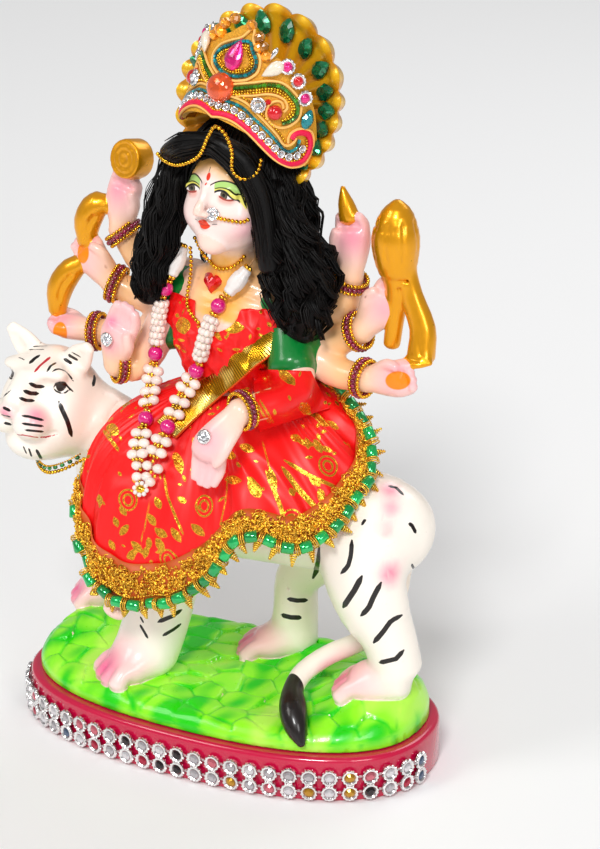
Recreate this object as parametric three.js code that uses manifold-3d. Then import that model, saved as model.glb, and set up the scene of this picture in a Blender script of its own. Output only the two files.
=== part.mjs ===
// A dressed votive figure: a seated goddess with eight arms on a striped tiger, cast in one with the
// grassy mound under them, on an oblong plinth with a band of stones. A wig, crown, tiara, cloth dress,
// sash, garland, bangles and chains of beads are put on the painted cast. Millimetres, +Z up, the front
// faces -Y.
import * as THREE from "three";
import { mergeVertices } from "three/addons/utils/BufferGeometryUtils.js";
import Module from "manifold-3d";

const wasm = await Module();
wasm.setup();

// Driving dimensions.
const plinthLength = 173;
const plinthWidth = 94;
const plinthHeight = 18;
const plinthEdge = 2; // rounding of the plinth's top edge
const plinthSquareness = 2.4; // 2 is an ellipse, more is squarer
const plinthRim = 5; // plinth that shows around the mound
const moundSkirt = 5; // height of the mound's steep lower edge
const figureHeight = 276; // from the plinth's top to the crown's top
const clearance = 0.35; // between pieces that touch
const clothThickness = 1.2;
const ribbonThickness = 1.1;
const ribbonWidth = 12;
const laceDepth = 3.2; // past the hem
const laceThickness = 2.4;
const stoneSize = 6.4; // across one stone of the band
const stoneProud = 2.2; // how far a stone stands out
const stonePitch = 7.6; // along the band
const chainBead = 1.8; // bead of the thin gold chains
const bangleBead = 2; // bead of the bangles
const bangleWidth = 5.2;
const bangleEase = 1; // how loosely a bangle sits on the wrist
const gemSize = 5; // clear stones on the hands

// The cast's places are given for this height and follow figureHeight.
const drawnHeight = 276;
const s = figureHeight / drawnHeight;
const spot = (x, y, z) => new THREE.Vector3(x * s, y * s, plinthHeight + (z - plinthHeight) * s);
const spots = (list) => list.map((p) => spot(...p));
const upright = new THREE.Vector3(0, 0, 1);
const backwards = new THREE.Vector3(0, 1, 0);

const paint = {
  plinthRed: [0xb30030, 0.35, 0],
  castSkin: [0xf3c4b4, 0.35, 0],
  crownGold: [0xc8901c, 0.35, 0.7],
  tiaraGold: [0xb88a30, 0.5, 0.4],
  hairBlack: [0x0b0909, 0.6, 0],
  clothRed: [0xe0101c, 0.7, 0],
  ribbonGold: [0xb8902c, 0.35, 0.8],
  laceGold: [0x9a6a18, 0.45, 0.6],
  beadWhite: [0xe8cfc4, 0.4, 0],
  beadGold: [0xc08828, 0.3, 0.9],
  beadMaroon: [0x7a0c34, 0.3, 0],
  stoneRed: [0xb00818, 0.15, 0],
  stoneClear: [0xd8d8dc, 0.15, 0.5],
};

// Solids from closed meshes.
function solidOf(geometry) {
  const bare = geometry.clone();
  bare.deleteAttribute("normal");
  bare.deleteAttribute("uv");
  const merged = mergeVertices(bare, 1e-4);
  const vertProperties = new Float32Array(merged.attributes.position.array);
  const triVerts = new Uint32Array(merged.index.array);
  const corner = (i) => new THREE.Vector3().fromArray(vertProperties, 3 * triVerts[i]);
  let volume = 0;
  for (let i = 0; i < triVerts.length; i += 3) volume += corner(i).dot(corner(i + 1).cross(corner(i + 2)));
  if (volume < 0) triVerts.reverse();
  return new wasm.Manifold(new wasm.Mesh({ numProp: 3, vertProperties, triVerts }));
}

const joined = (solids) => solids.reduce((all, one) => all.add(one));
const cutBy = (solid, cutters) => cutters.reduce((left, cutter) => left.subtract(cutter), solid);

// The largest body of a solid, without the slivers that a cut leaves beside it.
function mainBody(solid) {
  return solid.decompose().reduce((best, body) => (body.volume() > best.volume() ? body : best));
}

const middleOf = (row) => row.reduce((sum, p) => sum.add(p), new THREE.Vector3()).divideScalar(row.length);

// A closed mesh over rows of points. Each row is a closed ring, and the two ends are closed by a point.
function ringMesh(rows, firstPole, lastPole) {
  const across = rows[0].length;
  const points = [...rows.flat(), firstPole, lastPole];
  const index = [];
  const id = (row, i) => row * across + (i % across);
  for (let row = 0; row < rows.length - 1; row++)
    for (let i = 0; i < across; i++) {
      index.push(id(row, i), id(row, i + 1), id(row + 1, i));
      index.push(id(row, i + 1), id(row + 1, i + 1), id(row + 1, i));
    }
  for (let i = 0; i < across; i++) {
    index.push(rows.length * across, id(0, i + 1), id(0, i));
    index.push(rows.length * across + 1, id(rows.length - 1, i), id(rows.length - 1, i + 1));
  }
  return new THREE.BufferGeometry().setFromPoints(points).setIndex(index);
}

// A closed mesh over a grid that closes on itself both ways, such as a thin shell or a ring.
function torusMesh(rows) {
  const across = rows[0].length;
  const index = [];
  const id = (row, i) => (row % rows.length) * across + (i % across);
  for (let row = 0; row < rows.length; row++)
    for (let i = 0; i < across; i++) {
      index.push(id(row, i), id(row, i + 1), id(row + 1, i));
      index.push(id(row, i + 1), id(row + 1, i + 1), id(row + 1, i));
    }
  return new THREE.BufferGeometry().setFromPoints(rows.flat()).setIndex(index);
}

// A limb: oval rings [x, y, z, half width, half depth] along a spine, blunt at both ends.
function limb(rings, { sides = 8, up = upright, grow = 0 } = {}) {
  const centres = spots(rings.map(([x, y, z]) => [x, y, z]));
  const last = rings.length - 1;
  const along = (i) => centres[Math.min(i + 1, last)].clone().sub(centres[Math.max(i - 1, 0)]).normalize();
  const rows = rings.map(([, , , wide, deep = wide], i) => {
    const side = along(i).cross(up).normalize();
    const depth = side.clone().cross(along(i)).normalize();
    return Array.from({ length: sides }, (_, k) => {
      const turn = (2 * Math.PI * k) / sides;
      return centres[i]
        .clone()
        .addScaledVector(side, Math.cos(turn) * (wide * s + grow))
        .addScaledVector(depth, Math.sin(turn) * (deep * s + grow));
    });
  });
  const blunt = (i) => 0.55 * Math.min(rings[i][3], rings[i][4] ?? rings[i][3]) * s + grow;
  const first = centres[0].clone().addScaledVector(along(0), -blunt(0));
  const end = centres[last].clone().addScaledVector(along(last), blunt(last));
  return solidOf(ringMesh(rows, first, end));
}

// A ball or egg: centre [x, y, z] and half sizes [x, y, z], turned about the upright by a yaw in degrees.
function egg([x, y, z], [rx, ry, rz], { yaw = 0, grow = 0, across = 9, rows = 6 } = {}) {
  const geometry = new THREE.SphereGeometry(1, across, rows)
    .rotateX(Math.PI / 2)
    .scale(rx * s + grow, ry * s + grow, rz * s + grow)
    .rotateZ(THREE.MathUtils.degToRad(yaw));
  const centre = spot(x, y, z);
  return solidOf(geometry.translate(centre.x, centre.y, centre.z));
}

// The oblong outline of plinth and mound, at a share of a turn.
function oblong(halfLength, halfWidth, share, z) {
  const turn = 2 * Math.PI * share;
  const bend = (v) => Math.sign(v) * Math.abs(v) ** (2 / plinthSquareness);
  return new THREE.Vector3(halfLength * bend(Math.cos(turn)), halfWidth * bend(Math.sin(turn)), z);
}

const oblongSegments = 32;
function oblongRow(inset, z) {
  return Array.from({ length: oblongSegments }, (_, k) =>
    oblong(plinthLength / 2 - inset, plinthWidth / 2 - inset, k / oblongSegments, z),
  );
}

function makePlinth() {
  const rows = [
    oblongRow(0, 0),
    oblongRow(0, plinthHeight - plinthEdge),
    oblongRow(plinthEdge * 0.3, plinthHeight - plinthEdge * 0.3),
    oblongRow(plinthEdge, plinthHeight),
  ];
  return solidOf(ringMesh(rows, new THREE.Vector3(0, 0, 0), new THREE.Vector3(0, 0, plinthHeight)));
}

// The band of stones: two rows of studs joined by thin webs, along the front from end to end.
const bandRows = 2;
const bandWeb = 0.8; // thickness of the webs between the stones
const bandFrom = 0.47; // share of a turn, from the right end round the back, where the band starts
const bandTo = 0.975;
function makeStoneBand() {
  const low = (plinthHeight - plinthEdge - bandRows * stoneSize) * 0.35;
  const outline = new THREE.CatmullRomCurve3(oblongRow(-clearance, 0), true);
  const length = outline.getLength() * (bandTo - bandFrom);
  const count = Math.round(length / stonePitch);
  const columns = Array.from({ length: 2 * count + 1 }, (_, k) => {
    const share = bandFrom + ((bandTo - bandFrom) * k) / (2 * count);
    const at = outline.getPointAt(share);
    const tangent = outline.getTangentAt(share);
    const out = new THREE.Vector3(tangent.y, -tangent.x, 0);
    const proud = k % 2 ? bandWeb + stoneProud : bandWeb;
    const place = (rise, off) => at.clone().addScaledVector(out, off).setZ(low + rise * stoneSize);
    return [place(0, 0), place(0.5, proud), place(1, bandWeb), place(1.5, proud), place(2, 0)];
  });
  return solidOf(ringMesh(columns, middleOf(columns[0]), middleOf(columns[2 * count])));
}

// The mound: the oblong outline less the rim, rising in a rounded step to a bumpy top.
const moundBumps = [
  // x, y, height, reach
  [-74, 8, 6, 22],
  [66, 4, 14, 22],
  [28, 24, 6, 14],
  [20, -20, -3, 16],
];
const moundTop = 27;
const moundCreases = 1.1; // depth of the leaf-like facets
const moundWaves = [5.2, 7, 6.1]; // lengths of the waves that make them
function moundHeight(x, y) {
  let height = 0;
  for (const [bumpX, bumpY, high, reach] of moundBumps) {
    const away = Math.hypot(x / s - bumpX, y / s - bumpY);
    height += high * Math.exp(-((away / reach) ** 2));
  }
  const [across, bend, along] = moundWaves.map((length) => length * s);
  return height + moundCreases * Math.sin(x / across + Math.sin(y / bend)) * Math.cos(y / along);
}

function makeMound(grow) {
  const base = plinthHeight + clearance - grow;
  const steps = [
    // inset from the mound's outline, share of the rise
    [0, 0],
    [-1, 0.5],
    [2, 0.8],
    [9, 0.97],
    [22, 1],
  ];
  const rows = steps.map(([inset, rise]) =>
    oblongRow(plinthRim + inset * s - grow, 0).map((p) => {
      const top = plinthHeight + (moundTop - plinthHeight) * s + moundHeight(p.x, p.y) * rise;
      const foot = base + (rise > 0 ? moundSkirt * 0.2 : 0);
      return new THREE.Vector3(p.x, p.y, foot + (top - foot) * rise + (rise > 0 ? grow : 0));
    }),
  );
  const middle = plinthHeight + (moundTop - plinthHeight) * s + moundHeight(0, 0) + grow;
  return solidOf(ringMesh(rows, new THREE.Vector3(0, 0, base), new THREE.Vector3(0, 0, middle)));
}

// The tiger. Its head is turned to the front.
function makeTiger(grow) {
  const body = limb(
    [
      [77, 5, 97, 10, 12],
      [71, 5, 98, 16, 17],
      [58, 5, 98.5, 20, 20.5],
      [30, 5, 97, 20, 21],
      [0, 5, 96, 20, 22],
      [-28, 4, 97, 20, 23],
      [-46, 2, 101, 18, 21],
      [-57, -1, 106, 13, 15],
    ],
    { sides: 10, grow },
  );
  const neck = limb(
    [
      [-40, 2, 108, 16, 17],
      [-54, -4, 119, 16, 16],
      [-65, -9, 129, 14, 14],
    ],
    { sides: 8, grow },
  );
  const nearFore = [
    [-24, -8, 94, 14, 13],
    [-21, -11, 74, 12, 12],
    [-22, -12, 60, 11.5, 12],
    [-26, -14, 47, 13, 12],
    [-29, -17, 35, 13, 12],
  ];
  const farFore = [
    [-46, 14, 92, 12, 12],
    [-58, 18, 68, 10, 10],
    [-68, 22, 48, 9, 9],
    [-72, 24, 35, 9, 9],
  ];
  const nearHind = [
    [61, -7, 98, 17, 12],
    [62, -8, 84, 16.5, 12],
    [66, -7, 70, 14.5, 11],
    [71, -5, 59, 11, 10],
    [74, -3, 46, 10, 9.5],
  ];
  const farHind = [
    [42, 16, 90, 16, 12],
    [28, 20, 73, 11.5, 9],
    [18, 22, 60, 9, 8.5],
    [17, 22, 46, 9, 9],
    [16, 22, 36, 10, 9],
  ];
  const legs = [nearFore, farFore, nearHind, farHind].map((rings) =>
    limb(rings, { sides: 7, up: backwards, grow }),
  );
  const paws = [
    // heel, toes, half width, half depth
    [[-27, -18, 33], [-39, -33, 29], 12, 8],
    [[-68, 26, 36], [-83, 17, 33], 11, 8],
    [[74, -2, 40], [52, -9, 35], 11, 8],
    [[18, 23, 34], [-3, 14, 29], 10.5, 7],
  ].map(([heel, toes, wide, deep]) =>
    limb(
      [
        [...heel, wide * 0.9, deep],
        [...heel.map((v, i) => v * 0.4 + toes[i] * 0.6), wide, deep],
        [...toes, wide * 0.85, deep * 0.75],
      ],
      { sides: 7, grow },
    ),
  );
  const tail = limb(
    [
      [66, 16, 104, 5],
      [62, 25, 86, 4.5],
      [60, 26, 64, 4.5],
      [56, 20, 48, 4],
      [51, 8, 45, 4],
      [44.5, -2, 43, 4],
      [40, -14, 40, 4],
      [40.5, -24, 37, 4],
      [44, -31, 33, 5.4],
      [48, -36, 28, 4.6],
      [52, -39, 23, 1.6],
    ],
    { sides: 6, grow },
  );
  return joined([body, neck, ...legs, ...paws, tail, makeTigerHead(grow)]);
}

const tigerHead = { x: -71.5, y: -13, z: 136, yaw: -9 };
// A place in the tiger's head: out to its left cheek, forward along its gaze, and up.
function headSpot(side, ahead, up) {
  const turn = THREE.MathUtils.degToRad(tigerHead.yaw);
  return [
    tigerHead.x + side * Math.cos(turn) + ahead * Math.sin(turn),
    tigerHead.y + side * Math.sin(turn) - ahead * Math.cos(turn),
    tigerHead.z + up,
  ];
}

function makeTigerHead(grow) {
  const yaw = tigerHead.yaw;
  const skull = egg(headSpot(0, 0, 0), [16.5, 17, 17.5], { yaw, grow });
  const jaw = egg(headSpot(0, 5, -12), [16, 15, 15], { yaw, grow });
  const muzzle = egg(headSpot(0, 18, -6), [9.5, 9, 9], { yaw, grow, across: 8, rows: 6 });
  const chin = egg(headSpot(0, 14, -16), [9, 8, 8], { yaw, grow, across: 8, rows: 6 });
  const nose = egg(headSpot(0, 26, -1), [4.5, 3, 3.5], { yaw, grow, across: 6, rows: 4 });
  const ears = [-1, 1].map((side) =>
    limb(
      [
        [...headSpot(side * 10, -1, 12), 6, 3],
        [...headSpot(side * 15, 0, 17), 5.4, 2.4],
        [...headSpot(side * 20, 1, 22), 2.6, 1.6],
      ],
      { sides: 6, up: backwards, grow },
    ),
  );
  return joined([skull, jaw, muzzle, chin, nose, ...ears]);
}

// The goddess: torso, head, legs under the dress, and eight arms with what they hold.
const headCentre = [4.5, -2, 225];
const faceYaw = -9;
function makeGoddess(grow) {
  const torso = limb(
    [
      [0, 5, 112, 26, 18],
      [0, 4, 124, 25, 17],
      [0, 3, 142, 15, 11],
      [0, 0, 160, 19, 13],
      [0, 0, 172, 22, 14],
      [1, 3, 184, 24, 9],
      [1.5, 3, 192, 11, 8],
      [2, 1, 204, 7.5, 8],
    ],
    { sides: 10, up: backwards, grow },
  );
  const skull = egg(headCentre, [17, 18, 21], { yaw: faceYaw, grow });
  const jaw = egg([3, -9, 214], [11.5, 10, 9], { yaw: faceYaw, grow });
  const nose = limb(
    [
      [1.6, -19.3, 229, 1.6, 1.6],
      [1.2, -22.2, 220, 2.4, 2],
    ],
    { sides: 6, up: backwards, grow },
  );
  const rightLeg = limb(
    [
      [-12, -6, 126, 13, 11],
      [-24, -27, 124, 10, 9],
      [-24, -32, 114, 7, 7],
      [-24, -34, 76, 5.5, 6],
    ],
    { sides: 6, grow },
  );
  const foot = limb(
    [
      [-23, -33, 72, 6, 5],
      [-27, -44, 63, 5.5, 3.5],
    ],
    { sides: 6, grow },
  );
  const leftLeg = limb(
    [
      [12, -2, 126, 13, 11],
      [38, -11, 122, 9, 8],
      [28, -19, 118, 7, 7],
      [12, -24, 116, 6, 6],
    ],
    { sides: 6, grow },
  );
  const sleeves = [-1, 1].map((side) =>
    limb(
      [
        [side * 19, 4, 182, 9, 9],
        [side * 26 + 1, 3, 172, 9, 9],
        [side * 28 + 1, 2, 163, 9.5, 9.5],
      ],
      { sides: 6, up: backwards, grow },
    ),
  );
  const body = [torso, skull, jaw, nose, rightLeg, foot, leftLeg];
  return joined([...body, ...sleeves, ...makeArms(grow), ...makeHeldThings(grow)]);
}

// Each arm: shoulder, elbow, wrist, palm and finger tips. The first of each side is the front arm.
const arms = {
  right_1: [[-26, 0, 172], [-34, -8, 152], [-41, -16, 153], [-38.5, -18, 165], [-33, -18, 179]],
  right_2: [[-24, 5, 170], [-42, 5, 158], [-62, 2, 157], [-73, 2, 157], [-80, 0, 159]],
  right_3: [[-22, 7, 178], [-40, 9, 172], [-55, 6, 177], [-63, 6, 185], [-69, 6, 193]],
  right_4: [[-20, 9, 184], [-42, 12, 184], [-53, 10, 198], [-51.5, 10, 211], [-49, 9, 221]],
  left_1: [[26, 0, 168], [36, -14, 155], [25, -37, 153], [16.5, -44, 140], [14, -44, 124]],
  left_2: [[24, 5, 170], [42, 4, 159], [58, 2, 158.5], [70, 1, 161], [78, 0, 164]],
  left_3: [[22, 7, 178], [38, 9, 168], [52.5, 8, 175], [61, 9, 186], [66, 9, 196]],
  left_4: [[20, 9, 184], [40, 13, 180], [45.5, 12, 194], [46.5, 12, 208], [45, 12, 219]],
};
const wristRadius = 4.8;
function makeArms(grow) {
  return Object.values(arms).flatMap(([shoulder, elbow, wrist, palm, tips]) => [
    limb([[...shoulder, 7], [...elbow, 6.2], [...wrist, wristRadius]], {
      sides: 6,
      up: upsideOf(elbow, wrist),
      grow,
    }),
    limb([[...wrist, wristRadius * 0.9], [...palm, 7.5, 4.5], [...tips, 5, 3]], {
      sides: 6,
      up: upsideOf(wrist, tips),
      grow,
    }),
  ]);
}

// A direction that is never along the limb: backwards for a rising one, upright for a level one.
function upsideOf(from, to) {
  return Math.abs(to[2] - from[2]) > Math.abs(to[1] - from[1]) ? backwards : upright;
}

// Disc, conch and horn on the right side, mace and lotus bud on the left.
function makeHeldThings(grow) {
  const disc = limb([[-49, 3, 228, 5.5], [-48.5, 6, 228, 7.6], [-48, 11, 228, 7.6], [-47.6, 15, 228, 5]], {
    sides: 10,
    grow,
  });
  const conch = limb([[-56, 9, 206, 2.4], [-62, 8, 207, 5], [-66, 7, 200, 5.4], [-66, 6, 192, 3.6]], {
    sides: 8,
    up: backwards,
    grow,
  });
  const horn = limb([[-66, 5, 184, 2.6], [-72, 4, 180, 4.8], [-77, 3, 172, 5.2], [-78, 2, 163, 3.6]], {
    sides: 8,
    up: backwards,
    grow,
  });
  const maceHead = limb(
    [
      [66, 9, 226, 2.5],
      [66, 9, 221, 6.5],
      [65.5, 9, 213, 9],
      [66, 9, 204, 8],
      [67, 9, 196, 5.5],
      [66, 9, 184, 3.6],
      [65, 8, 172, 3.2],
    ],
    { sides: 8, up: backwards, grow },
  );
  const macePennant = limb(
    [
      [68, 9, 204, 5, 4],
      [72, 9, 192, 4.5, 4],
      [77.5, 8, 180, 5, 4.5],
      [78, 6, 170, 5.4, 5],
    ],
    { sides: 8, up: backwards, grow },
  );
  const lotus = limb([[45, 12, 216, 5], [42.5, 12, 222, 4.6], [41, 12, 230, 1.2]], {
    sides: 6,
    up: backwards,
    grow,
  });
  return [disc, conch, horn, maceHead, macePennant, lotus];
}

const castSolid = (grow) => joined([makeMound(grow), makeTiger(grow), makeGoddess(grow)]);

// Crown and tiara stand in one leaning frame above the head: x to its left, y backwards, z up.
const crownFrame = new THREE.Matrix4()
  .makeRotationFromEuler(new THREE.Euler(...[-18, 10, faceYaw].map(THREE.MathUtils.degToRad), "ZYX"))
  .setPosition(spot(5, 2, 246));
const inCrown = (x, y, z) => new THREE.Vector3(x * s, y * s, z * s).applyMatrix4(crownFrame);

const crown = {
  radius: 34.5,
  rays: 24,
  scallop: 0.045, // of the radius
  pleat: 1.1,
  thickness: 4.5,
  cup: 7,
  centre: [0, 11, 13],
};
function makeCrown(grow = 0) {
  const perRay = 2;
  const around = crown.rays * perRay;
  const [cx, cy, cz] = crown.centre;
  const row = (share, back) =>
    Array.from({ length: around }, (_, k) => {
      const turn = (2 * Math.PI * k) / around;
      const ridge = k % perRay === 0 ? 1 : -1;
      const reach = crown.radius * share * (1 + crown.scallop * ridge * share) + (share === 1 ? grow / s : 0);
      const bowl = -crown.cup * share ** 2 + crown.pleat * ridge * share * (back ? 0.4 : -1);
      const y = cy + bowl + (back ? crown.thickness + grow / s : -grow / s);
      return inCrown(cx + reach * Math.sin(turn), y, cz + reach * Math.cos(turn));
    });
  const rows = [row(0.5, false), row(1, false), row(0.98, true)];
  const front = inCrown(cx, cy - grow / s, cz);
  const back = inCrown(cx, cy + crown.thickness + grow / s, cz);
  return solidOf(ringMesh(rows, front, back));
}

// The tiara: a plate bent round the brow, low and arched at the foot, with a leaf rising in the middle.
const tiara = {
  radius: 26,
  reach: 86, // degrees to each side
  thickness: 2.4,
  axis: [2, 6],
  steps: 20,
  foot: 5, // height of the lower edge in the middle
  dip: 7, // how far it falls to the sides
  dipTurn: 58,
  head: 34, // height of the upper edge beside the leaf
  headTurn: 92,
  headPower: 3.2,
  leaf: 6.5,
  leafTurn: 12,
};
const tiaraFoot = (turn) => tiara.foot - tiara.dip * Math.min(1, Math.abs(turn) / tiara.dipTurn) ** 2;
const tiaraHead = (turn) =>
  tiara.head * (1 - (Math.abs(turn) / tiara.headTurn) ** tiara.headPower) +
  tiara.leaf * Math.exp(-((turn / tiara.leafTurn) ** 2));
function makeTiara(grow = 0) {
  const [ax, ay] = tiara.axis;
  const rows = Array.from({ length: tiara.steps + 1 }, (_, k) => {
    const turn = tiara.reach * ((2 * k) / tiara.steps - 1);
    const angle = THREE.MathUtils.degToRad(turn);
    const place = (radius, z) => inCrown(ax + radius * Math.sin(angle), ay - radius * Math.cos(angle), z);
    const inner = tiara.radius - grow / s;
    const outer = tiara.radius + tiara.thickness + grow / s;
    const low = tiaraFoot(turn) - grow / s;
    const high = tiaraHead(turn) + grow / s;
    return [place(inner, low), place(outer, low), place(outer, high), place(inner, high)];
  });
  return solidOf(ringMesh(rows, middleOf(rows[0]), middleOf(rows[tiara.steps])));
}

// The wig: a cap, a fringe, a bunch on each shoulder and the length down the back, open at the face.
function makeWig(grow = 0) {
  const cap = egg([4.5, 4, 229], [22, 21, 24], { grow, across: 9, rows: 6 });
  const fringe = [
    [-19, -9, 238, 5],
    [-8, -18, 244, 5],
    [5, -20, 248, 4],
    [15, -17, 241, 6],
    [18, -12, 229, 6],
    [19, -9, 214, 6],
    [21, -8, 200, 5],
  ];
  const rightBunch = [
    [-16, -2, 240, 7],
    [-20, -6, 224, 9, 9],
    [-24.5, -8, 206, 10.5, 10],
    [-28, -9, 193, 10, 9],
    [-29.5, -9, 181, 8, 7],
  ];
  const leftBunch = [
    [20, 2, 240, 8],
    [25, 0, 226, 11, 11],
    [27, -1, 214, 12, 11],
    [31, -1, 203, 16, 12],
    [31, -2, 190, 18, 11],
    [31.5, -3, 177, 15, 9],
    [31, -3, 169, 10, 7],
  ];
  const length = [
    [4, 12, 238, 15],
    [2, 17, 214, 20, 10],
    [3, 17, 190, 25, 9],
    [2, 18, 166, 17, 6],
    [1, 17, 156, 9, 4],
  ];
  const bunches = [rightBunch, leftBunch, length].map((rings) =>
    limb(rings, { sides: 7, up: backwards, grow }),
  );
  const face = egg([1, -22, 218.5], [15.5 - grow, 17, 25 - grow], { yaw: faceYaw, across: 12, rows: 8 });
  return joined([cap, limb(fringe, { sides: 6, up: backwards, grow }), ...bunches]).subtract(face);
}

// The dress. Hem and knee curves run once round the seat, from the left hip round the back.
const hemLine = [
  [25, 17, 150],
  [43, 15, 143],
  [58, 5, 125],
  [58, -12, 112],
  [48, -31, 100],
  [28, -39, 104],
  [16, -43, 86],
  [-5, -46, 72],
  [-27, -47, 72],
  [-38, -42, 86],
  [-43, -36, 98],
  [-46, -24, 109],
  [-39, 2, 123],
  [-20, 24, 128],
  [6, 28, 134],
];
const kneeLine = [
  [20, 15, 150],
  [30, 12, 147],
  [42, 3, 141],
  [45.5, -11, 137],
  [37.5, -24.5, 133],
  [23.5, -34.5, 132],
  [8, -38, 124],
  [-10, -46, 117],
  [-27, -50.5, 121],
  [-41.5, -45, 131],
  [-48, -32, 136],
  [-45, -16, 138],
  [-32, 1, 141],
  [-13, 17, 141],
  [6, 21, 142],
];
const pleats = 18;
const dressAround = 2 * pleats; // a ridge and a valley to each pleat
const pleatDepth = 1.3;
const waistCentre = spot(0, 3, 147);
const waistHalf = [16.5, 12.5];
const kneePull = 1.35; // how fully the cloth billows out to the knees
const hemReach = 50; // length that a share of 1 stands for, past the hem
const hemCurve = new THREE.CatmullRomCurve3(spots(hemLine), true);
const kneeCurve = new THREE.CatmullRomCurve3(spots(kneeLine), true);

// A place on the dress: share round it, and share from waist (0) to hem (1), which may pass the hem.
function dressPoint(round, down) {
  const knee = kneeCurve.getPoint(round);
  const hem = hemCurve.getPoint(round);
  const turn = Math.atan2(knee.y - waistCentre.y, knee.x - waistCentre.x);
  const waist = waistCentre
    .clone()
    .add(new THREE.Vector3(waistHalf[0] * s * Math.cos(turn), waistHalf[1] * s * Math.sin(turn), 0));
  const past = Math.max(0, down - 1) * hemReach * s;
  const share = Math.min(down, 1);
  const bow = 2 * share * (1 - share) * kneePull;
  const beyond = hem.clone().sub(knee).setLength(past);
  const point = waist
    .multiplyScalar((1 - share) ** 2)
    .addScaledVector(knee, bow)
    .addScaledVector(hem, share ** 2);
  return point.divideScalar((1 - share) ** 2 + bow + share ** 2).add(beyond);
}

function dressOutward(round, down) {
  const step = 0.004;
  const around = dressPoint((round + step) % 1, down).sub(dressPoint((round + 1 - step) % 1, down));
  const downwards = dressPoint(round, down + step).sub(dressPoint(round, down - step));
  return around.cross(downwards).normalize();
}

function dressShell(shares, inner, outer) {
  const place = (round, down, offset) => {
    const wave = pleatDepth * s * Math.min(1, down) ** 1.5 * Math.cos(2 * Math.PI * pleats * round);
    return dressPoint(round, down).addScaledVector(dressOutward(round, down), offset + wave);
  };
  const ring = (down, offset) =>
    Array.from({ length: dressAround }, (_, k) => place(k / dressAround, down, offset));
  const insideOut = shares.map((down) => ring(down, inner));
  const outside = shares.map((down) => ring(down, outer)).reverse();
  return solidOf(torusMesh([...insideOut, ...outside]));
}

const skirtStart = 0.02;
const skirtEnd = 0.97;
const laceStart = 0.86;
const onTop = clothThickness + 1.6 * clearance;
const skirtRows = [skirtStart, 0.33, 0.64, laceStart, skirtEnd];
const makeSkirt = (grow = 0) =>
  dressShell([...skirtRows.slice(0, -1), skirtEnd + grow / (hemReach * s)], -grow, clothThickness + grow);
const makeLace = (grow = 0) =>
  dressShell(
    [laceStart, skirtEnd, 1 + laceDepth / (hemReach * s)],
    onTop - grow,
    onTop + laceThickness + grow,
  );

// The bodice: cloth round the chest, open at the neck.
function makeBodice(grow = 0) {
  const rings = [
    [0, 3, 149, 17, 13],
    [0, 0, 160, 21, 15],
    [0, 0, 172, 23.5, 15.6],
    [1, 1.5, 182, 22, 12.5],
  ];
  const chest = limb(rings, { sides: 12, up: backwards, grow });
  const neckline = egg([0, -16, 192], [11 - grow, 14, 18 - grow], { across: 10, rows: 7 });
  return chest.subtract(neckline);
}

// A flat ribbon along spots, standing off the body by its thickness.
function ribbon(path, width, thickness, outward, grow = 0) {
  const curve = new THREE.CatmullRomCurve3(spots(path));
  const steps = 12;
  const rows = Array.from({ length: steps + 1 }, (_, k) => {
    const at = curve.getPoint(k / steps);
    const across = curve.getTangent(k / steps).cross(outward).normalize();
    const corner = (side, off) =>
      at
        .clone()
        .addScaledVector(across, side * (width / 2 + grow))
        .addScaledVector(outward, off);
    return [corner(-1, -grow), corner(1, -grow), corner(1, thickness + grow), corner(-1, thickness + grow)];
  });
  return solidOf(ringMesh(rows, middleOf(rows[0]), middleOf(rows[steps])));
}

const sashOut = new THREE.Vector3(0.15, -0.88, 0.45).normalize();
const sashPath = [
  [23, -4.5, 175],
  [19.5, -9.8, 168.6],
  [15.6, -12.3, 165.1],
  [12.3, -14.2, 161.5],
  [7, -14.2, 156.2],
  [0.5, -13.3, 150.2],
  [-3.8, -15.6, 145.8],
  [-6.8, -19.4, 142.2],
  [-9.6, -23.6, 138.6],
  [-11.9, -27.4, 135.4],
];
const makeSash = (grow = 0) => ribbon(sashPath, ribbonWidth * s, ribbonThickness, sashOut, grow);

// A string of beads along spots. Each bead is a pair of rings, with a narrow waist between beads.
function beadString(path, beads, { sides = 5, grow = 0 } = {}) {
  const curve = new THREE.CatmullRomCurve3(spots(path));
  const total = beads.reduce((sum, [, length]) => sum + length, 0);
  const rings = [];
  let along = 0;
  for (const [radius, length] of beads) {
    for (const [share, swell] of [[0.06, 0.45], [0.5, 1], [0.94, 0.45]]) {
      const at = curve.getPointAt((along + share * length) / total);
      rings.push([at, radius * swell + grow, curve.getTangentAt((along + share * length) / total)]);
    }
    along += length;
  }
  const rows = rings.map(([at, radius, tangent]) => {
    const side = tangent.clone().cross(backwards).normalize();
    const depth = side.clone().cross(tangent).normalize();
    return Array.from({ length: sides }, (_, k) => {
      const turn = (2 * Math.PI * k) / sides;
      return at
        .clone()
        .addScaledVector(side, radius * Math.cos(turn))
        .addScaledVector(depth, radius * Math.sin(turn));
    });
  });
  return solidOf(ringMesh(rows, rings[0][0], rings[rings.length - 1][0]));
}

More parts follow.
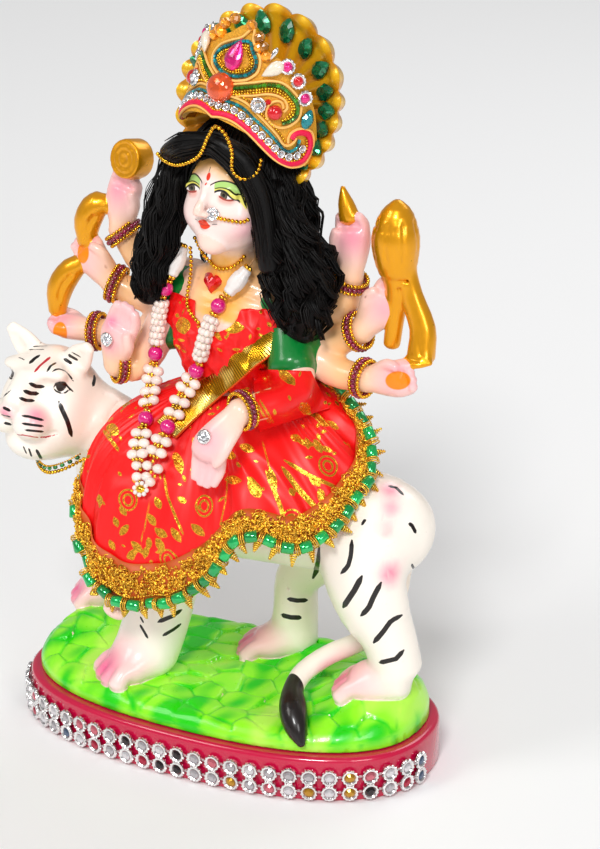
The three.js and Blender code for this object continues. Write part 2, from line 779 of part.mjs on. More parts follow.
// The garland hangs in a long V from the neck to the lap: white barrels, pink beads and clusters.
const barrel = [2.9, 12];
const pinkBead = [3.1, 6];
const stack = [3.5, 16];
const cluster = [3.9, 5.8];
const garlandLeft = [
  [13, -3, 200],
  [8.3, -8, 191.8],
  [2.6, -10.9, 183.4],
  [0, -15.8, 174.6],
  [-1.6, -17.6, 166.6],
  [-5, -16.2, 156.8],
  [-9, -18.6, 148.2],
  [-10.1, -23.9, 141.9],
  [-10.5, -30.3, 136.2],
  [-11.4, -35.7, 129.8],
  [-12.2, -38.9, 124.2],
];
const garlandRight = [
  [-17.2, -4.5, 200],
  [-18.2, -7, 195],
  [-20, -8.5, 189.5],
  [-22.5, -9, 183.5],
  [-24.4, -9.6, 176],
  [-24.9, -11.4, 165.5],
  [-25.5, -12.4, 156],
  [-25.8, -14.8, 147],
  [-23.5, -21.2, 141.2],
  [-20.8, -28.4, 137.3],
  [-19.8, -33.7, 132.6],
  [-18.6, -37.9, 127.8],
  [-16.6, -39.9, 122.4],
];
function makeGarland(grow = 0) {
  const clusters = Array.from({ length: 4 }, () => cluster);
  const beads = [barrel, pinkBead, stack, pinkBead, ...clusters, pinkBead, ...clusters];
  const [left, right] = [garlandLeft, garlandRight].map((path) => beadString(path, beads, { grow }));
  const meeting = egg([-14, -39.4, 122], [6.5, 4.4, 7], { grow: Math.max(grow, 0), across: 8, rows: 5 });
  return joined([left, right, meeting]);
}

// A thin bead chain: a slender tube where its beads run.
function chain(path, bead, { sides = 4, grow = 0, steps = 16 } = {}) {
  const curve = new THREE.CatmullRomCurve3(spots(path));
  const rows = Array.from({ length: steps + 1 }, (_, k) => {
    const share = k / steps;
    const at = curve.getPointAt(share);
    const tangent = curve.getTangentAt(share);
    const side = tangent.clone().cross(upright).normalize();
    const depth = side.clone().cross(tangent).normalize();
    const radius = (bead / 2) * (k % 2 ? 1 : 0.8) + grow;
    return Array.from({ length: sides }, (_, i) => {
      const turn = (2 * Math.PI * i) / sides;
      return at
        .clone()
        .addScaledVector(side, radius * Math.cos(turn))
        .addScaledVector(depth, radius * Math.sin(turn));
    });
  });
  return solidOf(ringMesh(rows, curve.getPointAt(0), curve.getPointAt(1)));
}

const foreheadPath = [
  [-22.4, -13, 238.7],
  [-17.3, -16.5, 237.5],
  [-9.1, -20.5, 238],
  [1.4, -23.5, 243.8],
  [7.1, -26, 252.8],
  [10.6, -27, 257],
  [13.9, -26.5, 254.8],
  [15.7, -24.5, 248],
  [15.1, -22.5, 239.7],
  [18.1, -20.5, 236.6],
  [21.8, -17, 238.6],
  [23, -15.5, 243.8],
];
const necklacePath = [
  [-13.5, -2, 204.5],
  [-11.1, -3.2, 202.1],
  [-8.2, -4.6, 199],
  [-4.9, -5.4, 197],
  [-1.2, -6, 195.5],
  [2.4, -6.3, 195.6],
  [5.7, -6, 196.7],
  [8, -4.8, 198.7],
  [9.6, -2.8, 201],
];
const longChainPath = [
  [-14.1, -4, 201.1],
  [-12.9, -5.5, 195],
  [-12.6, -7, 189.1],
  [-12.5, -9.4, 183],
  [-10.2, -12.6, 179.3],
  [-4, -15.2, 175.2],
];
const collarPath = [
  [-53, -20, 113],
  [-60, -26, 109],
  [-68, -25, 106],
  [-76, -19, 107],
  [-80, -10, 111],
];
const cheekChainPath = [
  [6.4, -18.6, 220],
  [8.3, -18.2, 219.3],
  [11.8, -16.7, 218.5],
  [14.2, -14.4, 218],
  [16.4, -12.6, 219],
];
const makeForeheadChain = (grow = 0) => chain(foreheadPath, chainBead, { grow, steps: 24 });
const makeNecklace = (grow = 0) => chain(necklacePath, chainBead, { grow });
const makeCollar = (grow = 0) => chain(collarPath, chainBead, { grow });
const makeLongChain = (grow = 0) => chain(longChainPath, chainBead, { grow });
const makeCheekChain = (grow = 0) => chain(cheekChainPath, chainBead, { grow, steps: 8 });

// A bangle round a wrist: two rows of gold beads with a row of dark beads between.
function makeBangle([, elbow, wrist]) {
  const at = spot(...wrist);
  const along = at.clone().sub(spot(...elbow)).normalize();
  const inner = wristRadius * s + clearance + bangleEase;
  const sides = 8;
  const rows = Array.from({ length: sides }, (_, k) => {
    const turn = (2 * Math.PI * k) / sides;
    const out = new THREE.Vector3(Math.cos(turn), Math.sin(turn), 0);
    return [
      [inner, -0.5],
      [inner + bangleBead, -0.3],
      [inner + bangleBead, 0.3],
      [inner, 0.5],
    ].map(([radius, share]) => out.clone().multiplyScalar(radius).setZ(share * bangleWidth));
  });
  const geometry = torusMesh(rows).applyQuaternion(new THREE.Quaternion().setFromUnitVectors(upright, along));
  const back = along.multiplyScalar(bangleWidth * 0.35);
  return solidOf(geometry.translate(at.x - back.x, at.y - back.y, at.z - back.z));
}

// A faceted gem on a flat back, facing outward.
function gem(centre, outward, size, height) {
  const geometry = new THREE.CylinderGeometry(size * 0.28, size / 2, height, 8, 1)
    .rotateX(Math.PI / 2)
    .translate(0, 0, height / 2)
    .applyQuaternion(new THREE.Quaternion().setFromUnitVectors(upright, outward.clone().normalize()));
  const at = spot(...centre);
  return solidOf(geometry.translate(at.x, at.y, at.z));
}

const group = new THREE.Group();
// One named piece: its mesh is centred on its own box and put in place by its position.
function addPiece(name, solid, [color, roughness, metalness], parent = group) {
  const { numProp, vertProperties, triVerts, numVert } = solid.getMesh();
  const points = [];
  for (let i = 0; i < numVert; i++) points.push(new THREE.Vector3().fromArray(vertProperties, i * numProp));
  const middle = new THREE.Box3().setFromPoints(points).getCenter(new THREE.Vector3());
  const geometry = new THREE.BufferGeometry()
    .setFromPoints(points.map((p) => p.sub(middle)))
    .setIndex(new THREE.BufferAttribute(new Uint32Array(triVerts), 1));
  const mesh = new THREE.Mesh(geometry, new THREE.MeshStandardMaterial({ color, roughness, metalness }));
  mesh.name = name;
  mesh.position.copy(middle);
  parent.add(mesh);
}

// Each later piece is cut to clear those already placed.
const cast = castSolid(0);
const castRoom = castSolid(clearance);
addPiece("plinth", makePlinth(), paint.plinthRed);
addPiece("stone_band", makeStoneBand(), paint.stoneClear);
addPiece("painted_cast", cast, paint.castSkin);

const fitted = (solid, cutters) => mainBody(cutBy(solid, [castRoom, ...cutters]));
const crownRoom = makeCrown(clearance);
const tiaraRoom = makeTiara(clearance);
const wigRoom = makeWig(clearance);
const garlandRoom = makeGarland(clearance);
const sashRoom = makeSash(clearance);
const laceRoom = makeLace(clearance);
const skirtRoom = makeSkirt(clearance);
const necklaceRoom = makeNecklace(clearance);
const longChainRoom = makeLongChain(clearance);
const foreheadRoom = makeForeheadChain(clearance);
const cheekRoom = makeCheekChain(clearance);

addPiece("crown", fitted(makeCrown(), [tiaraRoom]), paint.crownGold);
addPiece("tiara", fitted(makeTiara(), []), paint.tiaraGold);
const wigCutters = [crownRoom, tiaraRoom, garlandRoom, foreheadRoom, cheekRoom];
addPiece("wig", fitted(makeWig(), wigCutters), paint.hairBlack);
addPiece("garland", fitted(makeGarland(), []), paint.beadWhite);
addPiece("sash", fitted(makeSash(), [garlandRoom, wigRoom]), paint.ribbonGold);
const bodiceCutters = [garlandRoom, sashRoom, wigRoom, skirtRoom, necklaceRoom, longChainRoom];
addPiece("bodice", fitted(makeBodice(), bodiceCutters), paint.clothRed);
addPiece("skirt", fitted(makeSkirt(), [garlandRoom, sashRoom]), paint.clothRed);
addPiece("hem_lace", fitted(makeLace(), [garlandRoom, skirtRoom]), paint.laceGold);
addPiece("forehead_chain", fitted(makeForeheadChain(), [tiaraRoom]), paint.beadGold);
addPiece("cheek_chain", fitted(makeCheekChain(), []), paint.beadGold);
addPiece("necklace", fitted(makeNecklace(), [garlandRoom, longChainRoom, wigRoom]), paint.beadGold);
addPiece("long_chain", fitted(makeLongChain(), [garlandRoom, sashRoom, wigRoom]), paint.beadGold);
addPiece("tiger_collar", fitted(makeCollar(), [laceRoom]), paint.beadGold);
for (const [name, arm] of Object.entries(arms))
  addPiece(`bangle_${name}`, fitted(makeBangle(arm), [wigRoom, sashRoom, skirtRoom]), paint.beadMaroon);

const heartSize = 8;
const gems = {
  // name: place, facing, size, height, paint, cutters
  pendant: [[-3.1, -5, 188.6], [-0.1, -1, 0.25], heartSize, 6, paint.stoneRed, [garlandRoom, longChainRoom]],
  nose_stud: [[4.5, -18, 220.8], [0.15, -1, 0], gemSize, 4.5, paint.stoneClear, [cheekRoom]],
  palm_stone_right: [[-40.2, -21.6, 165.1], [-0.1, -1, 0.1], gemSize, 4, paint.stoneClear, []],
  palm_stone_left: [[15.9, -46.2, 144.6], [0, -1, 0.35], gemSize, 4, paint.stoneClear, []],
};
for (const [name, [place, facing, size, height, look, cutters]] of Object.entries(gems))
  addPiece(name, fitted(gem(place, new THREE.Vector3(...facing), size * s, height * s), cutters), look);

export default group;
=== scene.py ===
# A dressed votive figure: an eight-armed goddess on a tiger, its finish and dress.
# Lengths are in millimetres until a mesh is made, and its points are then in metres.
import math
import bpy
import numpy as np
import openvdb
from mathutils import Matrix, Vector
from mathutils.bvhtree import BVHTree


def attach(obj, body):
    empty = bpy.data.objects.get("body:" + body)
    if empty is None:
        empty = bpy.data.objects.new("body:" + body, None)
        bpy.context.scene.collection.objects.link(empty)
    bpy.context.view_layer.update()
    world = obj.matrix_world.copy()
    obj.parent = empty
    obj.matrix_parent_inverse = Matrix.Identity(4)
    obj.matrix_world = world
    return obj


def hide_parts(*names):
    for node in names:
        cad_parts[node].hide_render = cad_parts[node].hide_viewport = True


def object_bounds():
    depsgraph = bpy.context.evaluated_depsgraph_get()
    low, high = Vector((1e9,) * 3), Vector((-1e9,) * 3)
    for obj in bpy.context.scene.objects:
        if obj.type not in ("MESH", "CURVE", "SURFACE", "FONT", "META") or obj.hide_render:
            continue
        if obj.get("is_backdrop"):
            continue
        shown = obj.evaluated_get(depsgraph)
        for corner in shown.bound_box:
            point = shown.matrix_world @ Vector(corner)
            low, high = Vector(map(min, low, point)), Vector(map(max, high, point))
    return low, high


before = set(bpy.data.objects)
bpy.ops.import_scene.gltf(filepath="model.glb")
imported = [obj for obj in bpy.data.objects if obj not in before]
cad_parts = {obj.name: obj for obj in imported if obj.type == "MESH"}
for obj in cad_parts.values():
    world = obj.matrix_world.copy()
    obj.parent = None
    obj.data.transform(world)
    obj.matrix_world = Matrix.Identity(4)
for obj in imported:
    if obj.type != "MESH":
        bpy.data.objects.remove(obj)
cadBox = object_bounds()
mm = 0.001
far = 60.0


def unit(vectors):
    return vectors / np.maximum(np.linalg.norm(vectors, axis=-1, keepdims=True), 1e-9)


# Camera

shot = {
    "azimuth": 28,
    "elevation": 22,
    "distance": 1200,
    "right": 27,  # where the picture's middle looks, along its own right and up
    "up": 120.5,
    "focalPixels": 3000,
    "width": 600,
    "height": 849,
    "sensor": 36,
}
turnOf, riseOf = math.radians(shot["azimuth"]), math.radians(shot["elevation"])
viewRight = np.array([math.cos(turnOf), math.sin(turnOf), 0])
level = math.cos(riseOf)
viewAhead = np.array([-math.sin(turnOf) * level, math.cos(turnOf) * level, -math.sin(riseOf)])
viewUp = np.cross(viewRight, viewAhead)
pixelSize = shot["distance"] / shot["focalPixels"]  # about how large a picture's point is at the figure
eyePoint = -viewAhead * shot["distance"] + viewRight * shot["right"] + viewUp * shot["up"]


def makeCamera():
    data = bpy.data.cameras.new("camera")
    data.sensor_width = shot["sensor"]
    data.lens = shot["sensor"] * shot["focalPixels"] / shot["height"]
    data.clip_start, data.clip_end = 0.05, 20
    camera = bpy.data.objects.new("camera", data)
    bpy.context.collection.objects.link(camera)
    columns = [viewRight, viewUp, -viewAhead]
    rows = [[*(column[i] for column in columns), eyePoint[i] * mm] for i in range(3)]
    camera.matrix_world = Matrix([*rows, (0, 0, 0, 1)])
    bpy.context.scene.camera = camera


def sightLine(pixel):
    # The direction from the camera through a place in the picture
    x, y = pixel
    across = (x - shot["width"] / 2) / shot["focalPixels"]
    down = (y - shot["height"] / 2) / shot["focalPixels"]
    return unit(viewAhead + viewRight * across - viewUp * down)


def inPicture(points):
    # The places in the picture of points in space
    away = points - eyePoint
    depth = away @ viewAhead
    x = shot["width"] / 2 + shot["focalPixels"] * (away @ viewRight) / depth
    y = shot["height"] / 2 - shot["focalPixels"] * (away @ viewUp) / depth
    return np.stack([x, y], -1)


# Light and floor

studio = {
    "worldStrength": 0.3,
    "sun": {"strength": 1.7, "angle": 14, "turn": (48, 4, 12)},
    "lights": [
        # place in metres, watts, size, warmth
        [(-0.7, -0.9, 1.15), 5, 0.5, (1, 0.98, 0.95)],
        [(1.0, -0.75, 0.65), 3.6, 0.4, (1, 1, 1)],
        [(0.2, 0.9, 1.1), 4, 0.7, (0.97, 0.98, 1)],
    ],
    "floorColour": (0.93, 0.93, 0.93, 1),
    "floorSize": 6.0,
}


def makeStudio():
    scene = bpy.context.scene
    scene.view_settings.view_transform = "Standard"
    world = bpy.data.worlds.new("studio")
    world.use_nodes = True
    world.node_tree.nodes["Background"].inputs["Color"].default_value = (1, 1, 1, 1)
    world.node_tree.nodes["Background"].inputs["Strength"].default_value = studio["worldStrength"]
    scene.world = world
    for number, (place, watts, size, colour) in enumerate(studio["lights"]):
        light = bpy.data.lights.new(f"light{number}", "AREA")
        light.energy, light.size, light.color = watts, size, colour
        lamp = bpy.data.objects.new(light.name, light)
        lamp.location = place
        lamp.rotation_euler = (Vector((0, 0, 0.14)) - Vector(place)).to_track_quat("-Z", "Y").to_euler()
        bpy.context.collection.objects.link(lamp)
    sun = bpy.data.lights.new("sun", "SUN")
    sun.energy, sun.angle = studio["sun"]["strength"], math.radians(studio["sun"]["angle"])
    lamp = bpy.data.objects.new("sun", sun)
    lamp.rotation_euler = [math.radians(degrees) for degrees in studio["sun"]["turn"]]
    bpy.context.collection.objects.link(lamp)
    half = studio["floorSize"] / 2
    mesh = bpy.data.meshes.new("floor")
    corners = [(-half, -half, 0), (half, -half, 0), (half, half, 0), (-half, half, 0)]
    mesh.from_pydata(corners, [], [(0, 1, 2, 3)])
    floor = bpy.data.objects.new("floor", mesh)
    bpy.context.collection.objects.link(floor)
    paint = bpy.data.materials.new("floorPaint")
    paint.use_nodes = True
    shader = paint.node_tree.nodes["Principled BSDF"]
    shader.inputs["Base Color"].default_value = studio["floorColour"]
    shader.inputs["Roughness"].default_value = 0.8
    mesh.materials.append(paint)
    floor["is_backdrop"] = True


# Shader wiring

class Wire:
    # A number on a wire, so that sums in a material read like sums
    def __init__(self, tree, socket):
        self.tree, self.socket = tree, socket

    def maths(self, operation, *others, clamp=False):
        node = self.tree.nodes.new("ShaderNodeMath")
        node.operation, node.use_clamp = operation, clamp
        for slot, value in zip(node.inputs, [self, *others]):
            plug(self.tree, slot, value)
        return Wire(self.tree, node.outputs[0])

    def __add__(self, other):
        return self.maths("ADD", other)

    def __sub__(self, other):
        return self.maths("SUBTRACT", other)

    def __rsub__(self, other):
        return (self * -1) + other

    def __mul__(self, other):
        return self.maths("MULTIPLY", other)

    def __truediv__(self, other):
        return self.maths("DIVIDE", other)

    def most(self, other):
        return self.maths("MAXIMUM", other)

    def size(self):
        return self.maths("ABSOLUTE")

    def clip(self):
        return self.maths("ADD", 0, clamp=True)

    def within(self, edge, soft=0.06):
        # 1 where the number is under the edge, 0 where it is over
        return ((edge - self) / soft).maths("ADD", 0.5, clamp=True)


def plug(tree, socket, value):
    if isinstance(value, Wire):
        tree.links.new(value.socket, socket)
    elif isinstance(value, bpy.types.NodeSocket):
        tree.links.new(value, socket)
    else:
        socket.default_value = value


def addNode(tree, kind, settings=None, **sockets):
    node = tree.nodes.new("ShaderNode" + kind)
    for name, value in (settings or {}).items():
        setattr(node, name, value)
    for name, value in sockets.items():
        plug(tree, node.inputs[name.replace("_", " ")], value)
    return node


def attribute(tree, name):
    return addNode(tree, "Attribute", {"attribute_name": name})


def number(tree, name):
    return Wire(tree, attribute(tree, name).outputs["Fac"])


def blend(tree, share, first, second):
    node = addNode(tree, "Mix", {"data_type": "RGBA"})
    plug(tree, node.inputs[0], share)
    plug(tree, node.inputs[6], first)
    plug(tree, node.inputs[7], second)
    return node.outputs[2]


def objectPlace(tree):
    return addNode(tree, "TexCoord").outputs["Object"]


def noise(tree, scale, detail=2.0):
    made = addNode(tree, "TexNoise", Scale=scale, Detail=detail, Vector=objectPlace(tree))
    return Wire(tree, made.outputs["Fac"])


def bumped(tree, height, strength, distance, **others):
    node = addNode(tree, "Bump", Strength=strength, Height=height, Distance=distance, **others)
    return node.outputs["Normal"]


def rgb(text):
    # A colour from its usual six letters, in the renderer's own light
    parts = [int(text[i : i + 2], 16) / 255 for i in (0, 2, 4)]
    return (*(c / 12.92 if c < 0.04045 else ((c + 0.055) / 1.055) ** 2.4 for c in parts), 1.0)


def newGroup(name, inputs, outputs):
    group = bpy.data.node_groups.new(name, "ShaderNodeTree")
    for title, kind, value in inputs:
        socket = group.interface.new_socket(name=title, in_out="INPUT", socket_type="NodeSocket" + kind)
        socket.default_value = value
    for title, kind in outputs:
        group.interface.new_socket(name=title, in_out="OUTPUT", socket_type="NodeSocket" + kind)
    return group, group.nodes.new("NodeGroupInput").outputs, group.nodes.new("NodeGroupOutput").inputs


def useGroup(tree, group, **sockets):
    node = tree.nodes.new("ShaderNodeGroup")
    node.node_tree = group
    for name, value in sockets.items():
        plug(tree, node.inputs[name.replace("_", " ")], value)
    return node.outputs


def makeBrushwork():
    # Hand-laid paint: slow swells of tone, and a skin that isn't quite flat
    inputs = [("Colour", "Color", (1, 1, 1, 1))]
    inputs += [(title, "Float", value) for title, value in (("Size", 9.0), ("Depth", 0.1), ("Swell", 0.05))]
    outputs = [("Colour", "Color"), ("Rough", "Float"), ("Normal", "Vector")]
    group, given, out = newGroup("brushwork", inputs, outputs)
    size = Wire(group, given["Size"])
    tone = noise(group, (size * 9).socket, 3.0)
    fine = noise(group, (size * 60).socket, 2.0)
    shade = addNode(group, "HueSaturation", Color=given["Colour"])
    plug(group, shade.inputs["Value"], (tone - 0.5) * Wire(group, given["Depth"]) + 1)
    plug(group, out["Colour"], shade.outputs["Color"])
    plug(group, out["Rough"], (fine - 0.5) * 0.12)
    height = tone * 0.7 + fine * 0.3
    plug(group, out["Normal"], bumped(group, height * Wire(group, given["Swell"]) * mm, 0.35, 1.0))
    return group


def makeGlitter():
    # Tinsel and foil: small facets, each with its own lean and its own tone
    inputs = [("Colour", "Color", (1, 0.6, 0.1, 1)), ("Grain", "Float", 0.6), ("Spread", "Float", 0.5)]
    group, given, out = newGroup("glitter", inputs, [("Colour", "Color"), ("Normal", "Vector")])
    cells = addNode(group, "TexVoronoi", Vector=objectPlace(group))
    plug(group, cells.inputs["Scale"], Wire(group, given["Grain"]).maths("POWER", -1) * 1000)
    tones = addNode(group, "SeparateColor", Color=cells.outputs["Color"])
    spread = Wire(group, given["Spread"])
    shade = addNode(group, "HueSaturation", Color=given["Colour"])
    plug(group, shade.inputs["Value"], (Wire(group, tones.outputs["Red"]) - 0.4) * spread * 1.6 + 1)
    plug(group, out["Colour"], shade.outputs["Color"])
    lean = addNode(group, "VectorMath", {"operation": "SUBTRACT"})
    plug(group, lean.inputs[0], cells.outputs["Color"])
    lean.inputs[1].default_value = (0.5, 0.5, 0.5)
    scaled = addNode(group, "VectorMath", {"operation": "SCALE"})
    plug(group, scaled.inputs[0], lean.outputs[0])
    plug(group, scaled.inputs["Scale"], spread)
    total = addNode(group, "VectorMath", {"operation": "ADD"})
    plug(group, total.inputs[0], addNode(group, "NewGeometry").outputs["Normal"])
    plug(group, total.inputs[1], scaled.outputs[0])
    straight = addNode(group, "VectorMath", {"operation": "NORMALIZE"})
    plug(group, straight.inputs[0], total.outputs[0])
    plug(group, out["Normal"], straight.outputs[0])
    return group


brushwork = makeBrushwork()
glitter = makeGlitter()


def finish(name, colour=None, rough=0.4, metal=0.0, coat=0.0, coatRough=0.1, **others):
    # A material with its shader, and the values that are the same all over
    made = bpy.data.materials.new(name)
    made.use_nodes = True
    shader = made.node_tree.nodes["Principled BSDF"]
    values = {"Roughness": rough, "Metallic": metal, "Coat Weight": coat, "Coat Roughness": coatRough}
    if colour:
        values["Base Color"] = colour
    for title, value in {**values, **{k.replace("_", " "): v for k, v in others.items()}}.items():
        shader.inputs[title].default_value = value
    return made, made.node_tree, shader.inputs


def brushed(name, colour, rough=0.35, size=9.0, depth=0.12, swell=0.05, **others):
    made, tree, shader = finish(name, None, rough, **others)
    laid = useGroup(tree, brushwork, Colour=colour, Size=size, Depth=depth, Swell=swell)
    plug(tree, shader["Base Color"], laid["Colour"])
    plug(tree, shader["Roughness"], Wire(tree, laid["Rough"]) + rough)
    plug(tree, shader["Normal"], laid["Normal"])
    return made


def tinted(name, colour, spread=0.25, grain=0.4, rough=0.3, metal=0.0, lean=0.12, **others):
    # A bead or metal finish whose tone differs from bead to bead, by the mesh's own tint
    made, tree, shader = finish(name, None, rough, metal, **others)
    flake = useGroup(tree, glitter, Colour=colour, Grain=grain, Spread=lean)
    shade = addNode(tree, "HueSaturation", Color=flake["Colour"])
    plug(tree, shade.inputs["Value"], (number(tree, "tint") - 0.5) * spread * 2 + 1)
    plug(tree, shader["Base Color"], shade.outputs["Color"])
    plug(tree, shader["Normal"], flake["Normal"])
    return made


# Mesh kit

class Heap:
    # A pile of triangles that becomes one piece, each with its finish, and a tint at each point
    def __init__(self):
        self.points, self.faces, self.finishes, self.tints, self.count = [], [], [], [], 0

    def add(self, shape, finishIndex=0, tint=0.5):
        points, faces = shape
        self.points.append(points)
        self.faces.append(faces + self.count)
        self.finishes.append(np.full(len(faces), finishIndex))
        self.tints.append(np.broadcast_to(np.asarray(tint, float), len(points)))
        self.count += len(points)

    def scatter(self, rng, shape, centres, sizes=1.0, axes=None, finishIndex=0):
        # Copies of a shape, each with a tint of its own
        shown = placed(shape, centres, sizes, axes)
        copies = len(shown[0]) // len(shape[0])
        self.add(shown, finishIndex, each(rng.uniform(0, 1, copies), shape))

    def mesh(self, name, materials):
        values = {"tint": np.concatenate(self.tints)}
        points, faces = np.concatenate(self.points), np.concatenate(self.faces)
        return makeMesh(name, points, faces, materials, np.concatenate(self.finishes), values)


def makeMesh(name, points, faces, materials, finishes=None, values=None, smooth=True):
    mesh = bpy.data.meshes.new(name)
    corners = faces.shape[1]
    mesh.vertices.add(len(points))
    mesh.vertices.foreach_set("co", (points * mm).astype(np.float32).ravel())
    mesh.loops.add(faces.size)
    mesh.loops.foreach_set("vertex_index", faces.astype(np.int32).ravel())
    mesh.polygons.add(len(faces))
    mesh.polygons.foreach_set("loop_start", np.arange(0, faces.size, corners, dtype=np.int32))
    for material in materials:
        mesh.materials.append(material)
    if finishes is not None:
        mesh.polygons.foreach_set("material_index", finishes.astype(np.int32))
    mesh.polygons.foreach_set("use_smooth", np.full(len(faces), smooth))
    mesh.update(calc_edges=True)
    mesh.validate()
    for title, value in (values or {}).items():
        if value.ndim == 1:
            mesh.attributes.new(title, "FLOAT", "POINT").data.foreach_set("value", value.astype(np.float32))
        else:
            colours = mesh.attributes.new(title, "FLOAT_COLOR", "POINT").data
            colours.foreach_set("color", value.astype(np.float32).ravel())
    return mesh


def addPiece(name, mesh, slot, *nodes, creaseAngle=None):
    piece = bpy.data.objects.new(name, mesh)
    bpy.context.collection.objects.link(piece)
    if creaseAngle:
        mesh.set_sharp_from_angle(angle=math.radians(creaseAngle))
    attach(piece, "root")
    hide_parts(*nodes)
    print(f"{name}: {len(mesh.polygons)} faces")
    return piece


class Curve:
    # The smooth curve through given places, even when they are unevenly spaced
    def __init__(self, places, closed=False):
        self.places, self.closed = np.array(places, float), closed
        shares = np.linspace(0, 1, 600)
        steps = np.linalg.norm(np.diff(self.at(shares), axis=0), axis=1)
        self.shares, self.travelled = shares, np.concatenate([[0], np.cumsum(steps)])
        self.length = self.travelled[-1]

    def at(self, share):
        share = np.atleast_1d(share)
        places = self.places
        count = len(places)
        if self.closed:
            spot = (share % 1) * count
            first = np.floor(spot).astype(int)
            p = [places[(first + k) % count] for k in (-1, 0, 1, 2)]
        else:
            ends = [2 * places[:1] - places[1:2], places, 2 * places[-1:] - places[-2:-1]]
            longer = np.concatenate(ends)
            spot = np.clip(share, 0, 1) * (count - 1)
            first = np.minimum(np.floor(spot).astype(int), count - 2)
            p = [longer[first + k] for k in (0, 1, 2, 3)]
        w = (spot - first)[:, None]
        gaps = [np.maximum(np.sum((p[k + 1] - p[k]) ** 2, 1)[:, None] ** 0.25, 1e-4) for k in range(3)]

        def slope(a, b, c, before, after):
            return (b - a) / before - (c - a) / (before + after) + (c - b) / after

        start = slope(p[0], p[1], p[2], gaps[0], gaps[1]) * gaps[1]
        end = slope(p[1], p[2], p[3], gaps[1], gaps[2]) * gaps[1]
        square = -3 * p[1] + 3 * p[2] - 2 * start - end
        cube = 2 * p[1] - 2 * p[2] + start + end
        return p[1] + start * w + square * w**2 + cube * w**3

    def even(self, share):
        return self.at(np.interp(np.atleast_1d(share) * self.length, self.travelled, self.shares))

    def evenTangent(self, share):
        step = 0.3 / self.length
        share = np.atleast_1d(share)
        return unit(self.even(np.minimum(share + step, 1)) - self.even(np.maximum(share - step, 0)))


def gridFaces(rows, across, closed=True):
    last = across if closed else across - 1
    r, i = np.meshgrid(np.arange(rows - 1), np.arange(last), indexing="ij")
    a, b = r * across + i, r * across + (i + 1) % across
    c, d = a + across, b + across
    return np.concatenate([np.stack([a, b, c], -1).reshape(-1, 3), np.stack([b, d, c], -1).reshape(-1, 3)])


def strands(paths, radii, sides):
    # Tubes along many paths at once: paths (count, steps, 3), radii (count, steps)
    paths = np.asarray(paths, float)
    count, steps, _ = paths.shape
    radii = np.broadcast_to(np.asarray(radii, float), (count, steps))
    along = unit(np.gradient(paths, axis=1))
    hint = np.broadcast_to(np.array([0.3, 1, 0.2]), (count, 3))
    side = unit(hint - along[:, 0] * np.sum(hint * along[:, 0], 1, keepdims=True))
    turn = roundTurns(sides)
    rings = np.empty((count, steps, sides, 3))
    for k in range(steps):
        side = unit(side - along[:, k] * np.sum(side * along[:, k], 1, keepdims=True))
        depth = np.cross(along[:, k], side)
        ring = side[:, None] * np.cos(turn)[None, :, None] + depth[:, None] * np.sin(turn)[None, :, None]
        rings[:, k] = paths[:, k, None] + ring * radii[:, k, None, None]
    one = gridFaces(steps, sides)
    fan = np.array([(0, k + 1, k) for k in range(1, sides - 1)])
    top = fan[:, ::-1] + (steps - 1) * sides
    one = np.concatenate([one, fan, top])
    offsets = np.arange(count)[:, None, None] * steps * sides
    return rings.reshape(-1, 3), (one[None] + offsets).reshape(-1, 3)


def tube(path, radius, sides):
    return strands(np.asarray(path)[None], np.broadcast_to(radius, len(path))[None], sides)


def roundTurns(count):
    return 2 * math.pi * np.arange(count) / count


def closedRings(rows, first, last):
    # Rings of points as a closed skin, with a point in the middle of each end
    count, base = len(rows[0]), (len(rows) - 1) * len(rows[0])
    k = np.arange(count)
    following = (k + 1) % count
    pole = np.full(count, base + count)
    low = np.stack([pole, following, k], -1)
    high = np.stack([pole + 1, base + k, base + following], -1)
    return np.concatenate([*rows, [first, last]]), np.concatenate([gridFaces(len(rows), count), low, high])


def circle(turn, first, second):
    # Places on a unit circle, at turns from the first way towards the second
    return np.outer(np.cos(turn), first) + np.outer(np.sin(turn), second)


def lathe(profile, sides):
    # A turned shape about +Z from (radius, height) pairs, whose ends are on the axis
    (_, low), *inner, (_, high) = profile
    turn = roundTurns(sides)
    ring = np.stack([np.cos(turn), np.sin(turn)], -1)
    rows = [np.column_stack([ring * radius, np.full(sides, height)]) for radius, height in inner]
    return closedRings(rows, (0, 0, low), (0, 0, high))


def ball(sides, rings):
    angles = np.linspace(-math.pi / 2, math.pi / 2, rings + 1)
    return lathe([(max(math.cos(a), 0), math.sin(a)) for a in angles], sides)


def placed(template, centres, sizes=1.0, axes=None):
    # Copies of a template: centres (count, 3), sizes a number, (count,) or (count, 3), axes (count, 3, 3)
    points, faces = template
    centres = np.atleast_2d(centres)
    sizes = np.asarray(sizes, float)
    if sizes.ndim == 1 and len(sizes) == len(centres):
        sizes = sizes[:, None]
    sizes = np.broadcast_to(sizes, (len(centres), 3))
    local = points[None] * sizes[:, None]
    if axes is not None:
        local = np.einsum("nkj,nij->nki", local, np.broadcast_to(axes, (len(centres), 3, 3)))
    offsets = np.arange(len(centres))[:, None, None] * len(points)
    return (local + centres[:, None]).reshape(-1, 3), (faces[None] + offsets).reshape(-1, 3)


def axesFrom(normal, along):
    # Columns: along, across, normal
    normal = unit(np.atleast_2d(normal))
    normal, along = np.broadcast_arrays(normal, np.atleast_2d(np.asarray(along, float)))
    along = unit(along - normal * np.sum(along * normal, 1, keepdims=True))
    return np.stack([along, np.cross(normal, along), normal], -1)


def each(values, template):
    # One value per copy, spread over the points of the template's copies
    return np.repeat(values, len(template[0]))


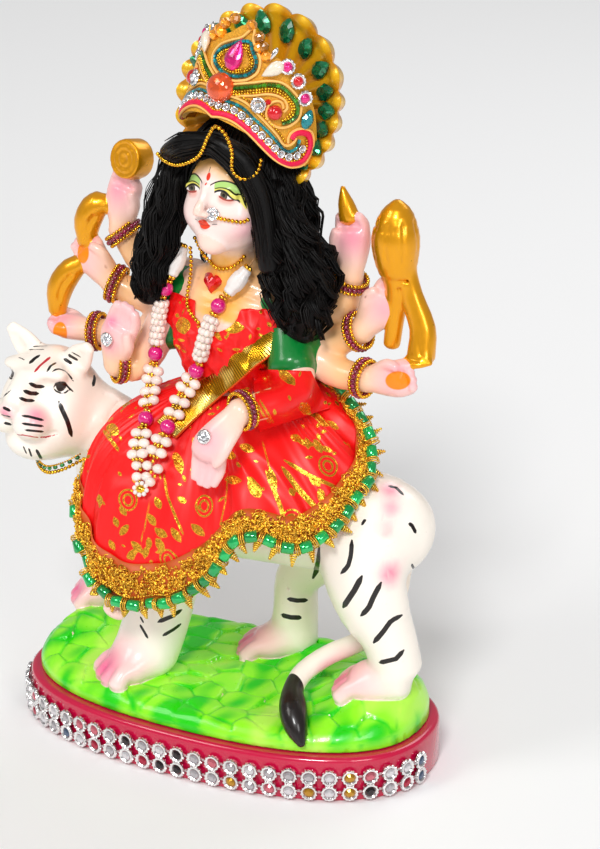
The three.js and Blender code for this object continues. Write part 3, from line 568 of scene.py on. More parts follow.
def turned(degreesX, degreesY, degreesZ):
    degrees = (degreesX, degreesY, degreesZ)
    x, y, z = (Matrix.Rotation(math.radians(angle), 3, axis) for angle, axis in zip(degrees, "XYZ"))
    return np.array(z @ y @ x)


# The painted cast: goddess, tiger, held things and mound

cast = {
    "voxel": 0.62,
    "headVoxel": 0.36,
    "tigerHeadVoxel": 0.42,
    "bodyFaces": 66000,
    "headFaces": 26000,
    "tigerHeadFaces": 22000,
    # rounds of smaller faces where an edge of colour runs, and the length that isn't split further
    "splits": 3,
    "finest": 0.8,
    "headRoom": (4.5, -4, 224, 21, 25, 23),  # middle and half sizes of the box that is made finer
    "tigerHeadRoom": (-73, -16, 133, 27, 32, 27),
}

plinth = {"length": 173, "width": 94, "height": 18, "edge": 2, "squareness": 2.4, "rim": 5}


class Shape:
    # An oval limb through rings (x, y, z, half width, half depth), or an egg, as a distance to its skin
    def __init__(self, segments):
        self.segments = segments

    def fill(self, x, y, z, margin):
        value = np.full(np.broadcast(x, y, z).shape, far, np.float32)
        for low, high, distance in self.segments:
            spans = []
            for grid, a, b in zip((x, y, z), low - margin, high + margin):
                spans.append(slice(*np.searchsorted(grid.ravel(), [a, b])))
            if any(s.start >= s.stop for s in spans):
                continue
            part = distance(x[spans[0]], y[:, spans[1]], z[:, :, spans[2]])
            value[tuple(spans)] = np.minimum(value[tuple(spans)], part)
        return value

    def at(self, points):
        value = np.full(len(points), far)
        for low, high, distance in self.segments:
            near = np.all((points > low - 8) & (points < high + 8), axis=1)
            value[near] = np.minimum(value[near], distance(*points[near].T))
        return value

    def box(self):
        return np.min([s[0] for s in self.segments], 0), np.max([s[1] for s in self.segments], 0)


def ovalDistance(u, v, w, a, b, c):
    # About how far a place is from the skin of an oval with half sizes a, b, c
    scaled = np.sqrt((u / a) ** 2 + (v / b) ** 2 + (w / c) ** 2)
    slope = np.sqrt((u / a**2) ** 2 + (v / b**2) ** 2 + (w / c**2) ** 2)
    return scaled * (scaled - 1) / np.maximum(slope, 1e-6)


def limb(rings, up=(0, 0, 1), steps=3):
    rings = np.array([r if len(r) == 5 else (*r, r[3]) for r in rings], float)
    ends = np.concatenate([2 * rings[:1] - rings[1:2], rings, 2 * rings[-1:] - rings[-2:-1]])
    spots = np.linspace(0, len(rings) - 1, (len(rings) - 1) * steps + 1)
    first = np.minimum(spots.astype(int), len(rings) - 2)
    w = (spots - first)[:, None]
    a, b, c, d = (ends[first + k] for k in range(4))
    fine = 0.5 * (2 * b + (c - a) * w + (2 * a - 5 * b + 4 * c - d) * w**2 + (3 * b - a - 3 * c + d) * w**3)
    fine[:, 3:] = np.maximum(fine[:, 3:], 0.3)
    along = unit(np.gradient(fine[:, :3], axis=0))
    side = unit(np.cross(along, up))
    depth = np.cross(side, along)
    segments = []
    for k in range(len(fine) - 1):
        segments.append(limbPiece(fine[k], fine[k + 1], side[k] + side[k + 1], depth[k] + depth[k + 1]))
    return Shape(segments)


def limbPiece(first, second, side, depth):
    start, reach = first[:3], second[:3] - first[:3]
    length = np.linalg.norm(reach)
    run = reach / length
    side = unit(side - run * (side @ run))
    depth = unit(np.cross(side, run)) if np.cross(side, run) @ depth > 0 else -unit(np.cross(side, run))

    def distance(x, y, z):
        x, y, z = x - start[0], y - start[1], z - start[2]
        t = np.clip((x * run[0] + y * run[1] + z * run[2]) / length, 0, 1)
        x, y, z = x - t * reach[0], y - t * reach[1], z - t * reach[2]
        u = x * side[0] + y * side[1] + z * side[2]
        v = x * depth[0] + y * depth[1] + z * depth[2]
        w = x * run[0] + y * run[1] + z * run[2]
        a = first[3] + (second[3] - first[3]) * t
        b = first[4] + (second[4] - first[4]) * t
        return ovalDistance(u, v, w, a, b, 0.7 * np.minimum(a, b))

    size = max(*first[3:], *second[3:])
    low = np.minimum(first[:3], second[:3]) - size
    return low, np.maximum(first[:3], second[:3]) + size, distance


def egg(centre, half, yaw=0.0):
    c, s = math.cos(math.radians(yaw)), math.sin(math.radians(yaw))

    def distance(x, y, z):
        x, y, z = x - centre[0], y - centre[1], z - centre[2]
        return ovalDistance(x * c + y * s, y * c - x * s, z, *half)

    reach = np.full(3, max(half))
    return Shape([(np.array(centre) - reach, np.array(centre) + reach, distance)])


def joinedSmooth(a, b, blend):
    near = np.maximum(blend - np.abs(a - b), 0) / blend
    return np.minimum(a, b) - near * near * blend * 0.25


# Places in a head: out to its left side, forward along its gaze, and up
heads = {
    "tiger": {"centre": (-71.5, -13, 136), "yaw": -9},
    "goddess": {"centre": (4.5, -2, 225), "yaw": -9},
}


def headSpot(who, side, ahead, up):
    turn = math.radians(heads[who]["yaw"])
    x, y, z = heads[who]["centre"]
    return (
        x + side * math.cos(turn) + ahead * math.sin(turn),
        y + side * math.sin(turn) - ahead * math.cos(turn),
        z + up,
    )


def inHead(who, points):
    turn = math.radians(heads[who]["yaw"])
    away = points - np.array(heads[who]["centre"])
    side = away[:, 0] * math.cos(turn) + away[:, 1] * math.sin(turn)
    ahead = away[:, 0] * math.sin(turn) - away[:, 1] * math.cos(turn)
    return np.stack([side, ahead, away[:, 2]], -1)


def headEgg(who, place, half):
    return egg(headSpot(who, *place), half, heads[who]["yaw"])


def headLimb(who, rings, **others):
    return limb([(*headSpot(who, *ring[:3]), *ring[3:]) for ring in rings], **others)


backwards = (0, 1, 0)
tigerLegs = {
    "nearFore": [
        (-24, -8, 94, 14, 13), (-21, -11, 74, 12, 12), (-22, -12, 60, 11.5, 12), (-26, -14, 47, 13, 12),
        (-29, -17, 35, 13, 12),
    ],
    "farFore": [(-46, 14, 92, 12, 12), (-58, 18, 68, 10, 10), (-68, 22, 48, 9, 9), (-72, 24, 35, 9, 9)],
    "nearHind": [
        (61, -7, 98, 17, 12), (62, -8, 84, 16.5, 12), (66, -7, 70, 14.5, 11), (71, -5, 59, 11, 10),
        (74, -3, 46, 10, 9.5),
    ],
    "farHind": [
        (42, 16, 90, 16, 12), (28, 20, 73, 11.5, 9), (18, 22, 60, 9, 8.5), (17, 22, 46, 9, 9),
        (16, 22, 36, 10, 9),
    ],
}
paws = {
    # heel, toes, half width, half depth
    "nearFore": ((-27, -18, 33), (-39, -33, 29), 12, 8),
    "farFore": ((-68, 26, 36), (-83, 17, 33), 11, 8),
    "nearHind": ((74, -2, 40), (52, -9, 35), 11, 8),
    "farHind": ((18, 23, 34), (-3, 14, 29), 10.5, 7),
}
tailRings = [
    (66, 16, 104, 5), (62, 25, 86, 4.5), (60, 26, 64, 4.5), (56, 20, 48, 4), (51, 8, 45, 4),
    (44.5, -2, 43, 4), (40, -14, 40, 4), (40.5, -24, 37, 4), (44, -31, 33, 5.4), (48, -36, 28, 4.6),
    (52, -39, 23, 1.6),
]
tuftStart = -22  # where the black tuft of the tail begins, in y


def pawShapes(heel, toes, wide, deep):
    heel, toes = np.array(heel, float), np.array(toes, float)
    run = toes - heel
    across = unit(np.cross(run, (0, 0, 1)))
    knuckle = heel + run * 0.62
    arch = heel + run * 0.45
    foot = limb([(*heel, wide * 0.85, deep), (*arch, wide * 0.95, deep), (*knuckle, wide * 0.9, deep * 0.85)])
    toeSize = wide * 0.3
    pads = []
    for k in range(4):
        lean = (k - 1.5) / 1.5
        root = knuckle + across * lean * wide * 0.6 + (0, 0, deep * 0.15)
        tip = toes + across * lean * wide * 0.72 - unit(run) * abs(lean) * 2.2 - (0, 0, deep * 0.28)
        joint = (root + tip) / 2 + (0, 0, 1)
        pads.append(limb([(*root, toeSize), (*joint, toeSize), (*tip, toeSize, toeSize * 1.05)]))
    return foot, pads


def tigerShapes():
    # Each shape with how softly it runs into the rest
    made = [
        (limb([
            (77, 5, 97, 10, 12), (71, 5, 98, 16, 17), (58, 5, 98.5, 20, 20.5), (30, 5, 97, 20, 21),
            (0, 5, 96, 20, 22), (-28, 4, 97, 20, 23), (-46, 2, 101, 18, 21), (-57, -1, 106, 13, 15),
        ]), 6),
        (limb([(-40, 2, 108, 16, 17), (-54, -4, 119, 16, 16), (-65, -9, 129, 14, 14)]), 6),
    ]
    made += [(limb(rings, up=backwards), 6) for rings in tigerLegs.values()]
    for heel, toes, wide, deep in paws.values():
        foot, pads = pawShapes(heel, toes, wide, deep)
        made += [(foot, 4)] + [(pad, 1.2) for pad in pads]
    made.append((limb(tailRings), 1.5))
    who = "tiger"
    made += [
        (headEgg(who, (0, 0, 0), (16.5, 17, 17.5)), 6),
        (headEgg(who, (0, 5, -12), (16, 15, 15)), 6),
        (headLimb(who, [(0, 14, 9, 5.5, 4), (0, 20, 4, 5, 4.5), (0, 24, -1, 4.6, 4)], up=backwards), 4),
    ]
    for side in (-1, 1):
        ear = [(side * 10, -1, 12, 6, 3), (side * 15, 0, 17, 5.4, 2.4), (side * 20, 1, 22, 2.6, 1.6)]
        made += [
            (headEgg(who, (side * 6.2, 19.5, -6), (7.2, 8.2, 7)), 2.2),
            (headEgg(who, (side * 13, 6, -6), (5, 8, 9)), 6),
            (headEgg(who, (side * 9, 10, 11.5), (6, 4, 3)), 5),
            (headLimb(who, ear, up=backwards), 2.5),
        ]
    made += [
        (headEgg(who, (0, 12.5, -16.5), (11, 10, 8)), 3),
        (headEgg(who, (0, 26.3, -0.5), (4.2, 2.4, 3)), 1.5),
    ]
    return made


def tigerCuts():
    who = "tiger"
    nose = [(0, 28.6, -3, 0.8), (0, 28, -8, 0.9), (0, 26, -13, 0.8)]
    lips = [
        (-14, 15, -10.5, 0.7), (-7, 24.5, -13.5, 1), (0, 26.5, -13, 0.9), (7, 24.5, -13.5, 1),
        (14, 15, -10.5, 0.7)
    ]
    cuts = [(headLimb(who, nose), 1.6), (headLimb(who, lips), 1.6)]
    for side in (-1, 1):
        ear = [(side * 14.6, 2.6, 14.5, 3, 1.6), (side * 17, 3.2, 19, 1.8, 1.2)]
        cuts.append((headLimb(who, ear, up=backwards), 1.5))
        cuts.append((headEgg(who, (side * 11, 14.5, 6.5), (4.6, 3.2, 3)), 3.5))
    return cuts


# Each arm: shoulder, elbow, wrist, palm and finger tips
arms = {
    "right_1": [(-26, 0, 172), (-34, -8, 152), (-41, -16, 153), (-38.5, -18, 165), (-33, -18, 179)],
    "right_2": [(-24, 5, 170), (-42, 5, 158), (-62, 2, 157), (-73, 2, 157), (-80, 0, 159)],
    "right_3": [(-22, 7, 178), (-40, 9, 172), (-55, 6, 177), (-63, 6, 185), (-69, 6, 193)],
    "right_4": [(-20, 9, 184), (-42, 12, 184), (-53, 10, 198), (-51.5, 10, 211), (-49, 9, 221)],
    "left_1": [(26, 0, 168), (36, -14, 155), (25, -37, 153), (16.5, -44, 140), (14, -44, 124)],
    "left_2": [(24, 5, 170), (42, 4, 159), (58, 2, 158.5), (70, 1, 161), (78, 0, 164)],
    "left_3": [(22, 7, 178), (38, 9, 168), (52.5, 8, 175), (61, 9, 186), (66, 9, 196)],
    "left_4": [(20, 9, 184), (40, 13, 180), (45.5, 12, 194), (46.5, 12, 208), (45, 12, 219)],
}
wristRadius = 4.8


def crosswise(start, end):
    # A direction that never runs along the limb: backwards for a rising one, upright for a level one
    return backwards if abs(end[2] - start[2]) > abs(end[1] - start[1]) else (0, 0, 1)


def handShapes(name):
    wrist, palm, tips = (np.array(p, float) for p in arms[name][2:])
    up = crosswise(wrist, tips)
    run = unit(tips - palm)
    across = unit(np.cross(run, up))
    front = np.cross(across, run)
    front = front if front[1] < 0 or front[2] > 0.9 else -front
    heel = (wrist + palm) / 2
    made = [(
        limb([(*wrist, 4.3, 4.3), (*heel, 6, 4.6), (*palm, 7, 4.6), (*(palm + run * 3), 6.6, 4)], up=up), 2
    )]
    reach = np.linalg.norm(tips - palm)
    for k in range(4):
        lean = (k - 1.5) / 1.5
        root = palm + across * lean * 4.8 + run
        bend = palm + across * lean * 5 + run * (reach * (0.6 - 0.06 * abs(lean))) - front * 0.8
        tip = palm + across * lean * 4 + run * (reach * (1 - 0.13 * abs(lean))) + front * 0.8
        made.append((limb([(*root, 2.1, 2.3), (*bend, 2.0, 2.2), (*tip, 1.6, 1.8)], up=up), 0.9))
    edge = across if name.startswith("left") == (front[1] < 0) else -across
    root = wrist + (palm - wrist) * 0.4 + edge * 3.5
    bend = palm + edge * 6.6 + front * 2.2
    tip = palm + edge * 5 + run * 4.5 + front * 3.4
    made.append((limb([(*root, 2.4), (*bend, 2.2), (*tip, 1.7)], up=up), 1.4))
    return made


def goddessShapes():
    who = "goddess"
    nose = [(0, 17, 5.5, 1.4), (0, 18.8, 2, 1.5), (-0.2, 21.4, -1.6, 1.9), (-0.3, 22, -3.2, 1.9, 1.6)]
    rightLeg = [(-12, -6, 126, 13, 11), (-24, -27, 124, 10, 9), (-24, -32, 114, 7, 7), (-24, -34, 76, 5.5, 6)]
    made = [
        (limb([
            (0, 5, 112, 26, 18), (0, 4, 124, 25, 17), (0, 3, 142, 15, 11), (0, 0, 160, 19, 13),
            (0, 0, 172, 22, 14), (1, 3, 184, 24, 9), (1.5, 3, 192, 11, 8), (2, 1, 204, 7.5, 8),
        ], up=backwards), 2),
        (limb([(1.5, 2, 190, 9, 8), (2, 0.5, 200, 7.6, 8), (3, -1, 212, 8, 8.5)], up=backwards), 3),
        (headEgg(who, (0, 0, 0), (17, 18, 21)), 3),
        (egg((3, -9, 214), (11.5, 10, 9), -9), 5),
        (headEgg(who, (-0.4, 13.6, -17), (5, 4.4, 4)), 4),
        (headLimb(who, nose, up=backwards), 2.4),
        (limb(rightLeg), 2),
        (limb([(-23, -33, 72, 6, 5), (-27, -44, 63, 5.5, 3.5)]), 2),
        (limb([(12, -2, 126, 13, 11), (38, -11, 122, 9, 8), (28, -19, 118, 7, 7), (12, -24, 116, 6, 6)]), 2),
    ]
    for side in (-1, 1):
        made += [
            (headEgg(who, (side * 8.2, 10.8, -6.5), (6, 5.6, 6.4)), 4),
            (headEgg(who, (side * 1.9, 20.3, -3.6), (1.5, 1.6, 1.2)), 1.2),
        ]
    for name, (shoulder, elbow, wrist, *_) in arms.items():
        rings = [(*shoulder, 7), (*elbow, 6.2), (*wrist, wristRadius)]
        made.append((limb(rings, up=crosswise(elbow, wrist)), 2.5))
        made += handShapes(name)
    return made


def faceDetails():
    # Cuts first, then what is laid back into them
    who = "goddess"
    cuts, laid = [], []
    for side in (-1, 1):
        cuts.append((headEgg(who, (side * 7.4, 18.6, 3.8), (4.6, 2.2, 2.4)), 2.5))
        laid.append((headEgg(who, (side * 7.5, 13.9, 3.4), (4.4, 2.6, 2.6)), 0.9))
        outs = (3.6, 5.5, 7.4, 9.4, 11)
        lid = [(side * u, 15.9 - 0.055 * (u - 5) ** 2, 5.35 - 0.12 * (u - 6.3) ** 2, 0.45) for u in outs]
        laid.append((headLimb(who, lid), 0.6))
        laid.append((headEgg(who, (side * 1.35 - 0.5, 17.3, -7.6), (2.0, 1.5, 1.0)), 0.7))
        corner = [(side * 2.6 - 0.5, 18.6, -8.5, 0.5), (side * 4.2 - 0.5, 18, -8.1, 0.45)]
        cuts.append((headLimb(who, corner), 1))
    laid.append((headEgg(who, (-0.5, 17.1, -9.7), (2.2, 1.5, 1.1)), 0.7))
    cuts.append((headLimb(who, [(-3, 18.6, -8.6, 0.4), (-0.5, 19.4, -8.9, 0.45), (2, 18.6, -8.6, 0.4)]), 0.8))
    return cuts, laid


def sleeveShapes():
    sleeves = [
        limb(
            [(side * 19, 4, 182, 9, 9), (side * 26 + 1, 3, 172, 9, 9), (side * 28 + 1, 2, 163, 9.5, 9.5)],
            up=backwards
        )
        for side in (-1, 1)
    ]
    return sleeves + [limb([(25, 1, 172, 8), (28, -3, 166, 8.6), (30.6, -6.6, 161.5, 9)], up=backwards)]


heldDisc = {
    "centre": (-46.6, 9.4, 227), "run": (-0.22, -0.95, 0.2), "radius": 7.7, "half": 4.4,
    "rings": (2.2, 4.6, 6.9)
}


def drum(centre, run, radius, half):
    # A short round bar along run, with softened edges
    soft = 1.2

    def distance(x, y, z):
        x, y, z = x - centre[0], y - centre[1], z - centre[2]
        along = x * run[0] + y * run[1] + z * run[2]
        across = np.sqrt(np.maximum(x**2 + y**2 + z**2 - along**2, 0)) - radius + soft
        along = np.abs(along) - half + soft
        outside = np.hypot(np.maximum(across, 0), np.maximum(along, 0))
        return np.minimum(np.maximum(across, along), 0) + outside - soft

    reach = np.full(3, math.hypot(radius, half))
    return Shape([(centre - reach, centre + reach, distance)])


def heldShapes():
    centre, run = np.array(heldDisc["centre"]), unit(np.array(heldDisc["run"]))
    disc = drum(centre, run, heldDisc["radius"], heldDisc["half"])
    side = unit(np.cross(run, (0, 0, 1)))
    face = centre + run * heldDisc["half"]
    turn = np.linspace(0, 2 * math.pi, 19)
    rings = []
    for radius in heldDisc["rings"]:
        places = face + radius * circle(turn, side, np.cross(side, run))
        rings.append(limb([(*place, 0.6) for place in places], up=run, steps=2))
    conch = limb([(-56, 9, 206, 2.4), (-62, 8, 207, 5), (-66, 7, 200, 5.4), (-66, 6, 192, 3.6)], up=backwards)
    horn = limb(
        [(-66, 5, 184, 2.6), (-72, 4, 180, 4.8), (-77, 3, 172, 5.2), (-78, 2, 163, 3.6)], up=backwards
    )
    mace = limb([
        (66, 9, 226, 2.5), (66, 9, 221, 6.5), (65.5, 9, 213, 9), (66, 9, 204, 8), (67, 9, 196, 5.5),
        (66, 9, 184, 3.6), (65, 8, 172, 3.2),
    ], up=backwards)
    pennant = limb(
        [(68, 9, 204, 5, 4), (72, 9, 192, 4.5, 4), (77.5, 8, 180, 5, 4.5), (78, 6, 170, 5.4, 5)],
        up=backwards
    )
    hem = limb([(73.5, 3, 169, 1.2), (78, 0.5, 168, 1.3), (83, 3.5, 169, 1.2)])
    lotus = limb([(45, 12, 217, 3.8), (43.4, 12, 222, 3), (42, 12, 228, 0.9)], up=backwards)
    return {
        "disc": disc, "ring1": rings[0], "ring2": rings[1], "ring3": rings[2], "conch": conch, "horn": horn,
        "mace": mace, "pennant": pennant, "hem": hem, "lotus": lotus
    }


def heldCuts():
    # The conch's hollow and the folds of mace and pennant
    cuts = [(limb([(-60.5, 3, 203, 1.6), (-63, 1.5, 199, 1.7), (-63.5, 1.5, 194, 1.2)], up=backwards), 0.8)]
    groove = [(-70, -0.5, 179, 1.1), (-73.5, -1.8, 174, 1.3), (-75, -1.6, 168, 1)]
    cuts.append((limb(groove, up=backwards), 0.8))
    for turn in np.arange(0, 2 * math.pi, math.pi / 4):
        out = np.array((math.cos(turn), math.sin(turn), 0))
        ribs = [(66, 9, 220, 7), (65.5, 9, 213, 9.2), (66, 9, 205, 8.3)]
        cuts.append((limb([(*(np.array(r[:3]) + out * r[3]), 0.55) for r in ribs], up=(1, 0.3, 0)), 0.7))
    for height, radius in ((217.5, 8.4), (198, 6.6)):
        ring = [
            (66 + radius * math.cos(a), 9 + radius * math.sin(a), height, 0.6)
            for a in np.linspace(0, 2 * math.pi, 13)
        ]
        cuts.append((limb(ring, steps=2), 0.6))
    for off in (-2.2, 1.6):
        fold = [(71 + off, 5, 196, 0.5), (75 + off, 3.6, 184, 0.7), (78 + off, 1.6, 172, 0.6)]
        cuts.append((limb(fold, up=(1, 0, 0)), 0.8))
    return cuts


# Swells and dips of the mound: x, y, how high, how wide
moundBumps = [(-74, 8, 6, 22), (66, 4, 14, 22), (28, 24, 6, 14), (20, -20, -3, 16)]
mound = {
    "top": 27, "base": 18.35, "leafSize": 13, "leafLean": 0.16, "creaseDepth": 0.55, "creaseWidth": 1.1,
    "seed": 4
}


def oblongReach(x, y, inset):
    # How far inside the oblong outline a place is
    a, b, n = plinth["length"] / 2 - inset, plinth["width"] / 2 - inset, plinth["squareness"]
    share = (np.abs(x / a) ** n + np.abs(y / b) ** n + 1e-9) ** (1 / n)
    gradX = share ** (1 - n) * np.abs(x / a) ** (n - 1) / a
    gradY = share ** (1 - n) * np.abs(y / b) ** (n - 1) / b
    return (1 - share) / np.maximum(np.hypot(gradX, gradY), 1e-3)


def moundHeight(x, y):
    # The mound's skin, and how near each place is to a crease between its leaves
    height = sum(
        high * np.exp(-(np.hypot(x - bx, y - by) / reach) ** 2) for bx, by, high, reach in moundBumps
    )
    rng = np.random.default_rng(mound["seed"])
    size = mound["leafSize"]
    nodes = [(i, j) for i in np.arange(-9, 10) for j in np.arange(-6, 7)]
    nearest = np.full(np.broadcast(x, y).shape, far)
    second = nearest.copy()
    lean = nearest * 0
    for i, j in nodes:
        jitter = rng.uniform(-0.36, 0.36, 2)
        tilt = rng.uniform(-1, 1, 2) * mound["leafLean"]
        cx, cy = (i + jitter[0] + 0.5 * (j % 2)) * size, (j + jitter[1]) * size * 0.8
        away = np.hypot(x - cx, (y - cy) * 1.15)
        closer = away < nearest
        second = np.where(closer, nearest, np.minimum(second, away))
        lean = np.where(closer, (x - cx) * tilt[0] + (y - cy) * tilt[1], lean)
        nearest = np.minimum(nearest, away)
    crease = np.exp(-(((second - nearest) / mound["creaseWidth"]) ** 2))
    inset = oblongReach(x, y, plinth["rim"])
    rise = np.interp(inset, [-1, 0, 1.5, 4, 10, 23], [0.45, 0.56, 0.74, 0.86, 0.97, 1])
    relief = (lean - crease * mound["creaseDepth"]) * np.clip(inset / 5 + 0.5, 0, 1)
    top = mound["top"] - mound["base"] + height + relief
    return mound["base"] + rise * top, crease


def moundDistance(x, y, z):
    height, _ = moundHeight(x, y)
    outside = -oblongReach(x, y, plinth["rim"] - 1)
    skin = (z - height) * 0.85
    body = -joinedSmooth(-skin, -outside, 1.6)
    return np.maximum(body, mound["base"] - z)


def boxDistance(x, y, z, room, shrink):
    middle, half = np.array(room[:3], float), np.array(room[3:], float) - shrink
    away = [np.abs(g - m) - h for g, m, h in zip((x, y, z), middle, half)]
    return np.maximum(np.maximum(away[0], away[1]), away[2])


def emptyGrid(low, size, voxel):
    # The lines of a grid of voxels, the same as broadcast sides, and its field with nothing in it
    lines = [(low[i] + voxel * np.arange(size[i])).astype(np.float32) for i in range(3)]
    sides = lines[0][:, None, None], lines[1][None, :, None], lines[2][None, None, :]
    return lines, sides, np.full(tuple(size), far, np.float32)


def skinOf(field, low, voxel):
    grid = openvdb.FloatGrid(far)
    grid.copyFromArray(np.clip(field, -4 * voxel, 4 * voxel))
    points, quads = grid.convertToQuads(0.0)
    return points * voxel + low, quads.astype(int)


def castShell(low, high, voxel, faces, details, keep=None, leave=()):
    # One closed skin of the cast inside a box, thinned to a count of faces
    low = np.floor(np.array(low) / voxel) * voxel
    size = np.ceil((np.array(high) - low) / voxel).astype(int) + 1
    lines, (x, y, z), field = emptyGrid(low, size, voxel)

    def within(shape, margin):
        a, b = shape.box()
        return tuple(slice(*np.searchsorted(lines[i], [a[i] - margin, b[i] + margin])) for i in range(3))

    def apply(shape, softness, cut=False):
        margin = softness + 3 * voxel + 1
        spans = within(shape, margin)
        if any(s.start >= s.stop for s in spans):
            return
        value = shape.fill(x[spans[0]], y[:, spans[1]], z[:, :, spans[2]], margin)
        if cut:
            field[spans] = -joinedSmooth(-field[spans], value, softness)
        else:
            field[spans] = joinedSmooth(field[spans], value, softness)

    for shape, softness in tigerShapes():
        apply(shape, softness)
    for shape, softness in tigerCuts():
        apply(shape, softness, cut=True)
    if low[2] < 50:
        top = np.searchsorted(lines[2], 52)
        earth = moundDistance(x, y, z[:, :, :top]).astype(np.float32)
        field[:, :, :top] = joinedSmooth(field[:, :, :top], earth, 0.9)
    for shape, softness in goddessShapes():
        apply(shape, softness)
    for shape in sleeveShapes():
        apply(shape, 0.8)
    for name, shape in heldShapes().items():
        apply(shape, 0.5 if name.startswith("ring") else 0.8)
    for shape, softness in heldCuts():
        apply(shape, softness, cut=True)
    if details:
        cuts, laid = faceDetails()
        for shape, softness in cuts:
            apply(shape, softness, cut=True)
        for shape, softness in laid:
            apply(shape, softness)
    if keep:
        field = np.maximum(field, boxDistance(x, y, z, keep, 0))
    for room in leave:
        field = np.maximum(field, -boxDistance(x, y, z, room, 1.2))
    points, quads = skinOf(field, low, voxel)
    shell = makeMesh("shell", points, quads, [])
    thinned = bpy.data.objects.new("shell", shell)
    bpy.context.collection.objects.link(thinned)
    if 2 * len(quads) > faces:
        fewer = thinned.modifiers.new("fewer", "DECIMATE")
        fewer.ratio = faces / (2 * len(quads))
    fixed = thinned.modifiers.new("triangles", "TRIANGULATE")
    fixed.quad_method = "BEAUTY"
    done = thinned.evaluated_get(bpy.context.evaluated_depsgraph_get()).to_mesh()
    points = np.empty(3 * len(done.vertices), np.float32)
    done.vertices.foreach_get("co", points)
    corners = np.empty(len(done.loops), np.int32)
    done.loops.foreach_get("vertex_index", corners)
    bpy.data.objects.remove(thinned)
    bpy.data.meshes.remove(shell)
    return points.reshape(-1, 3).astype(float) / mm, corners.reshape(-1, 3)


def castSkin():
    heap = Heap()
    rooms = [cast["headRoom"], cast["tigerHeadRoom"]]
    heap.add(castShell((-97, -50, 17), (90, 49, 252), cast["voxel"], cast["bodyFaces"], False, leave=rooms))
    for part, room in zip(("head", "tigerHead"), rooms):
        low, high = np.array(room[:3]) - room[3:] - 2, np.array(room[:3]) + room[3:] + 2
        heap.add(castShell(low, high, cast[part + "Voxel"], cast[part + "Faces"], True, keep=room))
    print(f"cast skin: {sum(len(f) for f in heap.faces)} faces")
    return np.concatenate(heap.points), np.concatenate(heap.faces)


# Paint on the cast

palette = {
    "cream": rgb("fff6ea"),
    "blush": rgb("f59aa8"),
    "deepPink": rgb("f0709a"),
    "skin": rgb("ffdacb"),
    "faceSkin": rgb("ffe6de"),
    "yellowSkin": rgb("fdba52"),
    "peach": rgb("fbc090"),
    "palm": rgb("f9aebe"),
    "orange": rgb("ff8a00"),
    "lime": rgb("90f424"),
    "leafGreen": rgb("1fd008"),
    "paleLime": rgb("b6f650"),
    "gold": rgb("f0a40c"),
    "sleeve": rgb("067a30"),
    "black": rgb("17100e"),
    "red": rgb("c8142c"),
    "lip": rgb("f2401c"),
    "shadowGreen": rgb("b4dc7c"),
    "shadowYellow": rgb("eee46a"),
    "iris": rgb("5c5440"),
}

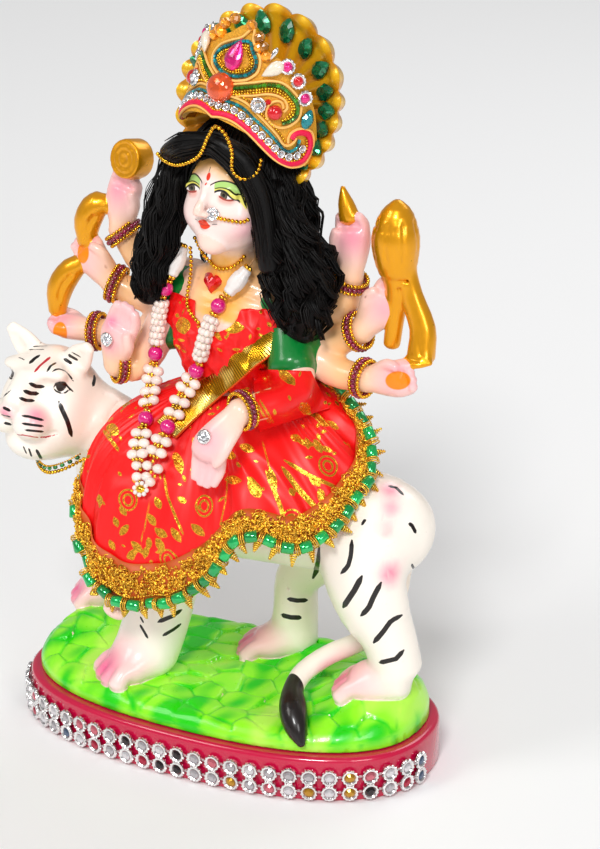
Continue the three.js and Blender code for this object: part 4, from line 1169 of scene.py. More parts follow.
# Strokes seen in the picture: their places there, and their widths there
strokes = {
    "nose": [
        ([(29.3, 383.2), (36, 386.3), (44.2, 386.7)], 3.7),
        ([(23.5, 390.7), (31, 393.4), (38.5, 393.6)], 3.9),
        ([(18.9, 397.6), (26, 400.3), (34.4, 400.8)], 3.2)
    ],
    "forehead": [
        ([(29.6, 363.4), (34.5, 358.6), (39.6, 355.1)], 4), ([(47, 371.8), (50.5, 366), (56, 362.6)], 2.5)
    ],
    "temple": [
        ([(64, 358.6), (71.8, 363.7)], 3.2), ([(68.3, 354.9), (78, 360.3)], 3.4),
        ([(71.8, 352.2), (80.9, 357.2)], 1.6)
    ],
    "underEar": [
        ([(28.7, 349.6), (45.4, 349.4)], 1.4), ([(32.7, 346.5), (48.8, 345.7)], 1.4),
        ([(39, 343), (48.2, 341.3)], 1.4)
    ],
    "brow": [([(52.2, 372.1), (55.1, 369.5), (59.7, 368.9), (65.4, 371.2), (70, 375.8), (73.5, 381.5)], 2.2)],
    "cheek": [([(58.8, 401.6), (62.6, 410.8), (67.7, 421.7), (71.8, 436.6)], 4.4)],
    "whiskers": [
        ([(21.8, 415.7), (28.7, 416.5), (43.6, 420.3)], 2.6),
        ([(21.8, 423.4), (29.9, 424.6), (43.6, 426.3)], 2.4), ([(24.7, 430), (43.6, 431.8)], 2.4)
    ],
    "farWhiskers": [
        ([(2.9, 407.3), (10.3, 410.8)], 3), ([(1.7, 414.8), (10.3, 417)], 3),
        ([(4, 422.8), (11.5, 424.6)], 3)
    ],
    "chin": [
        ([(23, 445.8), (26.6, 453.8)], 1.6), ([(28.7, 448.1), (31.6, 456.7)], 1.9),
        ([(36.2, 449.3), (41.3, 459)], 3)
    ],
    "farFace": [([(18.4, 357.4), (21.8, 358.4), (24.7, 360.3)], 1.2), ([(3.4, 396.4), (10.9, 390.1)], 2)],
    "flank": [
        ([(319.3, 545), (318.5, 558), (316.9, 569.6), (312.9, 578.3)], 6),
        ([(352, 540), (351, 555), (348, 566.4), (340.8, 573.6)], 4.4)
    ],
    "thigh": [
        ([(362, 576), (354.4, 590.3), (342.9, 607.5)], 5.5),
        ([(381.2, 582.3), (373.5, 596.7), (368.8, 607.8), (360.8, 616.1)], 5)
    ],
    "shank": [
        ([(402.2, 615), (391.1, 620.6), (383.1, 631.8), (373.5, 642.9)], 5),
        ([(403.8, 650.1), (395.9, 658.9), (379.1, 662.9)], 5)
    ],
    "farHind": [
        ([(287.4, 598.8), (297, 600.6), (307.4, 600.2)], 4.6),
        ([(281, 615), (291, 617.4), (301.8, 617.7)], 5)
    ],
    "rump": [
        ([(388.5, 486), (396, 487.5), (403.5, 495)], 3.6), ([(408.6, 523), (412, 525.5), (416, 533)], 3.6),
        ([(411.5, 564), (414.5, 570)], 2.6), ([(365.6, 519), (361.5, 525)], 3)
    ],
    "nearFore": [
        ([(157.9, 622), (172, 616.3), (182, 609.6)], 4.6),
        ([(162.6, 635.8), (173.3, 629.7), (181.3, 623.7)], 3.6), ([(140.1, 616.6), (143.8, 623)], 2),
        ([(139.8, 624.4), (143.8, 631.1), (147.9, 638.4)], 2.6)
    ],
}
redStrokes = {
    "mouth": [([(12.4, 434.3), (23, 434.9), (36.7, 437.2), (45.9, 437.2), (57.4, 434.3)], 1.8)],
    "mark": [([(34.4, 372.1), (39.6, 366), (50.5, 356.8)], 3.4)],
    "neckCord": [([(61, 471), (62, 476), (65, 481)], 2.6)],
}
tigerEye = {
    "upper": [(53.4, 387.8), (56.3, 383.2), (60.8, 381.7), (64.9, 382.7), (67.7, 386.7), (74, 392.4)],
    "lower": [(53.4, 387.8), (56.3, 391.3), (60.8, 393.2), (65.4, 392.8), (69.5, 389)],
    "iris": (60.5, 386.3),
    "irisSize": 4.4,
}

# Soft spots of colour: place in the picture, radius there, colour, strength
blushes = [
    ((36.7, 416), 11, "deepPink", 0.75),
    ((5, 414), 8, "deepPink", 0.8),
    ((390, 490), 10, "deepPink", 0.75),
    ((390, 574), 11, "deepPink", 0.85),
    ((386, 530), 8, "blush", 0.6),
    ((391, 508), 9, "deepPink", 0.6),
    ((117, 190), 12, "deepPink", 0.5),
    ((87, 236), 10, "deepPink", 0.5),
    ((60, 320), 14, "deepPink", 0.5),
    ((111, 322), 7, "deepPink", 0.8),
    ((108, 345), 8, "deepPink", 0.5),
    ((353, 238), 15, "deepPink", 0.6),
    ((385, 310), 12, "deepPink", 0.35),
    ((395, 372), 12, "deepPink", 0.4),
    ((206, 437), 16, "palm", 0.6),
]


def polylineDistance(points, line):
    best = np.full(len(points), far)
    share = np.zeros(len(points))
    steps = np.linalg.norm(np.diff(line, axis=0), axis=1)
    travelled = np.concatenate([[0], np.cumsum(steps)])
    for k in range(len(line) - 1):
        run = line[k + 1] - line[k]
        t = np.clip(((points - line[k]) @ run) / max(run @ run, 1e-9), 0, 1)
        away = np.linalg.norm(points - line[k] - t[:, None] * run, axis=1)
        closer = away < best
        best = np.where(closer, away, best)
        share = np.where(closer, (travelled[k] + t * steps[k]) / travelled[-1], share)
    return best, share


class Skin:
    # A surface, for finding what lies under a place in the picture
    def __init__(self, points, faces):
        self.tree = BVHTree.FromPolygons([Vector(p) for p in points], faces.tolist())

    def seat(self, pixel, off=0.0):
        # A place standing off the surface under a place in the picture, and its outward way
        place, normal, _, _ = self.tree.ray_cast(Vector(eyePoint), Vector(sightLine(pixel)))
        normal = np.array(normal)
        normal = normal if normal @ viewAhead < 0 else -normal
        return np.array(place) + normal * off, normal

    def lift(self, points, outward, gap, most=9.0):
        # How far points that lie inside this surface have to move outward to clear it
        raised = np.zeros(len(points))
        for k, (point, way) in enumerate(zip(points, outward)):
            place, normal, _, reach = self.tree.ray_cast(Vector(point), Vector(way), most)
            if place is not None and normal.dot(Vector(way)) > 0:
                raised[k] = reach + gap
        return raised

    def under(self, pixel):
        hit = self.tree.ray_cast(Vector(eyePoint), Vector(sightLine(pixel)))
        return None if hit[0] is None else np.array(hit[0])

    def lineUnder(self, pixels, count=9):
        pixels = np.array(pixels, float)
        shares = np.linspace(0, len(pixels) - 1, count)
        dense = np.stack([np.interp(shares, np.arange(len(pixels)), pixels[:, i]) for i in range(2)], -1)
        found = [self.under(p) for p in dense]
        return [p for p in found if p is not None]


def strokeField(points, skin, named):
    # How far each point is outside the nearest stroke: the strokes are full in the middle and taper off
    value = np.full(len(points), 3.0)
    for group in named.values():
        for pixels, width in group:
            line = skin.lineUnder(pixels)
            if len(line) < 3:
                continue
            value = strokeAlong(points, np.array(line), width * pixelSize / 2, value)
    return value


def strokeAlong(points, line, half, value):
    near = np.all((points > line.min(0) - 4) & (points < line.max(0) + 4), axis=1)
    away, share = polylineDistance(points[near], line)
    taper = np.clip(np.minimum(share, 1 - share) * 5 + 0.35, 0, 1)
    value[near] = np.minimum(value[near], away - half * taper)
    return value


hiddenStrokes = {
    # On the sides that the picture doesn't show: turn round the limb in degrees and places along it
    "body": {"from": -50, "to": 74, "step": 13, "turns": (95, 150), "width": 1.9},
    "legs": {"heights": (82, 70, 58, 47), "width": 1.7},
}


def hiddenStrokeField(points, skin, value):
    # The far flank, the far legs and the back of the head, in the same hand and plainer
    rng = np.random.default_rng(11)
    spec = hiddenStrokes["body"]
    for x in np.arange(spec["from"], spec["to"], spec["step"]):
        for rise in (0, 1):
            start = np.array((x + rng.uniform(-2, 2), 60, 106 - 17 * rise))
            line = []
            for k in range(6):
                origin = start + (k * 0.9 * (1 - 2 * rise), 0, -k * 2.4)
                hit = skin.tree.ray_cast(Vector(origin), Vector((0, -1, 0)))
                if hit[0] is not None and hit[0][1] > 4:
                    line.append(np.array(hit[0]))
            if len(line) > 3:
                value = strokeAlong(points, np.array(line), rng.uniform(0.8, 1) * spec["width"] / 2, value)
    for rings in tigerLegs.values():
        for height in hiddenStrokes["legs"]["heights"]:
            spine = np.array([r[:3] for r in rings], float)[::-1]
            centre = np.array([np.interp(height, spine[:, 2], spine[:, i]) for i in range(2)])
            line = []
            for turn in np.radians(np.linspace(55, 118, 6)):
                out = np.array((math.cos(turn), math.sin(turn), 0))
                origin = np.array((*centre, height)) + out * 24 + (0, 0, 3 * math.cos(2 * turn))
                hit = skin.tree.ray_cast(Vector(origin), Vector(-out), 24)
                if hit[0] is not None:
                    line.append(np.array(hit[0]))
            if len(line) > 3:
                value = strokeAlong(points, np.array(line), hiddenStrokes["legs"]["width"] / 2, value)
    for side in (-1, 1):
        for rise in (4, 10, 15):
            outer = [headSpot("tiger", side * 24, -4 - k * 1.6, rise + k * 0.8) for k in range(6)]
            inner = np.array(headSpot("tiger", 0, -4, rise))
            hits = [skin.tree.ray_cast(Vector(p), Vector(unit(inner - np.array(p)))) for p in outer]
            line = [np.array(h[0]) for h in hits if h[0] is not None]
            if len(line) > 3:
                value = strokeAlong(points, np.array(line), 0.8, value)
    return value


def softSpot(points, centre, radius):
    return np.exp(-(np.linalg.norm(points - centre, axis=1) / radius) ** 2)


def mixed(colours, share, colour):
    share = np.clip(share, 0, 1)[:, None]
    return colours * (1 - share) + np.array(colour) * share


def paintCast(points, skin):
    # Colours and edges at each point of the cast
    rng = np.random.default_rng(3)
    height, crease = moundHeight(points[:, 0], points[:, 1])
    tiger = np.min([shape.at(points) for shape, _ in tigerShapes()], axis=0)
    ground = np.maximum(points[:, 2] - height - 1.0, 0.45 - tiger)
    goddess = np.min([shape.at(points) for shape, _ in goddessShapes()], axis=0)
    sleeves = np.min([shape.at(points) for shape in sleeveShapes()], axis=0)
    held = heldShapes()
    gilt = np.min([shape.at(points) for shape in held.values()], axis=0)
    isTiger = tiger < goddess
    colours = np.tile(np.array(palette["skin"]), (len(points), 1))
    colours[isTiger] = palette["cream"]
    warm = np.clip((points[:, 1] - 5) / 40, 0, 0.35)
    colours = np.where(isTiger[:, None], mixed(colours, warm * 0.4, palette["peach"]), colours)
    for heel, toes, *_ in paws.values():
        heel, toes = np.array(heel, float), np.array(toes, float)
        middle = heel * 0.35 + toes * 0.65
        away = np.linalg.norm((points - middle) * (1, 1, 1.1), axis=1)
        reach = np.linalg.norm(points - toes - (0, 0, 2), axis=1)
        for share, colour in ((1.15 - away / 16, "blush"), (1.1 - reach / 9, "deepPink")):
            colours = np.where(isTiger[:, None], mixed(colours, share, palette[colour]), colours)
    face = inHead("goddess", points)
    inFace = np.linalg.norm(face * (1, 1, 0.85), axis=1) < 21
    colours = np.where((inFace & ~isTiger)[:, None], np.array(palette["faceSkin"]), colours)
    throat = np.clip((205 - points[:, 2]) / 6, 0, 1) * (points[:, 2] > 176) * ~isTiger
    throat = throat * np.clip(1 - np.abs(points[:, 0] - 2) / 24, 0, 1)
    colours = mixed(colours, throat * 1.2, palette["yellowSkin"])
    hairline = np.clip((face[:, 2] - 9 + 0.06 * face[:, 0] ** 2) / 5, 0, 1) * inFace
    colours = mixed(colours, hairline * 0.9, palette["yellowSkin"])
    cheeks = [softSpot(face, np.array((side * 11.5, 11, -8.5)), 4.5) for side in (-1, 1)]
    colours = mixed(colours, (cheeks[0] + cheeks[1]) * 0.55, palette["deepPink"])
    sleeveless = ~isTiger & (goddess < 3)
    for joints in arms.values():
        _, elbow, wrist, palm, tips = np.array(joints, float)
        elbowGlow = softSpot(points, elbow * 0.45 + wrist * 0.55, 11) * sleeveless
        colours = mixed(colours, elbowGlow * 0.75, palette["yellowSkin"])
        hand = np.clip(1.5 - polylineDistance(points, np.array([palm, tips]))[0] / 7, 0, 1) * sleeveless
        colours = mixed(colours, hand * 0.55, palette["palm"])
    for pixel, radius, colour, strength in blushes:
        centre = skin.under(pixel)
        if centre is not None:
            colours = mixed(colours, softSpot(points, centre, radius * pixelSize) * strength, palette[colour])
    grassWithCreaseShade = np.tile(np.array(palette["lime"]), (len(points), 1))
    patches = patchNoise(points, 14, rng)
    # Darker green in the creases between the leaves is painted shade; the darker and paler green patches are
    # random tone
    grassWithCreaseShade = mixed(grassWithCreaseShade, crease * 0.75 + np.clip(patches - 0.52, 0, 1) * 2.4, palette["leafGreen"])
    grassWithCreaseShade = mixed(grassWithCreaseShade, np.clip(0.36 - patches, 0, 1) * 2.0, palette["paleLime"])
    black = strokeField(points, skin, strokes)
    black = hiddenStrokeField(points, skin, black)
    tuft = polylineDistance(points, np.array([r[:3] for r in tailRings[7:]], float))[0] - 6.2
    tuft = np.maximum(tuft, points[:, 1] - tuftStart + 0.25 * (points[:, 0] - 42))
    black = np.minimum(black, np.where(isTiger, tuft, 3))
    red = strokeField(points, skin, redStrokes)
    orange = np.full(len(points), 3.0)
    for pixel, radius in orangeSpots:
        centre = skin.under(pixel)
        if centre is not None:
            away = points - centre
            across, rise = away @ viewRight, away @ viewUp
            spot = np.hypot(across / radius[0], rise / radius[1]) / pixelSize
            behind = (np.linalg.norm(away, axis=1) > 9) * 3
            orange = np.minimum(orange, (spot - 1) * min(radius) * pixelSize + behind)
    return {
        "paint": colours,
        "grassWithCreaseShade": grassWithCreaseShade,
        "ground": np.clip(ground, -3, 3),
        "stroke": np.clip(black, -3, 3),
        "redStroke": np.clip(red, -3, 3),
        "orangeSpot": np.clip(orange, -3, 3),
        "gilt": np.where(gilt < 2, np.clip(gilt - np.minimum(goddess, sleeves), -3, 3), 3),
        "sleeve": np.where(sleeves < 2, np.clip(sleeves - goddess - 0.2, -3, 3), 3),
        "faceSide": np.where(inFace, face[:, 0], 90),
        "faceRise": np.where(inFace, face[:, 2], 90),
        "faceAhead": np.where(inFace, face[:, 1], -90),
        **eyeLines(points, skin),
    }


# Orange spots: place in the picture, half sizes there
orangeSpots = [((83, 253), (6, 10)), ((60, 333), (7, 11)), ((398, 380.5), (11.5, 8.5))]


def patchNoise(points, size, rng):
    # Slow random patches over the mound, between 0 and 1
    waves = rng.normal(0, 1, (9, 3)) / size * 2.2
    phases = rng.uniform(0, 2 * math.pi, 9)
    total = sum(np.sin(points @ wave + phase) for wave, phase in zip(waves, phases))
    return 0.5 + total / 6


def eyeLines(points, skin):
    # Both of the tiger's eyes, as edges of their lines and irises: the far one mirrors the near one
    lines = np.full(len(points), 3.0)
    iris = np.full(len(points), 3.0)
    place = inHead("tiger", points)
    mirrored = place * (-1, 1, 1)
    for title, width in (("upper", 2.1), ("lower", 1.7)):
        line = inHead("tiger", np.array(skin.lineUnder(tigerEye[title], 12)))
        for where in (place, mirrored):
            lines = strokeAlong(where, line, width * pixelSize / 2, lines)
    centre = skin.under(tigerEye["iris"])
    if centre is not None:
        centre = inHead("tiger", centre[None])[0]
        for where in (place, mirrored):
            away = np.linalg.norm((where - centre) * (1, 0.6, 0.85), axis=1)
            iris = np.minimum(iris, away - tigerEye["irisSize"] * pixelSize)
    return {"eyeLine": np.clip(lines, -3, 3), "eyeIris": np.clip(iris, -3, 3)}


faceMarks = {
    # Curves in the face's own side and rise, in millimetres: peak, where it peaks, how fast it falls
    "brow": (8.7, 6.6, 0.085),
    "crease": (6.25, 6.4, 0.075),
    "upperLid": (5.3, 6.3, 0.12),
    "lowerLid": (2.05, 9.0, -0.07),
}


def castPaint():
    made, tree, shader = finish("castPaint", None, 0.32, coat=0.3, coatRough=0.07, Specular_IOR_Level=0.4)
    colour = attribute(tree, "paint").outputs["Color"]
    side, rise = number(tree, "faceSide"), number(tree, "faceRise")
    across = side.size()

    def curve(name):
        peak, at, fall = faceMarks[name]
        return peak - (across - at) * (across - at) * fall

    def spanning(first, last, soft=0.3):
        return (first - across).within(0, soft) * (across - last).within(0, soft)

    def lying(low, high, first, last, soft=0.3):
        return low.within(0, soft) * high.within(0, soft) * spanning(first, last, soft)

    def line(away, half, soft):
        return away.size().within(half, soft)

    def oval(centre, half, soft):
        x, y = (side - centre[0]) / half[0], (rise - centre[1]) / half[1]
        return (x * x + y * y).maths("SQRT").within(1, soft)

    brow, crease, upper, lower = (curve(name) for name in ("brow", "crease", "upperLid", "lowerLid"))
    shadow = lying(upper - rise, rise - brow, 3.4, 14)
    shade = blend(tree, (rise - crease).within(0, 0.8), palette["shadowGreen"], palette["shadowYellow"])
    colour = blend(tree, shadow, colour, shade)
    white = lying(lower - rise, rise - upper, 3.5, 11.3, 0.15)
    colour = blend(tree, white, colour, rgb("fff4ee"))
    irisX, irisY = across - 7.5, rise - 3.75
    irisAway = (irisX * irisX + irisY * irisY).maths("SQRT")
    colour = blend(tree, irisAway.within(1.55, 0.12) * white, colour, palette["iris"])
    colour = blend(tree, irisAway.within(0.7, 0.12) * white, colour, palette["black"])
    colour = blend(tree, line(irisAway - 1.5, 0.13, 0.1) * white, colour, palette["black"])
    under = line(rise - lower, 0.42, 0.35) * spanning(5.2, 11)
    colour = blend(tree, under, colour, rgb("8e1414"))
    glow = line(rise - lower + 0.9, 1.0, 1.4) * spanning(5, 10.5, 1.5)
    colour = blend(tree, glow * 0.45, colour, rgb("f06a4a"))
    ink = spanning(1.8, 14.6) * line(rise - brow, 0.27, 0.12)
    ink = ink.most(spanning(3.6, 13.4) * line(rise - crease, 0.2, 0.12))
    ink = ink.most(spanning(3.4, 12.2) * line(rise - upper, 0.42, 0.14))
    smile = line(rise + 8.1 - (across - 2.6) * 0.25, 0.16, 0.12)
    ink = ink.most(smile * spanning(2.9, 5.2) * 0.8)
    front = number(tree, "faceAhead").maths("GREATER_THAN", 5)
    colour = blend(tree, ink * front, colour, palette["black"])
    colour = blend(tree, oval((-0.5, -8.4), (2.6, 1.8), 0.1) * front, colour, palette["lip"])
    parting = line(rise + 8.7, 0.14, 0.12) * line(side + 0.5, 2.6, 0.5)
    colour = blend(tree, parting * front * 0.6, colour, rgb("a01408"))
    for middle, half in (((0.2, 9.5), (0.85, 1.4)), ((0.2, 7.1), (0.3, 0.42))):
        colour = blend(tree, oval(middle, half, 0.15) * front, colour, rgb("e8300c"))
    stem = line(side + 0.1, 0.12, 0.1) * line(rise - 11.8, 0.9, 0.2)
    colour = blend(tree, stem * front, colour, palette["black"])
    for field, soft, tone in (
        ("orangeSpot", 0.3, palette["orange"]),
        ("redStroke", 0.12, palette["red"]),
        ("eyeIris", 0.12, rgb("2a1a12")),
        ("eyeLine", 0.12, palette["black"]),
        ("stroke", 0.12, palette["black"]),
    ):
        colour = blend(tree, number(tree, field).within(0, soft), colour, tone)
    ground = number(tree, "ground").within(0, 0.4)
    # The mound's green, with painted shade in its creases
    grassWithCreaseShade = attribute(tree, "grassWithCreaseShade").outputs["Color"]
    colour = blend(tree, ground, colour, grassWithCreaseShade)
    colour = blend(tree, number(tree, "stroke").within(0, 0.12) * (ground * -1 + 1), colour, palette["black"])
    sleeve = number(tree, "sleeve").within(0, 0.15)
    colour = blend(tree, sleeve, colour, palette["sleeve"])
    gilt = number(tree, "gilt").within(0, 0.15)
    colour = blend(tree, gilt, colour, palette["gold"])
    laid = useGroup(tree, brushwork, Colour=colour, Size=7.0, Depth=0.06, Swell=0.12)
    plug(tree, shader["Base Color"], laid["Colour"])
    plug(tree, shader["Normal"], laid["Normal"])
    plug(tree, shader["Metallic"], gilt * 0.6)
    plug(tree, shader["Roughness"], Wire(tree, laid["Rough"]) + 0.3)
    return made


def splitFaces(points, faces, wanted):
    # Splits the wanted edges in the middle, together with the faces on both sides of each
    edges = np.sort(np.concatenate([faces[:, [0, 1]], faces[:, [1, 2]], faces[:, [2, 0]]]), axis=1)
    edges, index = np.unique(edges, axis=0, return_inverse=True)
    split = wanted(edges)
    middle = np.full(len(edges), -1)
    middle[split] = len(points) + np.arange(split.sum())
    mids = middle[index.reshape(3, -1)].T
    count = (mids >= 0).sum(1)
    made = [faces[count == 0]]
    full, halves = faces[count == 3], mids[count == 3]
    for k in range(3):
        made.append(np.stack([full[:, k], halves[:, k], halves[:, k - 1]], -1))
    made.append(halves)
    for k in range(3):
        a, b, c = (np.roll(faces, -k, axis=1)[:, i] for i in range(3))
        ab, bc, ca = (np.roll(mids, -k, axis=1)[:, i] for i in range(3))
        one = (count == 1) & (ab >= 0)
        made += [np.stack(corners, -1)[one] for corners in ((a, ab, c), (ab, b, c))]
        two = (count == 2) & (ca < 0)
        made += [np.stack(corners, -1)[two] for corners in ((ab, b, bc), (a, ab, bc), (a, bc, c))]
    return points[edges[split]].mean(1), np.concatenate(made)


def paintedFinely(points, faces, skin):
    # Paints the cast, with smaller faces where an edge of colour runs
    values = paintCast(points, skin)
    edgesOf = ("stroke", "redStroke", "eyeLine", "eyeIris", "sleeve", "gilt", "ground", "orangeSpot")
    for _ in range(cast["splits"]):

        def nearEdge(edges):
            length = np.linalg.norm(points[edges[:, 0]] - points[edges[:, 1]], axis=1)
            reach = np.min([np.abs(values[title][edges]).sum(1) for title in edgesOf], axis=0)
            return (reach < length) & (length > cast["finest"])

        extra, faces = splitFaces(points, faces, nearEdge)
        points = np.concatenate([points, extra])
        more = paintCast(extra, skin)
        values = {title: np.concatenate([values[title], more[title]]) for title in values}
    return points, faces, values


def makeCast():
    points, faces = castSkin()
    skin = Skin(points, faces)
    points, faces, values = paintedFinely(points, faces, skin)
    mesh = makeMesh("goddessAndTiger", points, faces, [castPaint()], values=values)
    addPiece("goddess_and_tiger", mesh, "cast_paint", "painted_cast")
    return skin


# Plinth

def oblongRing(inset, height, count=168):
    turn = roundTurns(count)
    power = 2 / plinth["squareness"]
    x = (plinth["length"] / 2 - inset) * np.sign(np.cos(turn)) * np.abs(np.cos(turn)) ** power
    y = (plinth["width"] / 2 - inset) * np.sign(np.sin(turn)) * np.abs(np.sin(turn)) ** power
    return np.column_stack([x, y, np.full(count, height)])


def makePlinth():
    top, edge = plinth["height"], plinth["edge"]
    profile = [(30, 0), (0.7, 0), (0.2, 0.3), (0, 0.8), (0, top - edge)]
    bend = np.radians([25, 50, 70, 90])
    profile += [(edge * (1 - math.cos(a)), top - edge * (1 - math.sin(a))) for a in bend]
    profile += [(plinth["rim"] + 4, top), (34, top)]
    rows = [oblongRing(inset, height) for inset, height in profile]
    heap = Heap()
    heap.add(closedRings(rows, (0, 0, 0), (0, 0, top)))
    gloss = brushed(
        "crimsonGloss", rgb("c4003c"), 0.22, size=5, depth=0.16, swell=0.12, coat=0.6, coatRough=0.06
    )
    addPiece("crimson_plinth", heap.mesh("crimsonPlinth", [gloss]), "plinth_paint", "plinth", creaseAngle=50)


# Band of stones

band = {
    "from": 0.47,
    "to": 0.99,
    "pitch": 7.6,
    "low": 1.12,
    "stone": 6.4,
    "cup": 3.35,
    "table": 1.85,
    "scallops": 14,
    "proud": 0.6,
}


def cupTemplate():
    count = band["scallops"] * 2
    turn = roundTurns(count)
    frill = 1 + 0.05 * np.cos(band["scallops"] * turn)
    rows = []
    profile = [
        (0.8, 0, 0), (1.0, 0.25, 1), (0.99, 0.95, 1), (0.9, 1.45, 1), (0.72, 1.5, 0.4), (0.58, 1.05, 0)
    ]
    for radius, height, share in profile:
        size = radius * band["cup"] * (1 + (frill - 1) * share)
        lift = height + 0.12 * share * np.cos(band["scallops"] * turn)
        rows.append(np.column_stack([size * np.cos(turn), size * np.sin(turn), lift]))
    return np.concatenate(rows), gridFaces(len(rows), count)


def gemTemplate(radius, height, sides=8):
    girdle, table = 0.35, 0.55
    profile = [(0, 0), (radius, 0), (radius, height * girdle), (radius * table, height), (0, height)]
    return flatShaded(lathe(profile, sides))


def flatShaded(shape):
    # Every facet with its own corners, so that it shades flat
    points, faces = shape
    return points[faces].reshape(-1, 3), np.arange(faces.size).reshape(-1, 3)


def stoneColours(name, ramp):
    made, tree, shader = finish(name, None, 0.06, 0.55, coat=0.6, coatRough=0.03)
    steps = addNode(tree, "ValToRGB")
    steps.color_ramp.interpolation = "CONSTANT"
    plug(tree, steps.inputs["Fac"], number(tree, "tint"))
    for k, (where, colour) in enumerate(ramp):
        stop = steps.color_ramp.elements[k] if k < 2 else steps.color_ramp.elements.new(where)
        stop.position, stop.color = where, rgb(colour)
    plug(tree, shader["Base Color"], steps.outputs["Color"])
    return made


def makeBand():
    outline = Curve(oblongRing(-0.35, 0, 32), closed=True)
    length = outline.length * (band["to"] - band["from"])
    count = round(length / band["pitch"])
    shares = band["from"] + (band["to"] - band["from"]) * evenShares(count)
    rng = np.random.default_rng(5)
    heap = Heap()
    silver = tinted("silverCup", rgb("f2f0f0"), 0.08, 0.5, 0.16, 1.0, 0.05)
    ramp = [
        (0, "b9b4b8"), (0.3, "dcd8dc"), (0.5, "2a1f22"), (0.62, "54647e"), (0.72, "b0203c"),
        (0.82, "d06a78"), (0.9, "c08a1c"), (0.95, "86a0b8")
    ]
    stones = stoneColours("mirrorStones", ramp)
    backing = brushed("bandThread", rgb("c8a8ac"), 0.5, size=12)
    gem = gemTemplate(band["table"], 0.9, 10)

    def onBand(shares, row, off):
        tangents = outline.evenTangent(shares)
        out = np.stack([tangents[:, 1], -tangents[:, 0], np.zeros(len(shares))], -1)
        places = outline.even(shares) + out * off
        places[:, 2] = band["low"] + row * band["stone"]
        return places, out

    for row in (0.5, 1.5):
        centres, out = onBand(shares, row, band["proud"])
        axes = axesFrom(out, (0, 0, 1))
        heap.scatter(rng, cupTemplate(), centres, 1.0, axes, 0)
        heap.scatter(rng, gem, centres + out * 0.8, 1.0, axes, 1)
        thread, _ = onBand(np.linspace(band["from"], band["to"], 160), row, 0.45)
        heap.add(tube(thread, 0.5, 5), 2)
    addPiece(
        "stone_ribbon", heap.mesh("stoneRibbon", [silver, stones, backing]), "band_stones", "stone_band",
        creaseAngle=40
    )


# Crown and tiara share a leaning frame above the head

crownTurn = turned(-18, 10, -9)
crownPlace = np.array((5.0, 2.0, 246.0))


def inCrown(local):
    return np.asarray(local, float) @ crownTurn.T + crownPlace


crown = {
    "radius": 35.2,
    "scallop": 0.035,
    "pleat": 1.1,
    "thickness": 4.5,
    "cup": 7,
    "centre": (0, 11, 13),
    "rim": 1.5,
    # degrees round the fan where the furrows run, and how far out their leaf stones sit
    "furrows": [
        -177, -160, -143, -126, -110, -95, -81, -66.5, -53.5, -36.5, -19, 2.5, 25, 46, 64.5, 77.5, 91.5,
        104.5, 118, 132, 147, 165, 183
    ],
    "leaves": {
        -81: 0.9, -66.5: 0.91, -53.5: 0.91, -36.5: 0.9, -19: 0.88, 2.5: 0.83, 25: 0.81, 46: 0.83,
        64.5: 0.85, 77.5: 0.88, 91.5: 0.89, 104.5: 0.91, 118: 0.9
    },
}


def fanRidge(turn):
    # 1 on the ridges between the furrows and -1 in the furrows
    degrees = (np.degrees(turn) + 177) % 360 - 177
    furrow = np.interp(degrees, crown["furrows"], np.arange(len(crown["furrows"])))
    return 2 * np.abs(np.sin(math.pi * furrow)) ** 0.8 - 1


def fanPoints(turn, share, back=False):
    cx, cy, cz = crown["centre"]
    ridge = fanRidge(turn)
    reach = crown["radius"] * share * (1 + crown["scallop"] * ridge * share**2)
    depth = crown["pleat"] * ridge * share * (0.4 if back else -1)
    if not back:
        rim = np.exp(-(((share - 0.94 + 0.015 * ridge) / 0.045) ** 2)) * (0.7 + 0.3 * ridge)
        fold = np.exp(-(((share - 0.84) / 0.05) ** 2)) * np.sin(9 * turn + 30 * share) * 0.35
        depth = depth - crown["rim"] * rim + fold
    y = cy - crown["cup"] * share**2 + depth
    if back:
        edge = np.clip((1 - share) / 0.04, 0, 1)
        y = y + crown["thickness"] * (0.25 + 0.75 * edge)
    return inCrown(np.stack([cx + reach * np.sin(turn), y, cz + reach * np.cos(turn)], -1))


def leafTemplate(long, wide, high):
    # A pointed, faceted leaf stone with its long axis along x
    turn = np.linspace(0, 2 * math.pi, 13)[:-1]
    x = np.cos(turn) * long / 2
    y = np.sin(turn) * wide / 2 * (1.05 - 0.45 * np.clip(np.cos(turn), 0, 1))
    rows = [
        np.column_stack([x * k, y * k, np.full(12, z)]) for k, z in ((1, 0), (1, 0.35 * high), (0.55, high))
    ]
    return flatShaded(closedRings(rows, (0, 0, 0), (0, 0, high)))


